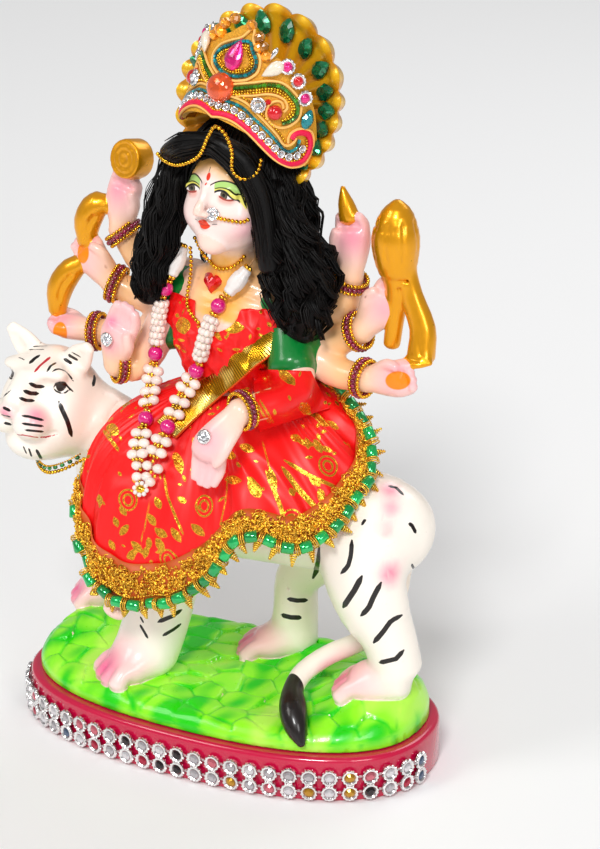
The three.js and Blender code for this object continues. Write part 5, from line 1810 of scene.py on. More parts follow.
def makeCrown():
    heap = Heap()
    around = 308
    turn = roundTurns(around)
    shares = np.concatenate([np.linspace(0.06, 0.98, 26), [1.0]])
    rows = [fanPoints(turn, np.full(around, s)) for s in shares]
    rows += [fanPoints(turn, np.full(around, s), back=True) for s in (0.985, 0.9, 0.6, 0.3, 0.06)]
    cx, cy, cz = crown["centre"]
    poles = inCrown([(cx, cy, cz), (cx, cy + crown["thickness"], cz)])
    # The fan's tint follows its ridges and carries painted light: painted highlight on the ridges, painted
    # shade towards the furrows
    relief = 0.5 + 0.5 * np.outer(np.interp(np.arange(len(rows)), [4, 14, 24], [0.2, 0.8, 1]), fanRidge(turn))
    heap.add(closedRings(rows, *poles), 0, [*relief.ravel(), 0.5, 0.5])
    turns = np.radians(list(crown["leaves"]))
    share = np.array(list(crown["leaves"].values()))
    centre, inner, outer = (fanPoints(turns, share + off) for off in (0, -0.05, 0.05))
    facing = np.cross(outer - inner, fanPoints(turns + 0.05, share) - fanPoints(turns - 0.05, share))
    facing = np.where((facing @ (crownTurn @ (0, -1, 0)))[:, None] > 0, facing, -facing)
    axes = axesFrom(facing, outer - inner)
    leaf = leafTemplate(9.8, 6.3, 2.3)
    rng = np.random.default_rng(8)
    heap.add(
        placed(leaf, centre + unit(facing) * 1.7, 1.0, axes), 1,
        each(rng.uniform(0.1, 0.9, len(turns)), leaf)
    )
    gold, tree, shader = finish("crownGold", None, 0.3, 0.35, coat=0.5, coatRough=0.12)
    # Painted light from the tint: bright gold on the ridges as painted highlight, darker gold in the furrows
    # as painted shade
    relief = number(tree, "tint")
    paintedLightGold = blend(tree, relief.within(0.75, 0.5), rgb("ffc61e"), rgb("b87208"))
    paintedLightGold = blend(tree, (relief - 1).size().within(0.3, 0.3), rgb("e0980e"), paintedLightGold)
    laid = useGroup(tree, brushwork, Colour=paintedLightGold, Size=6.0, Depth=0.25, Swell=0.5)
    plug(tree, shader["Base Color"], laid["Colour"])
    plug(tree, shader["Normal"], laid["Normal"])
    green = tinted("leafStone", rgb("0b7a4c"), 0.5, 1.6, 0.05, 0.5, 0.35, coat=1.0, coatRough=0.02)
    addPiece("fan_crown", heap.mesh("fanCrown", [gold, green]), "crown_gold", "crown", creaseAngle=50)


tiara = {
    "radius": 26,
    "reach": 86,
    "thickness": 2.4,
    "axis": (2, 6),
    "foot": 5,
    "dip": 7,
    "dipTurn": 58,
    "head": 34,
    "headTurn": 92,
    "headPower": 3.2,
    "leaf": 6.5,
    "leafTurn": 12,
}


def tiaraFoot(turn):
    return tiara["foot"] - tiara["dip"] * np.minimum(1, np.abs(turn) / tiara["dipTurn"]) ** 2


def tiaraHead(turn):
    leaf = tiara["leaf"] * np.exp(-((turn / tiara["leafTurn"]) ** 2))
    return tiara["head"] * (1 - (np.abs(turn) / tiara["headTurn"]) ** tiara["headPower"]) + leaf


def tiaraSpot(turn, height, off=0.0):
    # A place on the tiara: degrees from its middle, height, and how far it stands off the front
    turn, height = np.atleast_1d(turn).astype(float), np.atleast_1d(height).astype(float)
    angle = np.radians(turn)
    radius = tiara["radius"] + tiara["thickness"] + off
    ax, ay = tiara["axis"]
    return inCrown(np.stack([ax + radius * np.sin(angle), ay - radius * np.cos(angle), height], -1))


def tiaraOut(turn):
    angle = np.radians(np.atleast_1d(turn))
    return np.stack([np.sin(angle), -np.cos(angle), np.zeros(len(angle))], -1) @ crownTurn.T


def tiaraLine(marks, off, steps=40):
    line = Curve([(t, h, 0) for t, h in marks]).even(np.linspace(0, 1, steps))
    return line[:, :2], tiaraSpot(line[:, 0], line[:, 1], off)


tiaraMiddle = -4  # degrees: the work is even about the orange cabochon
tiaraLook = {
    "cord": 0.5,
    # lines of the work as degrees and heights, from the middle to her left, read off the picture
    "bandTop": [
        (-4, 13.4), (6, 14.4), (14, 14.5), (20, 14), (29, 11.8), (39, 9.2), (48, 6.6), (54, 4.2), (58, 4),
        (62, 5.6), (63, 7.6)
    ],
    "teal": [
        (-4, 11.6), (7, 12.4), (18, 12), (28, 9.8), (38, 7.6), (48, 4.8), (56, 2.4), (62, 2.4), (66, 4.6),
        (66, 7.4)
    ],
    "crystals": [
        (-4, 9.4), (2, 10), (12, 10.2), (20, 9.2), (27, 7.8), (34, 5.8), (42, 3.9), (49, 2), (56, 0.4),
        (64, 0.6), (70, 2.8), (70.5, 6)
    ],
    "seeds": [
        (-4, 7.6), (4, 8.6), (14, 8.8), (23, 7.5), (32, 5.5), (41, 3), (50, 0.6), (57, -0.9), (65, -1),
        (73, 1.4), (74.5, 5), (71.5, 8.2)
    ],
    "ribbon": [
        (-4, 6.3), (4, 7.4), (14, 7.5), (23, 6.2), (32, 4.3), (41, 1.8), (50, -0.5), (58, -1.9), (67, -1.9),
        (76, 0.7), (78, 5), (74, 9.2), (67, 10), (61, 8.8), (59.6, 6.8)
    ],
    "edge": [
        (-4, 4.9), (4, 6), (14, 6.1), (24, 4.7), (33, 2.6), (42, 0.2), (51, -1.9), (59, -3), (69, -3.1),
        (79, -0.2), (81, 5.4), (76, 10.4), (67, 11.5), (59.5, 10), (56.6, 7.4), (58, 5)
    ],
    "paisley": [
        (4, 18.6), (12, 20.4), (20, 22.2), (30, 24.5), (40, 25.2), (50, 23.2), (58, 19.8), (60, 15.2),
        (56, 11.8), (50, 9.8), (42, 9.8), (36, 12), (34.6, 15.2), (38, 18), (43.5, 18.4), (46, 16.6)
    ],
    "paisleyIn": [
        (10, 15.2), (17, 16.6), (23, 17.7), (32, 19.8), (40, 20.2), (46, 19.2), (48.6, 17), (47, 15.4)
    ],
    "drop": [
        (6, 20.2), (-4, 19.6), (-14, 20.8), (-21, 23), (-23, 26), (-19, 29.8), (-10, 33), (0, 36), (4, 39),
        (6, 40.6), (8, 39.4), (9, 36.6), (14, 33.4), (19, 30.5), (20, 26.4), (15, 22.6), (6, 20.2)
    ],
}


def beside(marks, away):
    # The marks moved sideways in the flattened work, away being to the left of the way they run
    degree = math.radians(tiara["radius"] + tiara["thickness"])
    flat = Curve([(t * degree, h, 0) for t, h in marks]).even(np.linspace(0, 1, 40))
    run = unit(np.gradient(flat, axis=0))
    flat = flat + np.stack([-run[:, 1], run[:, 0], run[:, 0] * 0], -1) * away
    return [(x / degree, h) for x, h, _ in flat]


def onBothSides(marks, off, steps=60):
    # A line of the work on the tiara, and the same on the other side of its middle
    for mirror in (False, True):
        places = [(min(max(2 * tiaraMiddle - t if mirror else t, -85), 85), h) for t, h in marks]
        yield tiaraLine(places, off, steps)[1]


def axesAlong(along, facing=(0, -1, 0.3)):
    # Axes with the first along a thread and the last as near as can be to a facing
    return axesFrom(np.cross(along, np.cross(facing, along)), along)


def evenShares(count):
    return (np.arange(count) + 0.5) / count


def beadRow(heap, line, spacing, shape, size, finishIndex, rng):
    curve = Curve(line)
    shares = evenShares(max(2, round(curve.length / spacing)))
    axes = axesAlong(curve.evenTangent(shares), (0, -1, 0.2))
    heap.scatter(rng, shape, curve.even(shares), size, axes, finishIndex)


def lengthwise(shape, flatness=1.0):
    # A turned shape laid with its axis along x
    points, faces = shape
    return points[:, [2, 0, 1]] * (1, 1, flatness), faces


def tiaraFinishes():
    # The finishes of the tiara's work, by name
    glass = {"coat": 1.0, "coatRough": 0.02}
    return {
        "felt": tinted("tiaraFelt", rgb("dda02a"), 0.1, 0.35, 0.6, 0.2, 0.25),
        "cord": brushed("peachCord", rgb("ffc46a"), 0.55, size=40, depth=0.3, swell=0.3),
        "ribbon": brushed("pinkRibbon", rgb("f0084a"), 0.5, size=14, depth=0.25, swell=0.2),
        "seeds": tinted("goldBead", rgb("f2ba30"), 0.4, 0.4, 0.2, 0.8, 0.1),
        "cups": bpy.data.materials["silverCup"],
        "clear": tinted("clearStone", rgb("e4e6ec"), 0.3, 0.8, 0.04, 0.8, 0.4, **glass),
        "teal": tinted("tealTube", rgb("0f8a92"), 0.6, 0.6, 0.12, 0.45, 0.3, coat=0.8),
        "green": tinted("greenTube", rgb("3f8a1a"), 0.6, 0.6, 0.15, 0.45, 0.3, coat=0.8),
        "orange": tinted("orangeCabochon", rgb("f05a22"), 0.2, 2.2, 0.05, 0.35, 0.25, **glass),
        "magenta": tinted("magentaStone", rgb("e0107a"), 0.3, 2.0, 0.05, 0.35, 0.4, **glass),
        "pearl": brushed("pearl", rgb("ece0cc"), 0.15, size=5, depth=0.2, coat=0.8),
        "red": tinted("redCabochon", rgb("d8121e"), 0.2, 2.4, 0.06, 0.2, 0.15, **glass),
        "amber": tinted("amberCrystal", rgb("e8921c"), 0.5, 1.4, 0.1, 0.3, 0.6, coat=1.0),
    }


def makeTiara():
    heap = Heap()
    looks = tiaraFinishes()
    finishes, finishOf = list(looks.values()), list(looks).index
    rng = np.random.default_rng(12)
    turns = np.linspace(-tiara["reach"], tiara["reach"], 73)
    front = [(share, -0.5) for share in np.linspace(0, 1, 12)]
    behind = [(share, -tiara["thickness"] + 0.4) for share in np.linspace(1, 0, 8)]
    foot, tall = tiaraFoot(turns), tiaraHead(turns) - tiaraFoot(turns)
    rows = np.array([tiaraSpot(turns, foot + tall * share, off) for share, off in front + behind])
    across = len(turns)
    faces = gridFaces(len(rows), across, closed=False)
    wrap = gridFaces(2, across, closed=False)
    wrap = np.where(wrap < across, wrap + (len(rows) - 1) * across, wrap - across)
    ends = []
    for column in (0, across - 1):
        rim = [r * across + column for r in range(len(rows))]
        fan = [(rim[0], rim[k], rim[k + 1]) for k in range(1, len(rim) - 1)]
        ends += fan if column == 0 else [f[::-1] for f in fan]
    heap.add((rows.reshape(-1, 3), np.concatenate([faces, wrap, np.array(ends)])), finishOf("felt"))
    bead = ball(6, 4)
    tubeAlong = lengthwise(lathe([(0, -0.5), (0.42, -0.5), (0.42, 0.5), (0, 0.5)], 6))
    look, cord = tiaraLook, tiaraLook["cord"]
    for title in ("bandTop", "edge", "paisley", "paisleyIn"):
        for line in onBothSides(look[title], 0.15):
            heap.add(tube(line, cord, 6), finishOf("cord"))
    for line in onBothSides(look["ribbon"], -0.1, 90):
        heap.add(tube(line, 1.2, 8), finishOf("ribbon"))
    for line in onBothSides(look["seeds"], 0.35):
        beadRow(heap, line, 1.15, bead, 0.56, finishOf("seeds"), rng)
    for line in onBothSides(look["teal"], 0.3):
        beadRow(heap, line, 1.6, tubeAlong, (1.45, 1.5, 1.5), finishOf("teal"), rng)
    axis = inCrown((*tiara["axis"], 0))
    for line in onBothSides(look["crystals"], 0.35):
        curve = Curve(line)
        centres = curve.even(evenShares(round(curve.length / 3.25)))
        outward = centres - axis
        outward = unit(outward - np.outer(outward @ crownTurn[:, 2], crownTurn[:, 2]))
        axes = axesFrom(outward, (0, 0, 1))
        heap.add(placed(cupTemplate(), centres, 0.47, axes), finishOf("cups"))
        crystal = gemTemplate(0.8, 0.7)
        heap.add(placed(crystal, centres + outward * 0.5, 1.0, axes), finishOf("clear"))
    for count, away, shape, size, spacing, title in (
        (10, -1.5, tubeAlong, (1.5, 1.7, 1.7), 1.65, "green"),
        (10, -2.75, bead, 0.55, 1.1, "seeds"),
        (9, -3.7, bead, 0.55, 1.1, "seeds"),
    ):
        for line in onBothSides(beside(look["paisley"][:count], away), 0.3):
            beadRow(heap, line, spacing, shape, size, finishOf(title), rng)
    for line in onBothSides(beside(look["bandTop"][:8], 1.2), 0.25):
        beadRow(heap, line, 1.1, bead, 0.5, finishOf("seeds"), rng)
    _, line = tiaraLine(look["drop"], 0.3, 90)
    heap.add(tube(line, cord, 6), finishOf("cord"))
    for away, shape, size, spacing, title in (
        (-1.6, tubeAlong, (1.45, 1.7, 1.7), 1.65, "teal"),
        (-3.0, bead, 0.55, 1.1, "seeds"),
        (-3.9, bead, 0.5, 1.0, "seeds"),
    ):
        inner = [m for k, m in enumerate(look["drop"]) if k not in (8, 9, 10)]
        _, line = tiaraLine(beside(inner, away), 0.3, 70)
        beadRow(heap, line, spacing, shape, size, finishOf(title), rng)
    addStones(heap, rng, finishOf)
    addPiece("beaded_tiara", heap.mesh("beadedTiara", finishes), "tiara_work", "tiara", creaseAngle=45)


def stoneSetter(heap, finishOf):
    # Sets stones on the tiara, each with a finish by name
    def setStone(turn, height, shape, size, title, off=0.3, lean=(0, 0, 1), tint=0.5):
        centre = tiaraSpot(turn, height, off)
        axes = axesFrom(tiaraOut(turn), crownTurn @ np.array(lean, float))
        heap.add(placed(shape, centre, size, axes), finishOf(title), tint)

    return setStone


def addStones(heap, rng, finishOf):
    dome = lathe([(0, -0.1), (1, -0.05), (0.98, 0.2), (0.8, 0.46), (0.5, 0.62), (0, 0.7)], 20)
    pearDrop = lathe(
        [(0, -1.25), (0.2, -0.95), (0.55, -0.4), (0.72, 0.1), (0.66, 0.55), (0.38, 0.88), (0, 1)], 14
    )
    pearAlong, cutPear = lengthwise(pearDrop, 0.75), flatShaded(lengthwise(pearDrop, 0.5))
    setStone = stoneSetter(heap, finishOf)
    setStone(tiaraMiddle, 16, dome, (5.6, 5.6, 6.4), "orange")
    setStone(-1, 28.6, cutPear, (5.6, 5.2, 6.4), "magenta", off=0.5, lean=(-0.1, 0, -1))
    for side in (-1, 1):

        def at(turn):
            return turn if side > 0 else 2 * tiaraMiddle - turn

        setStone(at(30.5), 29, pearAlong, (4.2, 3.6, 3.4), "pearl", off=1.2, lean=(side * 0.7, 0, 0.65))
        setStone(at(28), 15, cupTemplate(), 0.9, "cups", off=0.4)
        setStone(at(28), 15, gemTemplate(1.7, 1.3), 1.0, "clear", off=1.5)
        setStone(at(41), 14.2, dome, (2.8, 2.8, 3.4), "red")
        setStone(at(34), 17.2, gemTemplate(1.1, 0.9), 1.0, "red")
        setStone(at(66.5), 15.2, leafTemplate(7.4, 4.8, 1.6), 1.0, "teal", off=0.4)
        setStone(at(27), 34.2, pearAlong, (2.6, 1.4, 1.4), "cups", off=0.8, lean=(side * 0.3, 0, 1))
        for turn, height, title in ((39, 31.4, "magenta"), (49.5, 27.6, "red"), (58.5, 22.4, "magenta")):
            setStone(at(turn), height, cupTemplate(), 0.88, "cups", off=0.5)
            setStone(at(turn), height, dome, 1.7, title, off=1.3)
        for turn, height in ((4, 42.2), (13, 39.2), (18, 36.4), (22.5, 33.6), (15, 35.6)):
            crystal = flatShaded(ball(7, 5))
            setStone(at(turn), height - 1.2, crystal, 2.2, "amber", off=0.1, tint=rng.uniform(0, 1))


# Wig

wig = {
    "steps": 21,
    "thickness": 0.33,
    "lockWidth": 1.9,
    # locks, strands in each, how far they curl, the curl's pitch, whether the ends are cut level
    "bunches": {
        "right": (30, 12, 1.5, 19, True),
        "left": (50, 12, 2.7, 19, False),
        "back": (24, 8, 1.6, 20, False),
    },
    "capStrands": 150,
    "fringeStrands": 110,
    "strays": 16,
    "strayThickness": 0.45,
}
wigRings = {
    "right": [
        (-16, -2, 240, 6, 6), (-20, -6, 224, 7.6, 8), (-24.5, -8, 206, 9, 8.6), (-28, -9, 193, 9, 8),
        (-29.5, -9, 180, 7, 6)
    ],
    "left": [
        (20, 2, 240, 7, 7), (25, 0, 226, 9.5, 9.5), (27, -1, 214, 10, 9.5), (31, -1, 203, 14.5, 10.5),
        (31, -2, 192, 16.5, 9.5), (31.5, -3, 183, 14, 8), (31, -3, 173, 9.5, 6)
    ],
    "back": [
        (4, 12, 238, 14, 14), (2, 17, 214, 19, 9.5), (3, 17, 190, 24, 8), (2, 18, 166, 16, 6),
        (1, 17, 156, 9, 4)
    ],
}
fringeRings = [
    (-19, -9, 238, 5, 5), (-8, -18, 245, 5, 4.5), (5, -20, 248.5, 4, 4), (15, -17, 242, 6, 5.5),
    (20, -12, 229, 5.5, 6), (21.5, -9, 214, 5, 6), (22, -8, 200, 5, 5)
]
hairCap = {"centre": (4.5, 4, 229), "half": (22, 21, 24)}
faceOpening = {"centre": (1.6, -22, 218.5), "half": (16, 17, 25), "yaw": -9}


def ringPath(rings, turn, shares, depth):
    # Paths down a bunch, at a turn round it and a share of its half sizes, which may change on the way
    rings = np.array(rings, float)
    spots = shares * (len(rings) - 1)
    values = np.stack([np.interp(spots, np.arange(len(rings)), rings[:, i]) for i in range(5)], -1)
    centre = values[:, :3]
    along = unit(np.gradient(rings[:, :3], axis=0))
    run = np.stack([np.interp(spots, np.arange(len(rings)), along[:, i]) for i in range(3)], -1)
    side = unit(np.cross(run, backwards))
    back = np.cross(side, run)
    sideways = side * (values[:, 3] * depth * np.cos(turn))[:, None]
    return centre + sideways + back * (values[:, 4] * depth * np.sin(turn))[:, None]


def looseStrands(rng, rings, count):
    shares = [np.linspace(rng.uniform(0, 0.12), rng.uniform(0.8, 1), wig["steps"]) for _ in range(count)]
    paths = []
    for share in shares:
        turns = rng.uniform(0, 2 * math.pi) + 0.02 * np.cumsum(rng.normal(0, 1, wig["steps"]))
        paths.append(ringPath(rings, turns, share, rng.uniform(0.7, 1.05)))
    return np.array(paths)


def lockedStrands(rng, rings, locks, strandsEach, curl, pitch, level):
    # Strands gathered into curling locks
    paths, tints = [], []
    steps = wig["steps"]
    spread, bunchLength = ([0, 0.3, 0.9, 1.05], [1.5, 1, 0.8, 0.25]), 75
    for _ in range(locks):
        turn, phase = rng.uniform(0, 2 * math.pi, 2)
        shares = np.linspace(rng.uniform(0, 0.15), 1 if level else rng.uniform(0.78, 1.03), steps)
        turns = turn + 0.25 * np.sin(shares * 4 + phase)
        guide = ringPath(rings, turns, shares, rng.uniform(0.62, 0.92))
        wave = 2 * math.pi * shares * bunchLength / (pitch * rng.uniform(0.85, 1.25)) + phase
        size = curl * rng.uniform(0.6, 1.2) * np.clip(shares * 3.5, 0, 1)
        curled = np.stack([np.cos(wave), 0.8 * np.sin(wave), 0.4 * np.sin(2 * wave)], -1)
        guide = guide + curled * size[:, None]
        tint = rng.uniform(0, 1)
        for _ in range(strandsEach):
            angle = rng.uniform(0, 2 * math.pi) + 1.5 * shares
            reach = wig["lockWidth"] * math.sqrt(rng.uniform(0, 1)) * np.interp(shares, *spread)
            ends = rng.uniform(0, 0.6) * np.sin(shares * rng.uniform(12, 26) + angle)
            away = np.stack([np.cos(angle) * reach + ends, np.sin(angle) * reach, ends * 0.5], -1)
            paths.append(guide + away)
            tints.append(np.clip(tint + rng.uniform(-0.3, 0.3), 0, 1))
    return np.array(paths), np.array(tints)


def openFace(paths):
    # Pushes strands out of the opening that the face shows through
    centre, half = np.array(faceOpening["centre"]), np.array(faceOpening["half"])
    turn = math.radians(faceOpening["yaw"])
    c, s = math.cos(turn), math.sin(turn)
    x, y, z = np.moveaxis(paths - centre, -1, 0)
    local = np.stack([x * c + y * s, y * c - x * s, z], -1)
    size = np.linalg.norm(local / half, axis=-1, keepdims=True)
    x, y, z = np.moveaxis(np.where(size < 1, local / np.maximum(size, 0.3), local), -1, 0)
    return np.stack([x * c - y * s, x * s + y * c, z], -1) + centre


def hairMass():
    # The dark mass under the strands, a little inside them
    shapes = [(egg(hairCap["centre"], np.array(hairCap["half"]) - 0.8), 3)]
    shapes += [
        (limb([(*r[:3], r[3] * 0.72, r[4] * 0.72) for r in rings], up=backwards), 3)
        for rings in wigRings.values()
    ]
    shapes.append((limb([(*r[:3], r[3] - 0.8, r[4] - 0.8) for r in fringeRings], up=backwards), 2))
    voxel = 1.4
    low, high = np.array((-46, -30, 150)), np.array((56, 34, 258))
    _, sides, field = emptyGrid(low, ((high - low) / voxel).astype(int), voxel)
    for shape, softness in shapes:
        field = joinedSmooth(field, shape.fill(*sides, 8), softness)
    opening = egg(faceOpening["centre"], faceOpening["half"], faceOpening["yaw"]).fill(*sides, 8)
    points, quads = skinOf(-joinedSmooth(-field, opening, 1.5), low, voxel)
    return points, np.concatenate([quads[:, [0, 1, 2]], quads[:, [0, 2, 3]]])


def makeWig():
    heap = Heap()
    rng = np.random.default_rng(21)
    heap.add(hairMass(), 0, 0.2)
    many = 1.0
    groups = []
    for name, (locks, strandsEach, *look) in wig["bunches"].items():
        paths, tints = lockedStrands(rng, wigRings[name], int(locks * many), strandsEach, *look)
        groups.append((paths if name == "back" else openFace(paths), tints, 1))
    fringe = looseStrands(rng, fringeRings, int(wig["fringeStrands"] * many))
    top = capStrands(rng, int(wig["capStrands"] * many))
    groups += [(openFace(paths), rng.uniform(0, 1, len(paths)), 1) for paths in (fringe, top)]
    for name in ("left", "right"):
        paths, tints = lockedStrands(rng, wigRings[name], wig["strays"] // 2, 1, 2.4, 44, False)
        groups.append((openFace(paths), tints, wig["strayThickness"]))
    steps = wig["steps"]
    taper = np.interp(np.linspace(0, 1, steps), [0, 0.1, 0.85, 1], [0.7, 1, 1, 0.35])
    for paths, tints, thinness in groups:
        radii = wig["thickness"] * taper[None] * rng.uniform(0.6, 1.3, len(paths))[:, None] * thinness
        heap.add(strands(paths, radii, 3), 0, np.repeat(tints, steps * 3))
    made, tree, shader = finish("blackHair", None, 0.42, coat=0.05, coatRough=0.3, Specular_IOR_Level=0.2)
    colour = blend(tree, number(tree, "tint"), rgb("020101"), rgb("0b0706"))
    plug(tree, shader["Base Color"], colour)
    shine = noise(tree, 900, 2.0)
    plug(tree, shader["Roughness"], shine * 0.25 + 0.33)
    plug(tree, shader["Normal"], bumped(tree, shine, 0.3, 0.0003))
    addPiece("black_wig", heap.mesh("blackWig", [made]), "hair", "wig")


def capStrands(rng, count):
    steps = wig["steps"]
    centre, half = np.array(hairCap["centre"]), np.array(hairCap["half"])
    paths = []
    for _ in range(count):
        turn = rng.uniform(0, 2 * math.pi)
        drop = np.linspace(rng.uniform(0.1, 0.5), rng.uniform(1.6, 2.1), steps)
        turns = turn + 0.03 * np.cumsum(rng.normal(0, 1, steps))
        ring = np.stack([np.cos(turns) * np.sin(drop), np.sin(turns) * np.sin(drop), np.cos(drop)], -1)
        paths.append(centre + half * ring * rng.uniform(0.99, 1.05))
    return np.array(paths)


# Dress: one surface from the waist over the knees to the hem, round the seat

hemLine = [
    (25, 17, 150), (43, 15, 143), (58, 5, 125), (58, -12, 112), (48, -31, 100), (28, -39, 104),
    (16, -43, 86), (-5, -46, 72), (-27, -47, 72), (-38, -42, 86), (-43, -36, 98), (-46, -24, 109),
    (-39, 2, 123), (-20, 24, 128), (6, 28, 134),
]
kneeLine = [
    (20, 15, 150), (30, 12, 147), (42, 3, 141), (45.5, -11, 137), (37.5, -24.5, 133), (23.5, -34.5, 132),
    (8, -38, 124), (-10, -46, 117), (-27, -50.5, 121), (-41.5, -45, 131), (-48, -32, 136), (-45, -16, 138),
    (-32, 1, 141), (-13, 17, 141), (6, 21, 142),
]
dress = {
    "waistCentre": (0, 3, 147),
    "waistHalf": (16.5, 12.5),
    "kneePull": 1.35,
    "hemReach": 50,
    "pleats": 18,
    "pleatDepth": 1.3,
    "crimps": 47,
    "crimpDepth": 0.55,
    "gap": 0.5,
    "reliefRounds": 6,
    "from": 0.02,
    "to": 0.975,
    "thickness": 0.5,
    "standOff": 0.55,
    "columns": 396,
    "rows": 70,
    "flat": (0.27, 0.07),
    "flatArea": 0.012,
    # the fold over her elbow: its corners in the picture
    "foldCorners": [(252, 369), (311, 371), (330, 408), (259, 432)],
    "foldRows": 26,
    "foldColumns": 44,
    "foldRounds": 14,
    "foldGap": 1.3,
}
hemCurve, kneeCurve = Curve(hemLine, closed=True), Curve(kneeLine, closed=True)


def dressPoint(around, down):
    knee, hem = kneeCurve.at(around), hemCurve.at(around)
    centre = np.array(dress["waistCentre"], float)
    turn = np.arctan2(knee[:, 1] - centre[1], knee[:, 0] - centre[0])
    half = dress["waistHalf"]
    waist = centre + np.stack([half[0] * np.cos(turn), half[1] * np.sin(turn), np.zeros(len(turn))], -1)
    past = np.maximum(0, down - 1)[:, None] * dress["hemReach"]
    share = np.minimum(down, 1)[:, None]
    bow = 2 * share * (1 - share) * dress["kneePull"]
    point = waist * (1 - share) ** 2 + knee * bow + hem * share**2
    return point / ((1 - share) ** 2 + bow + share**2) + unit(hem - knee) * past


def onDress(around, down, off=0.0, folds=True):
    # A place on the dress, and its outward way: share round it, share from waist (0) to hem (1)
    around, down = (np.atleast_1d(v).astype(float) for v in np.broadcast_arrays(around, down))
    step = 0.004
    across = dressPoint(around + step, down) - dressPoint(around - step, down)
    downwards = dressPoint(around, down + step) - dressPoint(around, down - step)
    outward = unit(np.cross(across, downwards))
    fade = np.minimum(1, down) ** 1.5
    wave = dress["pleatDepth"] * fade * np.cos(2 * math.pi * dress["pleats"] * around)
    if folds:
        drift = dress["crimps"] * around + 0.9 * np.sin(4 * down + 14 * around) + 1.3 * np.sin(31 * around)
        crimp = 1 - 2 * np.abs(np.sin(math.pi * drift)) ** 1.4
        patchy = 0.55 + 0.45 * np.sin(2 * math.pi * (5 * around + 0.8 * down) + 1)
        wave = wave + dress["crimpDepth"] * np.clip(down * 2.5, 0.25, 1) * crimp * patchy
        wave = wave + 0.35 * np.sin(2 * math.pi * (3 * around + 1.4 * down)) * fade
    return dressPoint(around, down) + outward * np.reshape(off + wave, (-1, 1)), outward


printMarks = {
    # Foil motifs seen in the picture: places there, and sizes there
    "rings": [(204.4, 506), (168, 560), (328, 466), (292, 520), (104, 404), (128, 500)],
    "leaves": [
        # place, length, width, turn in the picture in degrees
        ((178.7, 463), 22, 9, 75), ((126, 404), 14, 8, 20), ((120, 398), 12, 8, 70),
        ((230, 455), 13, 8, 20), ((160, 545), 16, 8, 60), ((176, 535), 18, 7, 55), ((198, 530), 18, 8, 40),
        ((152, 520), 14, 7, 60), ((124, 530), 15, 7, -50), ((137, 547), 17, 7, 45),
        ((132, 554), 15, 7, -40), ((146, 552), 14, 6, -75), ((252, 484), 14, 8, 80),
        ((258, 490), 16, 7, 75), ((273, 478), 22, 6, 72), ((104, 385), 18, 9, 80), ((112, 428), 13, 9, 10),
        ((306, 443), 18, 6, 15), ((318, 446), 16, 7, 60), ((326, 449), 15, 5, 20), ((292, 492), 9, 6, 60),
        ((322, 500), 12, 5, 40), ((247, 448), 16, 8, 20), ((233, 480), 17, 8, 5), ((158, 503), 13, 7, 65),
        ((161, 533), 15, 8, 30), ((149, 543), 12, 6, 85), ((123, 511), 12, 6, 50), ((116, 522), 11, 6, 70),
        ((117, 400), 11, 8, 60), ((114, 431), 12, 9, 20), ((96, 398), 11, 7, 30), ((296, 438), 12, 7, 20),
        ((315, 482), 14, 6, 35), ((321, 494), 12, 7, 70), ((136, 480), 11, 6, 40), ((190, 560), 13, 7, 20),
        ((214, 540), 12, 7, 70), ((182, 500), 11, 6, 30), ((100, 500), 12, 6, 75), ((112, 545), 12, 6, 60),
        ((183, 325.7), 17, 15, 80), ((232.7, 327), 23, 12, 5), ((241, 304), 24, 8, -55),
    ],
    "sheenStreaks": [
        # painted highlights: gold lines along the ridges of folds, where the cloth catches the light; places
        # in the picture, width there
        ([(254, 397), (262, 413), (270, 424)], 2.2),
        ([(258, 397), (266, 410), (274, 424)], 2.2),
        ([(266, 470), (274, 490), (281, 508), (284, 520)], 4.2),
        ([(282, 467), (298, 489), (320, 512)], 5.4),
        ([(284, 460), (310, 476), (340, 489)], 3.8),
        ([(95, 418), (106, 434), (120, 452)], 3.6),
        ([(150, 500), (146, 522), (140, 545)], 1.6),
        ([(164, 474), (167, 495), (176, 518), (184, 536)], 2.6),
        ([(262, 362), (278, 369), (294, 384)], 9),
        ([(301, 404), (314, 417), (337, 428)], 10),
        ([(249, 484), (252, 492), (258, 497)], 4),
        ([(262, 440), (268, 462), (272, 478)], 1.6),
        ([(228, 470), (226, 500), (219, 530)], 1.5),
    ],
}
hiddenPrint = {"leaves": 90, "rings": 9, "leaf": (6.4, 2.8), "specks": 150}


def nearestMarks(points, centres, lengthWays, widthWays, sizes):
    # How far each point is outside the nearest of some pointed leaves
    value = np.full(len(points), 3.0)
    for centre, along, across, (length, width) in zip(centres, lengthWays, widthWays, sizes):
        away = points - centre
        near = np.sum(away**2, 1) < (length * 0.8) ** 2
        u = np.abs(away[near] @ along) / (length / 2)
        v = np.abs(away[near] @ across)
        edge = v - width / 2 * np.clip(1 - u**2, -0.4, 1)
        value[near] = np.minimum(value[near], np.clip(edge, -2, 3))
    return value


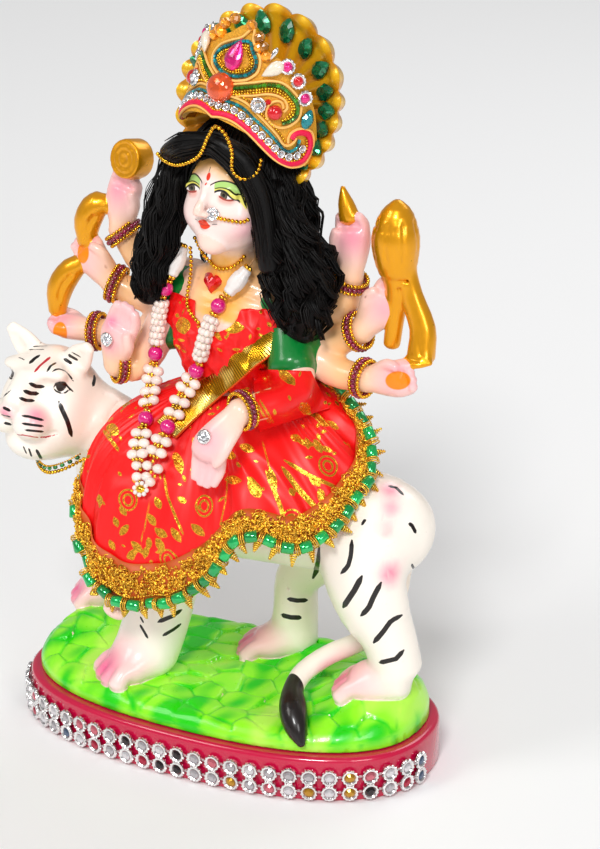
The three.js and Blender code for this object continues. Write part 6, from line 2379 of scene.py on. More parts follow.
def foilFields(points, outward, cloth, specks=hiddenPrint["specks"]):
    # Where gold foil lies on the cloth, with painted highlights in gold along the ridges of folds: what the
    # picture shows, and the same print on the other sides
    rng = np.random.default_rng(17)
    centres, along, across, sizes = [], [], [], []
    for pixel, length, width, turn in printMarks["leaves"]:
        spot = cloth.under(pixel)
        if spot is not None:
            angle = math.radians(turn)
            centres.append(spot)
            along.append(viewRight * math.cos(angle) - viewUp * math.sin(angle))
            across.append(viewRight * math.sin(angle) + viewUp * math.cos(angle))
            sizes.append((length * pixelSize, width * pixelSize))
    rings = [cloth.under(pixel) for pixel in printMarks["rings"]]
    hidden = np.flatnonzero(outward @ viewAhead >= 0.1)

    def layAt(k):
        tangent = unit(np.cross(outward[k], rng.normal(0, 1, 3)))
        centres.append(points[k])
        along.append(tangent)
        across.append(np.cross(outward[k], tangent))

    for _ in range(hiddenPrint["leaves"] if len(hidden) else 0):
        layAt(rng.choice(hidden))
        sizes.append((hiddenPrint["leaf"][0] * rng.uniform(0.8, 1.2), hiddenPrint["leaf"][1]))
    for k in rng.integers(0, len(points), specks):
        layAt(k)
        sizes.append((rng.uniform(1.6, 3.6), rng.uniform(0.8, 1.5)))
    rings += [points[k] for k in rng.choice(hidden, hiddenPrint["rings"] if len(hidden) else 0)]
    leaf = nearestMarks(points, centres, along, across, sizes)
    ringAway = np.full(len(points), 12.0)
    for spot in rings:
        if spot is not None:
            ringAway = np.minimum(ringAway, np.linalg.norm(points - spot, axis=1))
    # Painted highlights along the ridges of folds, in the same gold as the print
    sheenStreak = np.full(len(points), 3.0)
    for pixels, width in printMarks["sheenStreaks"]:
        line = cloth.lineUnder(pixels, 12)
        if len(line) > 2:
            sheenStreak = strokeAlong(points, np.array(line), width * pixelSize / 2, sheenStreak)
    return {"foilAndSheenEdge": np.minimum(leaf, sheenStreak), "ringAway": ringAway}


def clothPaint():
    made, tree, shader = finish("foilCloth", None, 0.4, coat=0.1, coatRough=0.3, Specular_IOR_Level=0.35)
    leaf = number(tree, "foilAndSheenEdge")
    ring = number(tree, "ringAway")
    wear = noise(tree, 520, 2.0)
    # The gold covers the printed motifs and also the painted highlights along the fold ridges
    foilPrintAndSheen = leaf.within(0, 0.25)
    foilPrintAndSheen = foilPrintAndSheen.most((ring - 3.9).size().within(0.34, 0.2)).most((ring - 2.1).size().within(0.42, 0.2))
    foilPrintAndSheen = foilPrintAndSheen * (wear + 0.3).maths("GREATER_THAN", 0.5)
    slow = noise(tree, 60, 3.0)
    red = blend(tree, slow, rgb("e80410"), rgb("ff1a14"))
    colour = blend(tree, foilPrintAndSheen, red, rgb("e6a42c"))
    flake = useGroup(tree, glitter, Colour=colour, Grain=0.5, Spread=foilPrintAndSheen * 0.35 + 0.01)
    plug(tree, shader["Base Color"], flake["Colour"])
    plug(tree, shader["Metallic"], foilPrintAndSheen * 0.8)
    plug(tree, shader["Roughness"], foilPrintAndSheen * -0.15 + 0.42)
    weave = addNode(tree, "TexWave", Scale=900.0, Distortion=0.4, Vector=objectPlace(tree))
    plug(tree, shader["Normal"], bumped(tree, weave.outputs["Fac"], 0.12, 0.0001, Normal=flake["Normal"]))
    return made


def thickened(points, outward, rows, columns, thickness, closed=True):
    # A sheet of cloth as a closed skin: its outside, its inside and its edges
    faces = gridFaces(rows, columns, closed)
    inner = faces[:, ::-1] + rows * columns
    count = columns if closed else columns - 1
    k = np.arange(count)
    following = (k + 1) % columns
    rims = [(row * columns + k, row * columns + following, row > 0) for row in (0, rows - 1)]
    if not closed:
        j = np.arange(rows - 1) * columns
        rims += [(j + column, j + columns + column, column == 0) for column in (0, columns - 1)]
    edges = []
    for a, b, flip in rims:
        c, d = a + rows * columns, b + rows * columns
        quad = [np.stack([a, c, b], -1), np.stack([b, c, d], -1)]
        edges += [q[:, ::-1] if flip else q for q in quad]
    both = np.concatenate([points, points - outward * thickness])
    return both, np.concatenate([faces, inner, *edges])


def smoothed(grid, rounds):
    # Spreads the highest values of a grid that closes round its columns
    for _ in range(rounds):
        padded = np.pad(grid, ((1, 1), (0, 0)), mode="edge")
        near = [np.roll(grid, 1, 1), np.roll(grid, -1, 1), padded[:-2], padded[2:]]
        grid = np.maximum(grid, np.mean(near, axis=0))
    return grid


def elbowFold(body, cloth):
    # The cloth drawn up over her left elbow, laid in the picture between four corners
    rows, columns = dress["foldRows"], dress["foldColumns"]
    across, down = np.meshgrid(np.linspace(0, 1, columns), np.linspace(0, 1, rows))
    first, second, third, fourth = (np.array(corner, float) for corner in dress["foldCorners"])
    across, down = across[..., None], down[..., None]
    upper = first * (1 - across) + second * across
    lower = fourth * (1 - across) + third * across
    pixels = (upper * (1 - down) + lower * down).reshape(-1, 2)
    ways = unit(np.array([sightLine(pixel) for pixel in pixels]))
    reach = np.full(len(pixels), np.inf)
    for k, (pixel, way) in enumerate(zip(pixels, ways)):
        found = [skin.under(pixel) for skin in (body, cloth)]
        reach[k] = min([(place - eyePoint) @ way for place in found if place is not None], default=np.inf)
    reach = np.where(np.isfinite(reach), reach, reach[np.isfinite(reach)].max()).reshape(rows, columns)
    drawn = reach.copy()
    for _ in range(dress["foldRounds"]):
        edged = np.pad(drawn, 1, mode="edge")
        drawn = np.minimum(
            reach, (edged[:-2, 1:-1] + edged[2:, 1:-1] + edged[1:-1, :-2] + edged[1:-1, 2:]) / 4
        )
    ridge = 0.5 * np.sin(11 * across[..., 0] + 5 * down[..., 0] + 1.2 * np.sin(4 * down[..., 0])) + 0.5
    points = np.array(eyePoint) + ways * (drawn - dress["foldGap"] - 0.8 * ridge).reshape(-1, 1)
    return points, -ways


def makeSkirt(red, body):
    columns, rows = ((dress["columns"], dress["rows"]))
    around = np.tile(np.arange(columns) / columns, rows)
    down = np.repeat(np.linspace(dress["from"], dress["to"], rows), columns)
    points, outward = onDress(around, down, dress["standOff"])
    raised = body.lift(points - outward * dress["thickness"], outward, dress["gap"]).reshape(rows, columns)
    points = points + outward * smoothed(raised, dress["reliefRounds"]).reshape(-1, 1)
    print(f"skirt lifted over the body at {np.count_nonzero(raised)} points, {raised.max():.1f} mm at most")
    shape = thickened(points, outward, rows, columns, dress["thickness"])
    cloth = Skin(points, gridFaces(rows, columns))
    fields = foilFields(points, outward, cloth)
    values = {title: np.tile(value, 2) for title, value in fields.items()}
    points, outward = elbowFold(body, cloth)
    rows, columns = dress["foldRows"], dress["foldColumns"]
    fold = thickened(points, outward, rows, columns, dress["thickness"], closed=False)
    marks = foilFields(points, outward, Skin(points, gridFaces(rows, columns, closed=False)), specks=6)
    values = {title: np.concatenate([value, np.tile(marks[title], 2)]) for title, value in values.items()}
    shape = np.concatenate([shape[0], fold[0]]), np.concatenate([shape[1], fold[1] + len(shape[0])])
    mesh = makeMesh("foilSkirt", *shape, [red], values=values)
    piece = addPiece("foil_skirt", mesh, "red_cloth", "skirt")
    return cloth


# Bodice

bodiceLook = {
    "rings": [
        (0, 3, 147.5, 17.4, 13.4), (0, 0, 160, 21, 15), (0, 0, 172, 23.5, 15.6), (1, 1.5, 182, 22, 12.5)
    ],
    "neckHalf": 9.4,
    "neckDrop": 9.0,
    "columns": 200,
    "rows": 44,
    "thickness": 0.5,
    "flat": (0.13, 0.04),
}


def makeBodice(red, body):
    look = bodiceLook
    columns, rows = look["columns"], look["rows"]
    turn = roundTurns(columns)
    rings = Curve(look["rings"])
    sideways = np.cos(turn) * 22
    front = np.sin(turn) < 0
    drop = look["neckDrop"] * np.sqrt(np.clip(1 - (sideways / look["neckHalf"]) ** 2, 0, 1)) * front
    shares = np.linspace(0, 1, rows)
    points, outward = [], []
    for share in shares:
        spot = rings.even(share)[0]
        fold = 0.6 * (1 - 2 * np.abs(np.sin(8 * turn + 9 * share))) * (1 - 0.5 * share)
        fold += 0.35 * np.sin(23 * turn + 3 * share + 2 * np.sin(5 * share))
        fold += 0.5 * np.exp(-(((share * 4 + 0.9 * np.sin(turn * 2 + 1)) % 1 - 0.5) / 0.14) ** 2)
        x = spot[0] + (spot[3] + fold) * np.cos(turn)
        y = spot[1] + (spot[4] + fold) * np.sin(turn)
        z = spot[2] - drop * np.clip((share - 0.62) / 0.38, 0, 1)
        points.append(np.stack([x, y, z], -1))
        way = np.stack([np.cos(turn) / spot[3], np.sin(turn) / spot[4], np.zeros(columns)], -1)
        outward.append(unit(way))
    points, outward = np.concatenate(points), np.concatenate(outward)
    raised = body.lift(points - outward * look["thickness"], outward, 0.5, most=3.0).reshape(rows, columns)
    points = points + outward * smoothed(raised, 3).reshape(-1, 1)
    cloth = Skin(points, gridFaces(rows, columns)[:, ::-1])
    fields = foilFields(points, outward, cloth)
    shape = thickened(points, outward, rows, columns, look["thickness"])
    values = {title: np.tile(value, 2) for title, value in fields.items()}
    mesh = makeMesh("foilBodice", *shape, [red], values=values)
    piece = addPiece("foil_bodice", mesh, "red_cloth", "bodice")


# Hem lace: a band of tinsel, a row of green tubes and tassels

lace = {
    "from": 0.862,
    "to": 0.962,
    "tubes": 0.992,
    "tassels": 1.02,
    "lift": 2.2,
    "grains": 2600,
    "loops": 1500,
    "grain": 0.62,
    "loop": 1.05,
    "tubePitch": 7.0,
    "tubeRadius": 2.25,
    "tubeLength": 4.7,
    "rings": (-0.75, 0, 0.75),
    "tasselLength": 4.6,
    "tasselBase": 1.5,
}


def alongHem(pitch, down):
    # Even steps round the dress at one share down it
    dense = np.linspace(0, 1, 1201)
    line, _ = onDress(dense, np.full(len(dense), down), folds=False)
    travelled = np.concatenate([[0], np.cumsum(np.linalg.norm(np.diff(line, axis=0), axis=1))])
    count = max(3, round(travelled[-1] / pitch))
    return np.interp((np.arange(count) + 0.5) / count * travelled[-1], travelled, dense)


def frameOnDress(around, down, off):
    # Places on the dress with their ways round it, down it and out of it
    places, outward = onDress(around, down, off)
    ahead, _ = onDress(around + 0.002, down, off, folds=False)
    behind, _ = onDress(around - 0.002, down, off, folds=False)
    axes = axesFrom(outward, ahead - behind)
    return places, axes


def makeLace():
    rng = np.random.default_rng(31)
    heap = Heap()
    lift = lace["lift"]
    grid = 300
    around = np.tile(np.arange(grid) / grid, 4)
    down = np.repeat(np.linspace(lace["from"] - 0.02, 1.0, 4), grid)
    points, outward = onDress(around, down, lift - 0.5, folds=False)
    heap.add(thickened(points, outward, 4, grid, 0.35), 0, 0.3)
    grain = ball(5, 3)
    turn = 2 * math.pi * np.arange(7) / 6
    curl = tube(np.stack([np.cos(turn), np.sin(turn), 0.25 * turn / math.pi - 0.25], -1), 0.24, 3)
    for shape, many, size in ((grain, lace["grains"], lace["grain"]), (curl, lace["loops"], lace["loop"])):
        count = int(many * (1))
        around, share = rng.uniform(0, 1, (2, count))
        ragged = 0.012 * np.sin(2 * math.pi * 41 * around)
        down = lace["from"] + ragged + (lace["to"] - lace["from"] - ragged) * share**0.8
        places, axes = frameOnDress(around, down, lift + rng.uniform(-0.3, 0.9, count))
        spin = rng.uniform(0, 2 * math.pi, count)
        along = axes[:, :, 0] * np.cos(spin)[:, None] + axes[:, :, 1] * np.sin(spin)[:, None]
        tipped = axes[:, :, 2] + rng.normal(0, 0.5, (count, 3))
        sizes = size * rng.uniform(0.7, 1.3, (count, 1)) * np.array((1.2, 0.9, 0.9))
        heap.scatter(rng, shape, places, sizes, axesFrom(tipped, along), 1)
    around = alongHem(lace["tubePitch"], lace["tubes"])
    places, axes = frameOnDress(around, np.full(len(around), lace["tubes"]), lift + 0.7)
    tilt = rng.normal(0, 0.12, (len(around), 1))
    axes = axesFrom(axes[:, :, 2], axes[:, :, 0] + axes[:, :, 1] * tilt)
    glass = lengthwise(lathe([(0, -0.5), (0.86, -0.5), (1, -0.42), (1, 0.42), (0.86, 0.5), (0, 0.5)], 12))
    sizes = np.array((lace["tubeLength"], lace["tubeRadius"], lace["tubeRadius"]))
    heap.scatter(rng, glass, places, sizes, axes, 2)
    turn = roundTurns(12)
    ring = np.stack([np.zeros(12), np.cos(turn), np.sin(turn)], -1)
    ring = np.einsum("nab,ib->nia", axes, np.concatenate([ring, ring[:1]]))
    for share in lace["rings"]:
        radius = lace["tubeRadius"] * 1.1 * rng.uniform(0.85, 1.1, len(around))[:, None, None]
        centre = places + axes[:, :, 0] * (lace["tubePitch"] / 2 + share)
        heap.add(strands(centre[:, None] + ring * radius, 0.27, 4), 3, rng.uniform(0.2, 0.8))
    down = lace["to"] + 0.002
    steps = alongHem(1.05, down)
    places, axes = frameOnDress(steps, np.full(len(steps), down), lift + 0.7)
    heap.scatter(rng, grain, places, 0.5, axes, 1)
    tassels(heap, rng, alongHem(lace["tubePitch"], lace["tassels"]))
    thread = brushed("redNet", rgb("c8540a"), 0.5, size=30, depth=0.4)
    tinsel = tinted("tinselGold", rgb("ffbe3a"), 0.5, 0.3, 0.25, 0.6, 0.4)
    green = tinted("greenGlass", rgb("0cae58"), 0.35, 3.0, 0.06, 0.45, 0.12, coat=1.0, coatRough=0.02)
    wire = tinted("goldWire", rgb("ffc84a"), 0.25, 0.4, 0.22, 0.7, 0.2)
    addPiece("tinsel_lace", heap.mesh("tinselLace", [thread, tinsel, green, wire]), "lace", "hem_lace")


def tassels(heap, rng, steps):
    # Little twisted cones of gilt wire that hang past the green tubes
    places, axes = frameOnDress(steps, np.full(len(steps), lace["tassels"]), lace["lift"] + 0.1)
    beyond = dressPoint(steps, np.full(len(steps), lace["tassels"] + 0.04)) - places
    ways = axes[:, :, 1] * np.sign(np.sum(axes[:, :, 1] * beyond, 1))[:, None]
    turns = np.linspace(0, 2 * math.pi * 5.5, 44)
    share = np.linspace(0, 1, 44)
    for place, axis, way in zip(places, axes, ways):
        length = lace["tasselLength"] * rng.uniform(0.8, 1.15)
        lean = unit(way + axis[:, 0] * rng.uniform(-0.35, 0.35) + axis[:, 2] * rng.uniform(-0.1, 0.3))
        side = unit(np.cross(lean, axis[:, 2]))
        back = np.cross(lean, side)
        radius = lace["tasselBase"] * (1 - share) ** 0.8 * rng.uniform(0.85, 1.15) + 0.1
        path = place + np.outer(share * length, lean)
        path = path + side * (radius * np.cos(turns))[:, None] + back * (radius * np.sin(turns))[:, None]
        heap.add(tube(path, 0.4, 3), 3, rng.uniform(0.1, 0.9))


# Sash

sash = {
    "path": [
        (23, -4.5, 175), (19.5, -9.8, 168.6), (15.6, -12.3, 165.1), (12.3, -14.2, 161.5), (7, -14.2, 156.2),
        (0.5, -13.3, 150.2), (-3.8, -15.6, 145.8), (-6.8, -19.4, 142.2), (-9.6, -23.6, 138.6),
        (-11.9, -27.4, 135.4),
    ],
    "out": (0.15, -0.88, 0.45),
    "width": 10.5,
    "thickness": 0.4,
    "off": 0.8,
    "bow": 0.5,
    "steps": 60,
    "across": 17,
    "ribPitch": 0.95,
    "flat": (0.0108, 0.062),
}


def makeSash():
    out = unit(np.array(sash["out"], float))
    curve = Curve(sash["path"])
    shares = np.linspace(0, 1, sash["steps"])
    middle, tangent = curve.at(shares), unit(np.gradient(curve.at(shares), axis=0))
    across = unit(np.cross(tangent, out))
    side = np.linspace(-0.5, 0.5, sash["across"])
    bow = sash["bow"] * (1 - (2 * side) ** 2) - 0.3 + 0.25 * np.sin(6 * shares)[:, None]
    crease = 1 - np.abs(np.sin(9 * shares[:, None] + 1.6 * side + 1.2)) ** 0.5
    bow = bow + 0.45 * crease * (1 - (2 * side) ** 2)
    sideways = across[:, None] * (side * sash["width"])[None, :, None]
    points = (middle[:, None] + sideways + out * (sash["off"] + bow)[..., None]).reshape(-1, 3)
    outward = np.broadcast_to(out, points.shape)
    shape = thickened(points, outward, sash["steps"], sash["across"], sash["thickness"], closed=False)
    ribs = np.repeat(shares * curve.length, sash["across"])
    edge = np.tile(np.abs(side), sash["steps"])
    made, tree, shader = finish("goldRibbon", None, 0.2, 1.0)
    wave = (number(tree, "ribAlong") * (2 * math.pi / sash["ribPitch"])).maths("SINE")
    piping = number(tree, "ribEdge").maths("GREATER_THAN", 0.44)
    slow = noise(tree, 90, 3.0)
    colour = blend(tree, slow.within(0.5, 0.1), rgb("ffdc70"), rgb("c48c1c"))
    colour = blend(tree, wave * 0.2 + 0.2, colour, rgb("6a4204"))
    plug(tree, shader["Base Color"], blend(tree, piping, colour, rgb("e85a10")))
    plug(tree, shader["Metallic"], piping * -0.6 + 1)
    plug(tree, shader["Normal"], bumped(tree, wave * 0.5 + 0.5, 0.6, 0.0002))
    mesh = makeMesh(
        "goldSash", *shape, [made], values={"ribAlong": np.tile(ribs, 2), "ribEdge": np.tile(edge, 2)}
    )
    piece = addPiece("gold_sash", mesh, "sash_ribbon", "sash")


# Garland

garland = {
    "left": [
        (13, -3, 200), (8.3, -8, 191.8), (2.6, -10.9, 183.4), (0, -15.8, 174.6), (-1.6, -17.6, 166.6),
        (-5, -16.2, 156.8), (-9, -18.6, 148.2), (-10.1, -23.9, 141.9), (-10.5, -30.3, 136.2),
        (-11.4, -35.7, 129.8), (-12.2, -38.9, 124.2),
    ],
    "right": [
        (-17.2, -4.5, 200), (-18.2, -7, 195), (-20, -8.5, 189.5), (-22.5, -9, 183.5), (-24.4, -9.6, 176),
        (-24.9, -11.4, 165.5), (-25.5, -12.4, 156), (-25.8, -14.8, 147), (-23.5, -21.2, 141.2),
        (-20.8, -28.4, 137.3), (-19.8, -33.7, 132.6), (-18.6, -37.9, 127.8), (-16.6, -39.9, 122.4),
    ],
    "meeting": (-14, -39.4, 122.4),
    "meetingOut": (0.03, -0.88, 0.47),
    "barrel": (11.6, 3.3),
    "pink": 3.0,
    "gold": 1.1,
    "stack": (17.5, 2.0),
    "stackRows": 7,
}
# Where the beads sit along each strand in the picture
garlandMarks = {
    "right": {
        "barrel": [(177.3, 261.5)],
        "pink": [(165.8, 288.8), (156, 353.6), (145.7, 418.8)],
        "stack": [(158.5, 322)],
        "pair": [
            (155.5, 370), (156.5, 380), (152.4, 391.6), (149.4, 401.8), (141, 433.5), (141, 443.7),
            (135, 454)
        ],
    },
    "left": {
        "barrel": [(238.5, 282)],
        "pink": [(218.5, 305.8), (198.5, 371.8), (170.8, 428.4)],
        "stack": [(205.8, 339)],
        "pair": [(191, 381), (189, 391.6), (183, 403), (178, 415), (161.6, 440.6), (160.6, 453)],
    },
}


def flutedBarrel():
    shares = np.linspace(0, 1, 15)
    waists = sum(np.exp(-(((shares - waist) / 0.05) ** 2)) for waist in (0.18, 0.82))
    sizes = (0.62 + 0.38 * np.sin(math.pi * shares) ** 0.8) * (1 - 0.16 * waists)
    turn = roundTurns(24)
    flute = 1 + 0.05 * np.cos(8 * turn)
    rows = []
    for share, radius in zip(shares, np.outer(sizes, flute)):
        rows.append(np.stack([np.full(24, share - 0.5), radius * np.cos(turn), radius * np.sin(turn)], -1))
    return closedRings(rows, (-0.5, 0, 0), (0.5, 0, 0))


def shareNear(curve, pixel):
    shares = np.linspace(0, 1, 400)
    return float(shares[np.argmin(np.linalg.norm(inPicture(curve.even(shares)) - pixel, axis=1))])


def makeGarland():
    heap = Heap()
    rng = np.random.default_rng(41)
    bead, small = ball(14, 9), ball(8, 5)
    for side, marks in garlandMarks.items():
        curve = Curve(garland[side])
        heap.add(tube(curve.even(np.linspace(0, 1, 50)), 0.3, 5), 3, 0.4)
        for kind, pixels in marks.items():
            for pixel in pixels:
                share = shareNear(curve, pixel)
                spot, along = curve.even(share)[0], curve.evenTangent(share)
                axis = axesAlong(along)[0]
                if kind == "barrel":
                    long, radius = garland["barrel"]
                    heap.add(placed(flutedBarrel(), spot, (long, radius, radius), axis[None]), 0, 0.6)
                    goldRing(heap, rng, spot, axis, long / 2 + 0.6, small)
                elif kind == "pink":
                    heap.add(placed(bead, spot, garland["pink"]), 1, 0.5)
                    goldRing(heap, rng, spot, axis, garland["pink"] + 0.5, small)
                elif kind == "stack":
                    stackOf(heap, rng, curve, share, small)
                else:
                    pairOf(heap, rng, spot, axis, bead, small)
    meetingBeads(heap, rng, bead, small)
    white = brushed("porcelainBead", rgb("ece6e2"), 0.3, size=5, depth=0.08, swell=0.3, coat=0.5)
    pink = brushed("magentaPearl", rgb("d8107c"), 0.18, size=5, depth=0.06, coat=1.0, coatRough=0.03)
    gold = tinted("garlandGold", rgb("ecb840"), 0.3, 0.6, 0.1, 1.0, 0.05)
    thread = brushed("thread", rgb("b88a5a"), 0.6)
    blush = tinted("milkBead", rgb("f4e2d8"), 0.08, 1.2, 0.25, 0.0, 0.02, coat=0.4, Subsurface_Weight=0.15)
    blush.node_tree.nodes["Principled BSDF"].inputs["Subsurface Scale"].default_value = 0.002
    looks = [white, pink, gold, thread, blush]
    addPiece("bead_garland", heap.mesh("beadGarland", looks), "garland_beads", "garland")


def goldRing(heap, rng, spot, axis, away, small):
    # Gold seed beads at both ends of a bead, set round the thread
    turn = roundTurns(4)
    for end in (-1, 1):
        ring = spot + axis[:, 0] * end * away + circle(turn, axis[:, 1], axis[:, 2])
        heap.scatter(rng, small, ring, garland["gold"] * 0.8, None, 2)


def stackOf(heap, rng, curve, share, small):
    # Rings of frosted seed beads, piled into a knobbly column
    rows = garland["stackRows"]
    long, radius = garland["stack"]
    span = long / curve.length
    for k in range(rows):
        here = share + span * ((k + 0.5) / rows - 0.5)
        spot, along = curve.even(here)[0], curve.evenTangent(here)
        axis = axesAlong(along)[0]
        turn = 2 * math.pi * (np.arange(7) + 0.5 * (k % 2)) / 7
        ring = spot + circle(turn, axis[:, 1], axis[:, 2]) * radius
        heap.scatter(rng, small, ring, (1.55, 1.35, 1.35), axis, 4)
    middle = curve.even(np.linspace(share - span / 2, share + span / 2, 8))
    heap.add(tube(middle, radius - 0.1, 8), 4, 0.4)


def pairOf(heap, rng, spot, axis, bead, small):
    # Two milky oval beads side by side, with gold seed beads before and after them
    heap.scatter(rng, bead, spot + np.outer((-2.1, 2.1), axis[:, 1]), (1.95, 2.4, 2.0), axis, 4)
    for end in (-1, 1):
        between = spot + axis[:, 0] * end * 2.1 + np.outer((-1.5, 0, 1.5), axis[:, 1]) + axis[:, 2] * 0.5
        heap.scatter(rng, small, between, 0.72, None, 2)


def meetingBeads(heap, rng, bead, small):
    centre = np.array(garland["meeting"], float)
    out = unit(np.array(garland["meetingOut"]))
    axes = axesFrom(out, (1, 0, 0))[0]
    for x, z in ((-4.4, 1.4), (0, 2.2), (4.6, 1.8), (0.6, -2), (2.6, -3.6), (-3.2, -2.8)):
        place = centre + axes[:, 0] * x + axes[:, 1] * z
        heap.add(placed(bead, place, (2.2, 1.9, 1.9), axes[None]), 4, rng.uniform(0, 1))
    for x, z in ((-2.2, 3.8), (2.4, 4.2), (-2, 0.2), (2.6, 0), (-1, -4.4), (4.6, -1.2)):
        heap.add(placed(small, centre + axes[:, 0] * x + axes[:, 1] * z + out, 0.8), 2, rng.uniform(0, 1))
    flower = centre - axes[:, 1] * 7
    heap.add(placed(bead, flower + out * 0.6, (2.2, 1.7, 1.7), axes[None]), 2, 0.8)
    turn = roundTurns(8)
    petals = flower + circle(turn, axes[:, 0] * 2.6, axes[:, 1] * 2.2) + out * 1.2
    heap.add(placed(small, petals, 0.95), 0)


# Chains

chains = {
    "forehead_chain": [
        (-22.4, -13, 238.7), (-17.3, -16.5, 237.5), (-9.1, -20.5, 238), (1.4, -23.5, 243.8),
        (7.1, -26, 252.8), (10.6, -27, 257), (13.9, -26.5, 254.8), (15.7, -24.5, 248), (15.1, -22.5, 239.7),
        (18.1, -20.5, 236.6), (21.8, -17, 238.6), (23, -15.5, 243.8),
    ],
    "necklace": [
        (-13.5, -2, 204.5), (-11.1, -3.2, 202.1), (-8.2, -4.6, 199), (-4.9, -5.4, 197), (-1.2, -6, 195.5),
        (2.4, -6.3, 195.6), (5.7, -6, 196.7), (8, -4.8, 198.7), (9.6, -2.8, 201),
    ],
    "long_chain": [
        (-14.1, -4, 201.1), (-12.9, -5.5, 195), (-12.6, -7, 189.1), (-12.5, -9.4, 183),
        (-10.2, -12.6, 179.3), (-4, -15.2, 175.2),
    ],
    "tiger_collar": [(-53, -20, 113), (-60, -26, 109), (-68, -25, 106), (-76, -19, 107), (-80, -10, 111)],
}
cheekMarks = [(217, 217), (223.2, 218.6), (233.5, 220.8), (242.3, 221.5), (248.2, 218.6)]
chainBead = {"radius": 0.82, "pitch": 1.62, "wire": 0.2, "outward": (0, -1, 0.15)}


def makeChains(body):
    gold = tinted("ballChain", rgb("e8b030"), 0.25, 0.5, 0.12, 1.0, 0.06)
    bead = ball(9, 6)
    rng = np.random.default_rng(51)
    for name, path in chains.items():
        heap = Heap()
        line = Curve(path).even(np.linspace(0, 1, 80))
        if name != "forehead_chain":
            way = np.broadcast_to(unit(np.array(chainBead["outward"])), line.shape)
            line = line + way * body.lift(line - way * chainBead["radius"], way, 0.0)[:, None]
        curve = Curve(line)
        beadRow(heap, line, chainBead["pitch"], bead, chainBead["radius"], 0, rng)
        heap.add(tube(curve.even(np.linspace(0, 1, 60)), chainBead["wire"], 4), 0, 0.3)
        if name == "tiger_collar":
            green = tinted("collarStone", rgb("1c7a3a"), 0.4, 1.2, 0.1, 0.4, 0.3, coat=0.8)
            trim = curve.even(np.linspace(0.04, 0.96, 60)) + (0, -0.4, 1.9)
            beadRow(heap, trim, 3.4, bead, (1.1, 0.8, 0.8), 1, rng)
            beadRow(heap, trim + (0, -0.1, 1.0), 0.95, bead, 0.42, 0, rng)
            looks = [gold, green]
        else:
            looks = [gold]
        addPiece("gold_" + name, heap.mesh("gold" + name, looks), "gold_beads", name)
    heap = Heap()
    curve = Curve([body.seat(pixel, 0.75)[0] for pixel in cheekMarks])
    shares = evenShares(9)
    heap.scatter(rng, bead, curve.even(shares), (0.78, 0.86, 0.86), axesAlong(curve.evenTangent(shares)))
    heap.add(tube(curve.even(np.linspace(0, 1, 20)), 0.2, 4), 0, 0.3)
    addPiece("gold_cheek_chain", heap.mesh("cheekChain", [gold]), "gold_beads", "cheek_chain")


# Bangles

bangle = {
    "inner": 6.15, "offset": 0.35, "width": 5.2,
    "rows": [(-1.75, 0.78, 30, 0), (0.0, 1.0, 24, 1), (1.75, 0.78, 30, 0)]
}


def makeBangles():
    gold = bpy.data.materials["ballChain"]
    maroon = tinted("maroonBead", rgb("8a0a3c"), 0.35, 0.8, 0.12, 0.25, 0.06, coat=1.0, coatRough=0.03)
    thread = brushed("bangleThread", rgb("8a3a1c"), 0.6)
    rng = np.random.default_rng(61)
    bead = ball(8, 5)
    for name, (_, elbow, wrist, _, _) in arms.items():
        heap = Heap()
        elbow, wrist = np.array(elbow, float), np.array(wrist, float)
        along = unit(wrist - elbow)
        centre = wrist - along * bangle["offset"] * bangle["width"]
        first = unit(np.cross(along, (0.3, 0.2, 1)))
        second = np.cross(along, first)
        for place, radius, count, look in bangle["rows"]:
            turn = 2 * math.pi * (np.arange(count) + rng.uniform(0, 1)) / count
            reach = bangle["inner"] + radius
            ring = centre + along * place + reach * circle(turn, first, second)
            heap.scatter(rng, bead, ring, radius, None, look)
            heap.add(tube(np.concatenate([ring, ring[:1]]), 0.25, 4), 2, 0.5)
        addPiece(
            f"beads_{name}", heap.mesh(f"bangle{name}", [gold, maroon, thread]), "bangle_beads",
            f"bangle_{name}"
        )


# Set stones

setStones = {
    "pendant": {"place": (-3.1, -5.0, 188.6), "out": (-0.1, -1, 0.25), "size": 8, "height": 4.6},
    "nose_stud": {"pixel": (214, 213.6), "size": 5.2, "facing": 0.8, "off": 0.9},
    "palm_stone_right": {"pixel": (107.8, 339.2), "size": 5.6},
    "palm_stone_left": {"pixel": (204.9, 437.1), "size": 5.6},
}


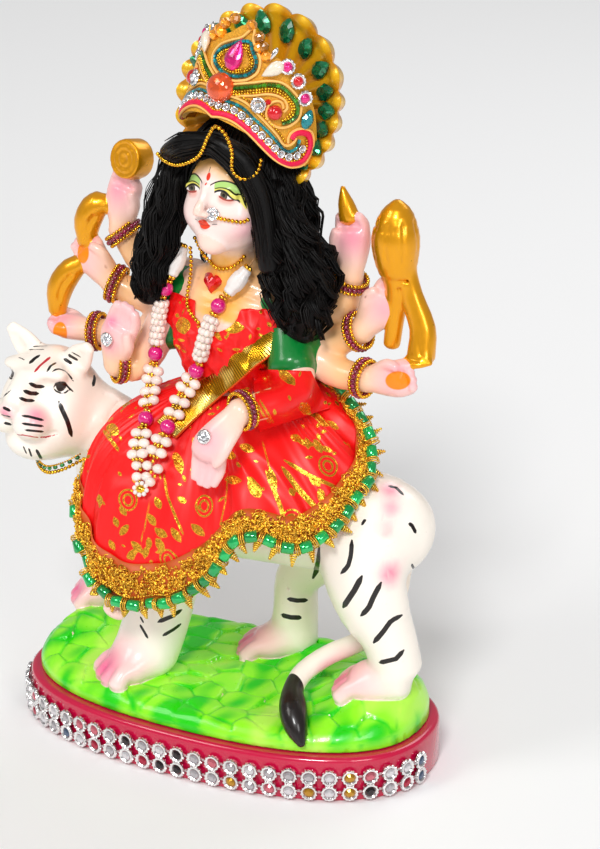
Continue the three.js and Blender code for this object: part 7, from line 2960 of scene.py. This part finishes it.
def heartTemplate():
    # A faceted heart, point downwards, in the along-across plane
    turn = np.linspace(0, 2 * math.pi, 25)[:-1]
    x = 0.5 * np.sin(turn) ** 3 * 1.05
    y = (13 * np.cos(turn) - 5 * np.cos(2 * turn) - 2 * np.cos(3 * turn) - np.cos(4 * turn)) / 32 + 0.05
    rows = [np.column_stack([x * k, y * k, np.full(24, z)]) for k, z in ((1, 0), (1, 0.28), (0.62, 0.8))]
    return flatShaded(closedRings(rows, (0, 0, 0), (0, 0, 0.95)))


def makeStones(body):
    silver = bpy.data.materials["silverCup"]
    clear = bpy.data.materials["clearStone"]
    ruby = tinted("rubyHeart", rgb("d8101c"), 0.3, 2.0, 0.04, 0.3, 0.3, coat=1.0, coatRough=0.02)
    for name, stone in setStones.items():
        heap = Heap()
        if name == "pendant":
            axes = axesFrom(stone["out"], (1, 0, 0))
            heap.add(
                placed(
                    heartTemplate(), stone["place"], (stone["size"], stone["size"] * 1.1, stone["height"]),
                    axes
                ),
                0
            )
            addPiece("ruby_pendant", heap.mesh("rubyPendant", [ruby]), "red_stone", name)
            continue
        place, out = body.seat(stone["pixel"], stone.get("off", 0))
        toward = stone.get("facing", 0)
        out = unit(out * (1 - toward) - viewAhead * toward)
        axes = axesFrom(out, (1, 0, 0))
        heap.add(placed(cupTemplate(), place, stone["size"] / 2 / band["cup"], axes), 0)
        heap.add(placed(gemTemplate(stone["size"] * 0.3, 1.3, 10), place + out * 0.5, 1.0, axes), 1)
        addPiece("clear_" + name, heap.mesh("clear" + name, [silver, clear]), "clear_stone", name)


# The whole

makeCamera()
makeStudio()
print("stage set")
body = makeCast()
makePlinth()
makeBand()
makeCrown()
makeTiara()
makeWig()
print("head dressed")
clothRed = clothPaint()
makeSkirt(clothRed, body)
makeBodice(clothRed, body)
makeSash()
makeLace()
makeGarland()
makeChains(body)
makeBangles()
makeStones(body)
print("figure dressed")
bpy.context.view_layer.update()
boxes = {"cad": cadBox, "visual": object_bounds()}
{name: [list(map(float, corner)) for corner in box] for name, box in boxes.items()}
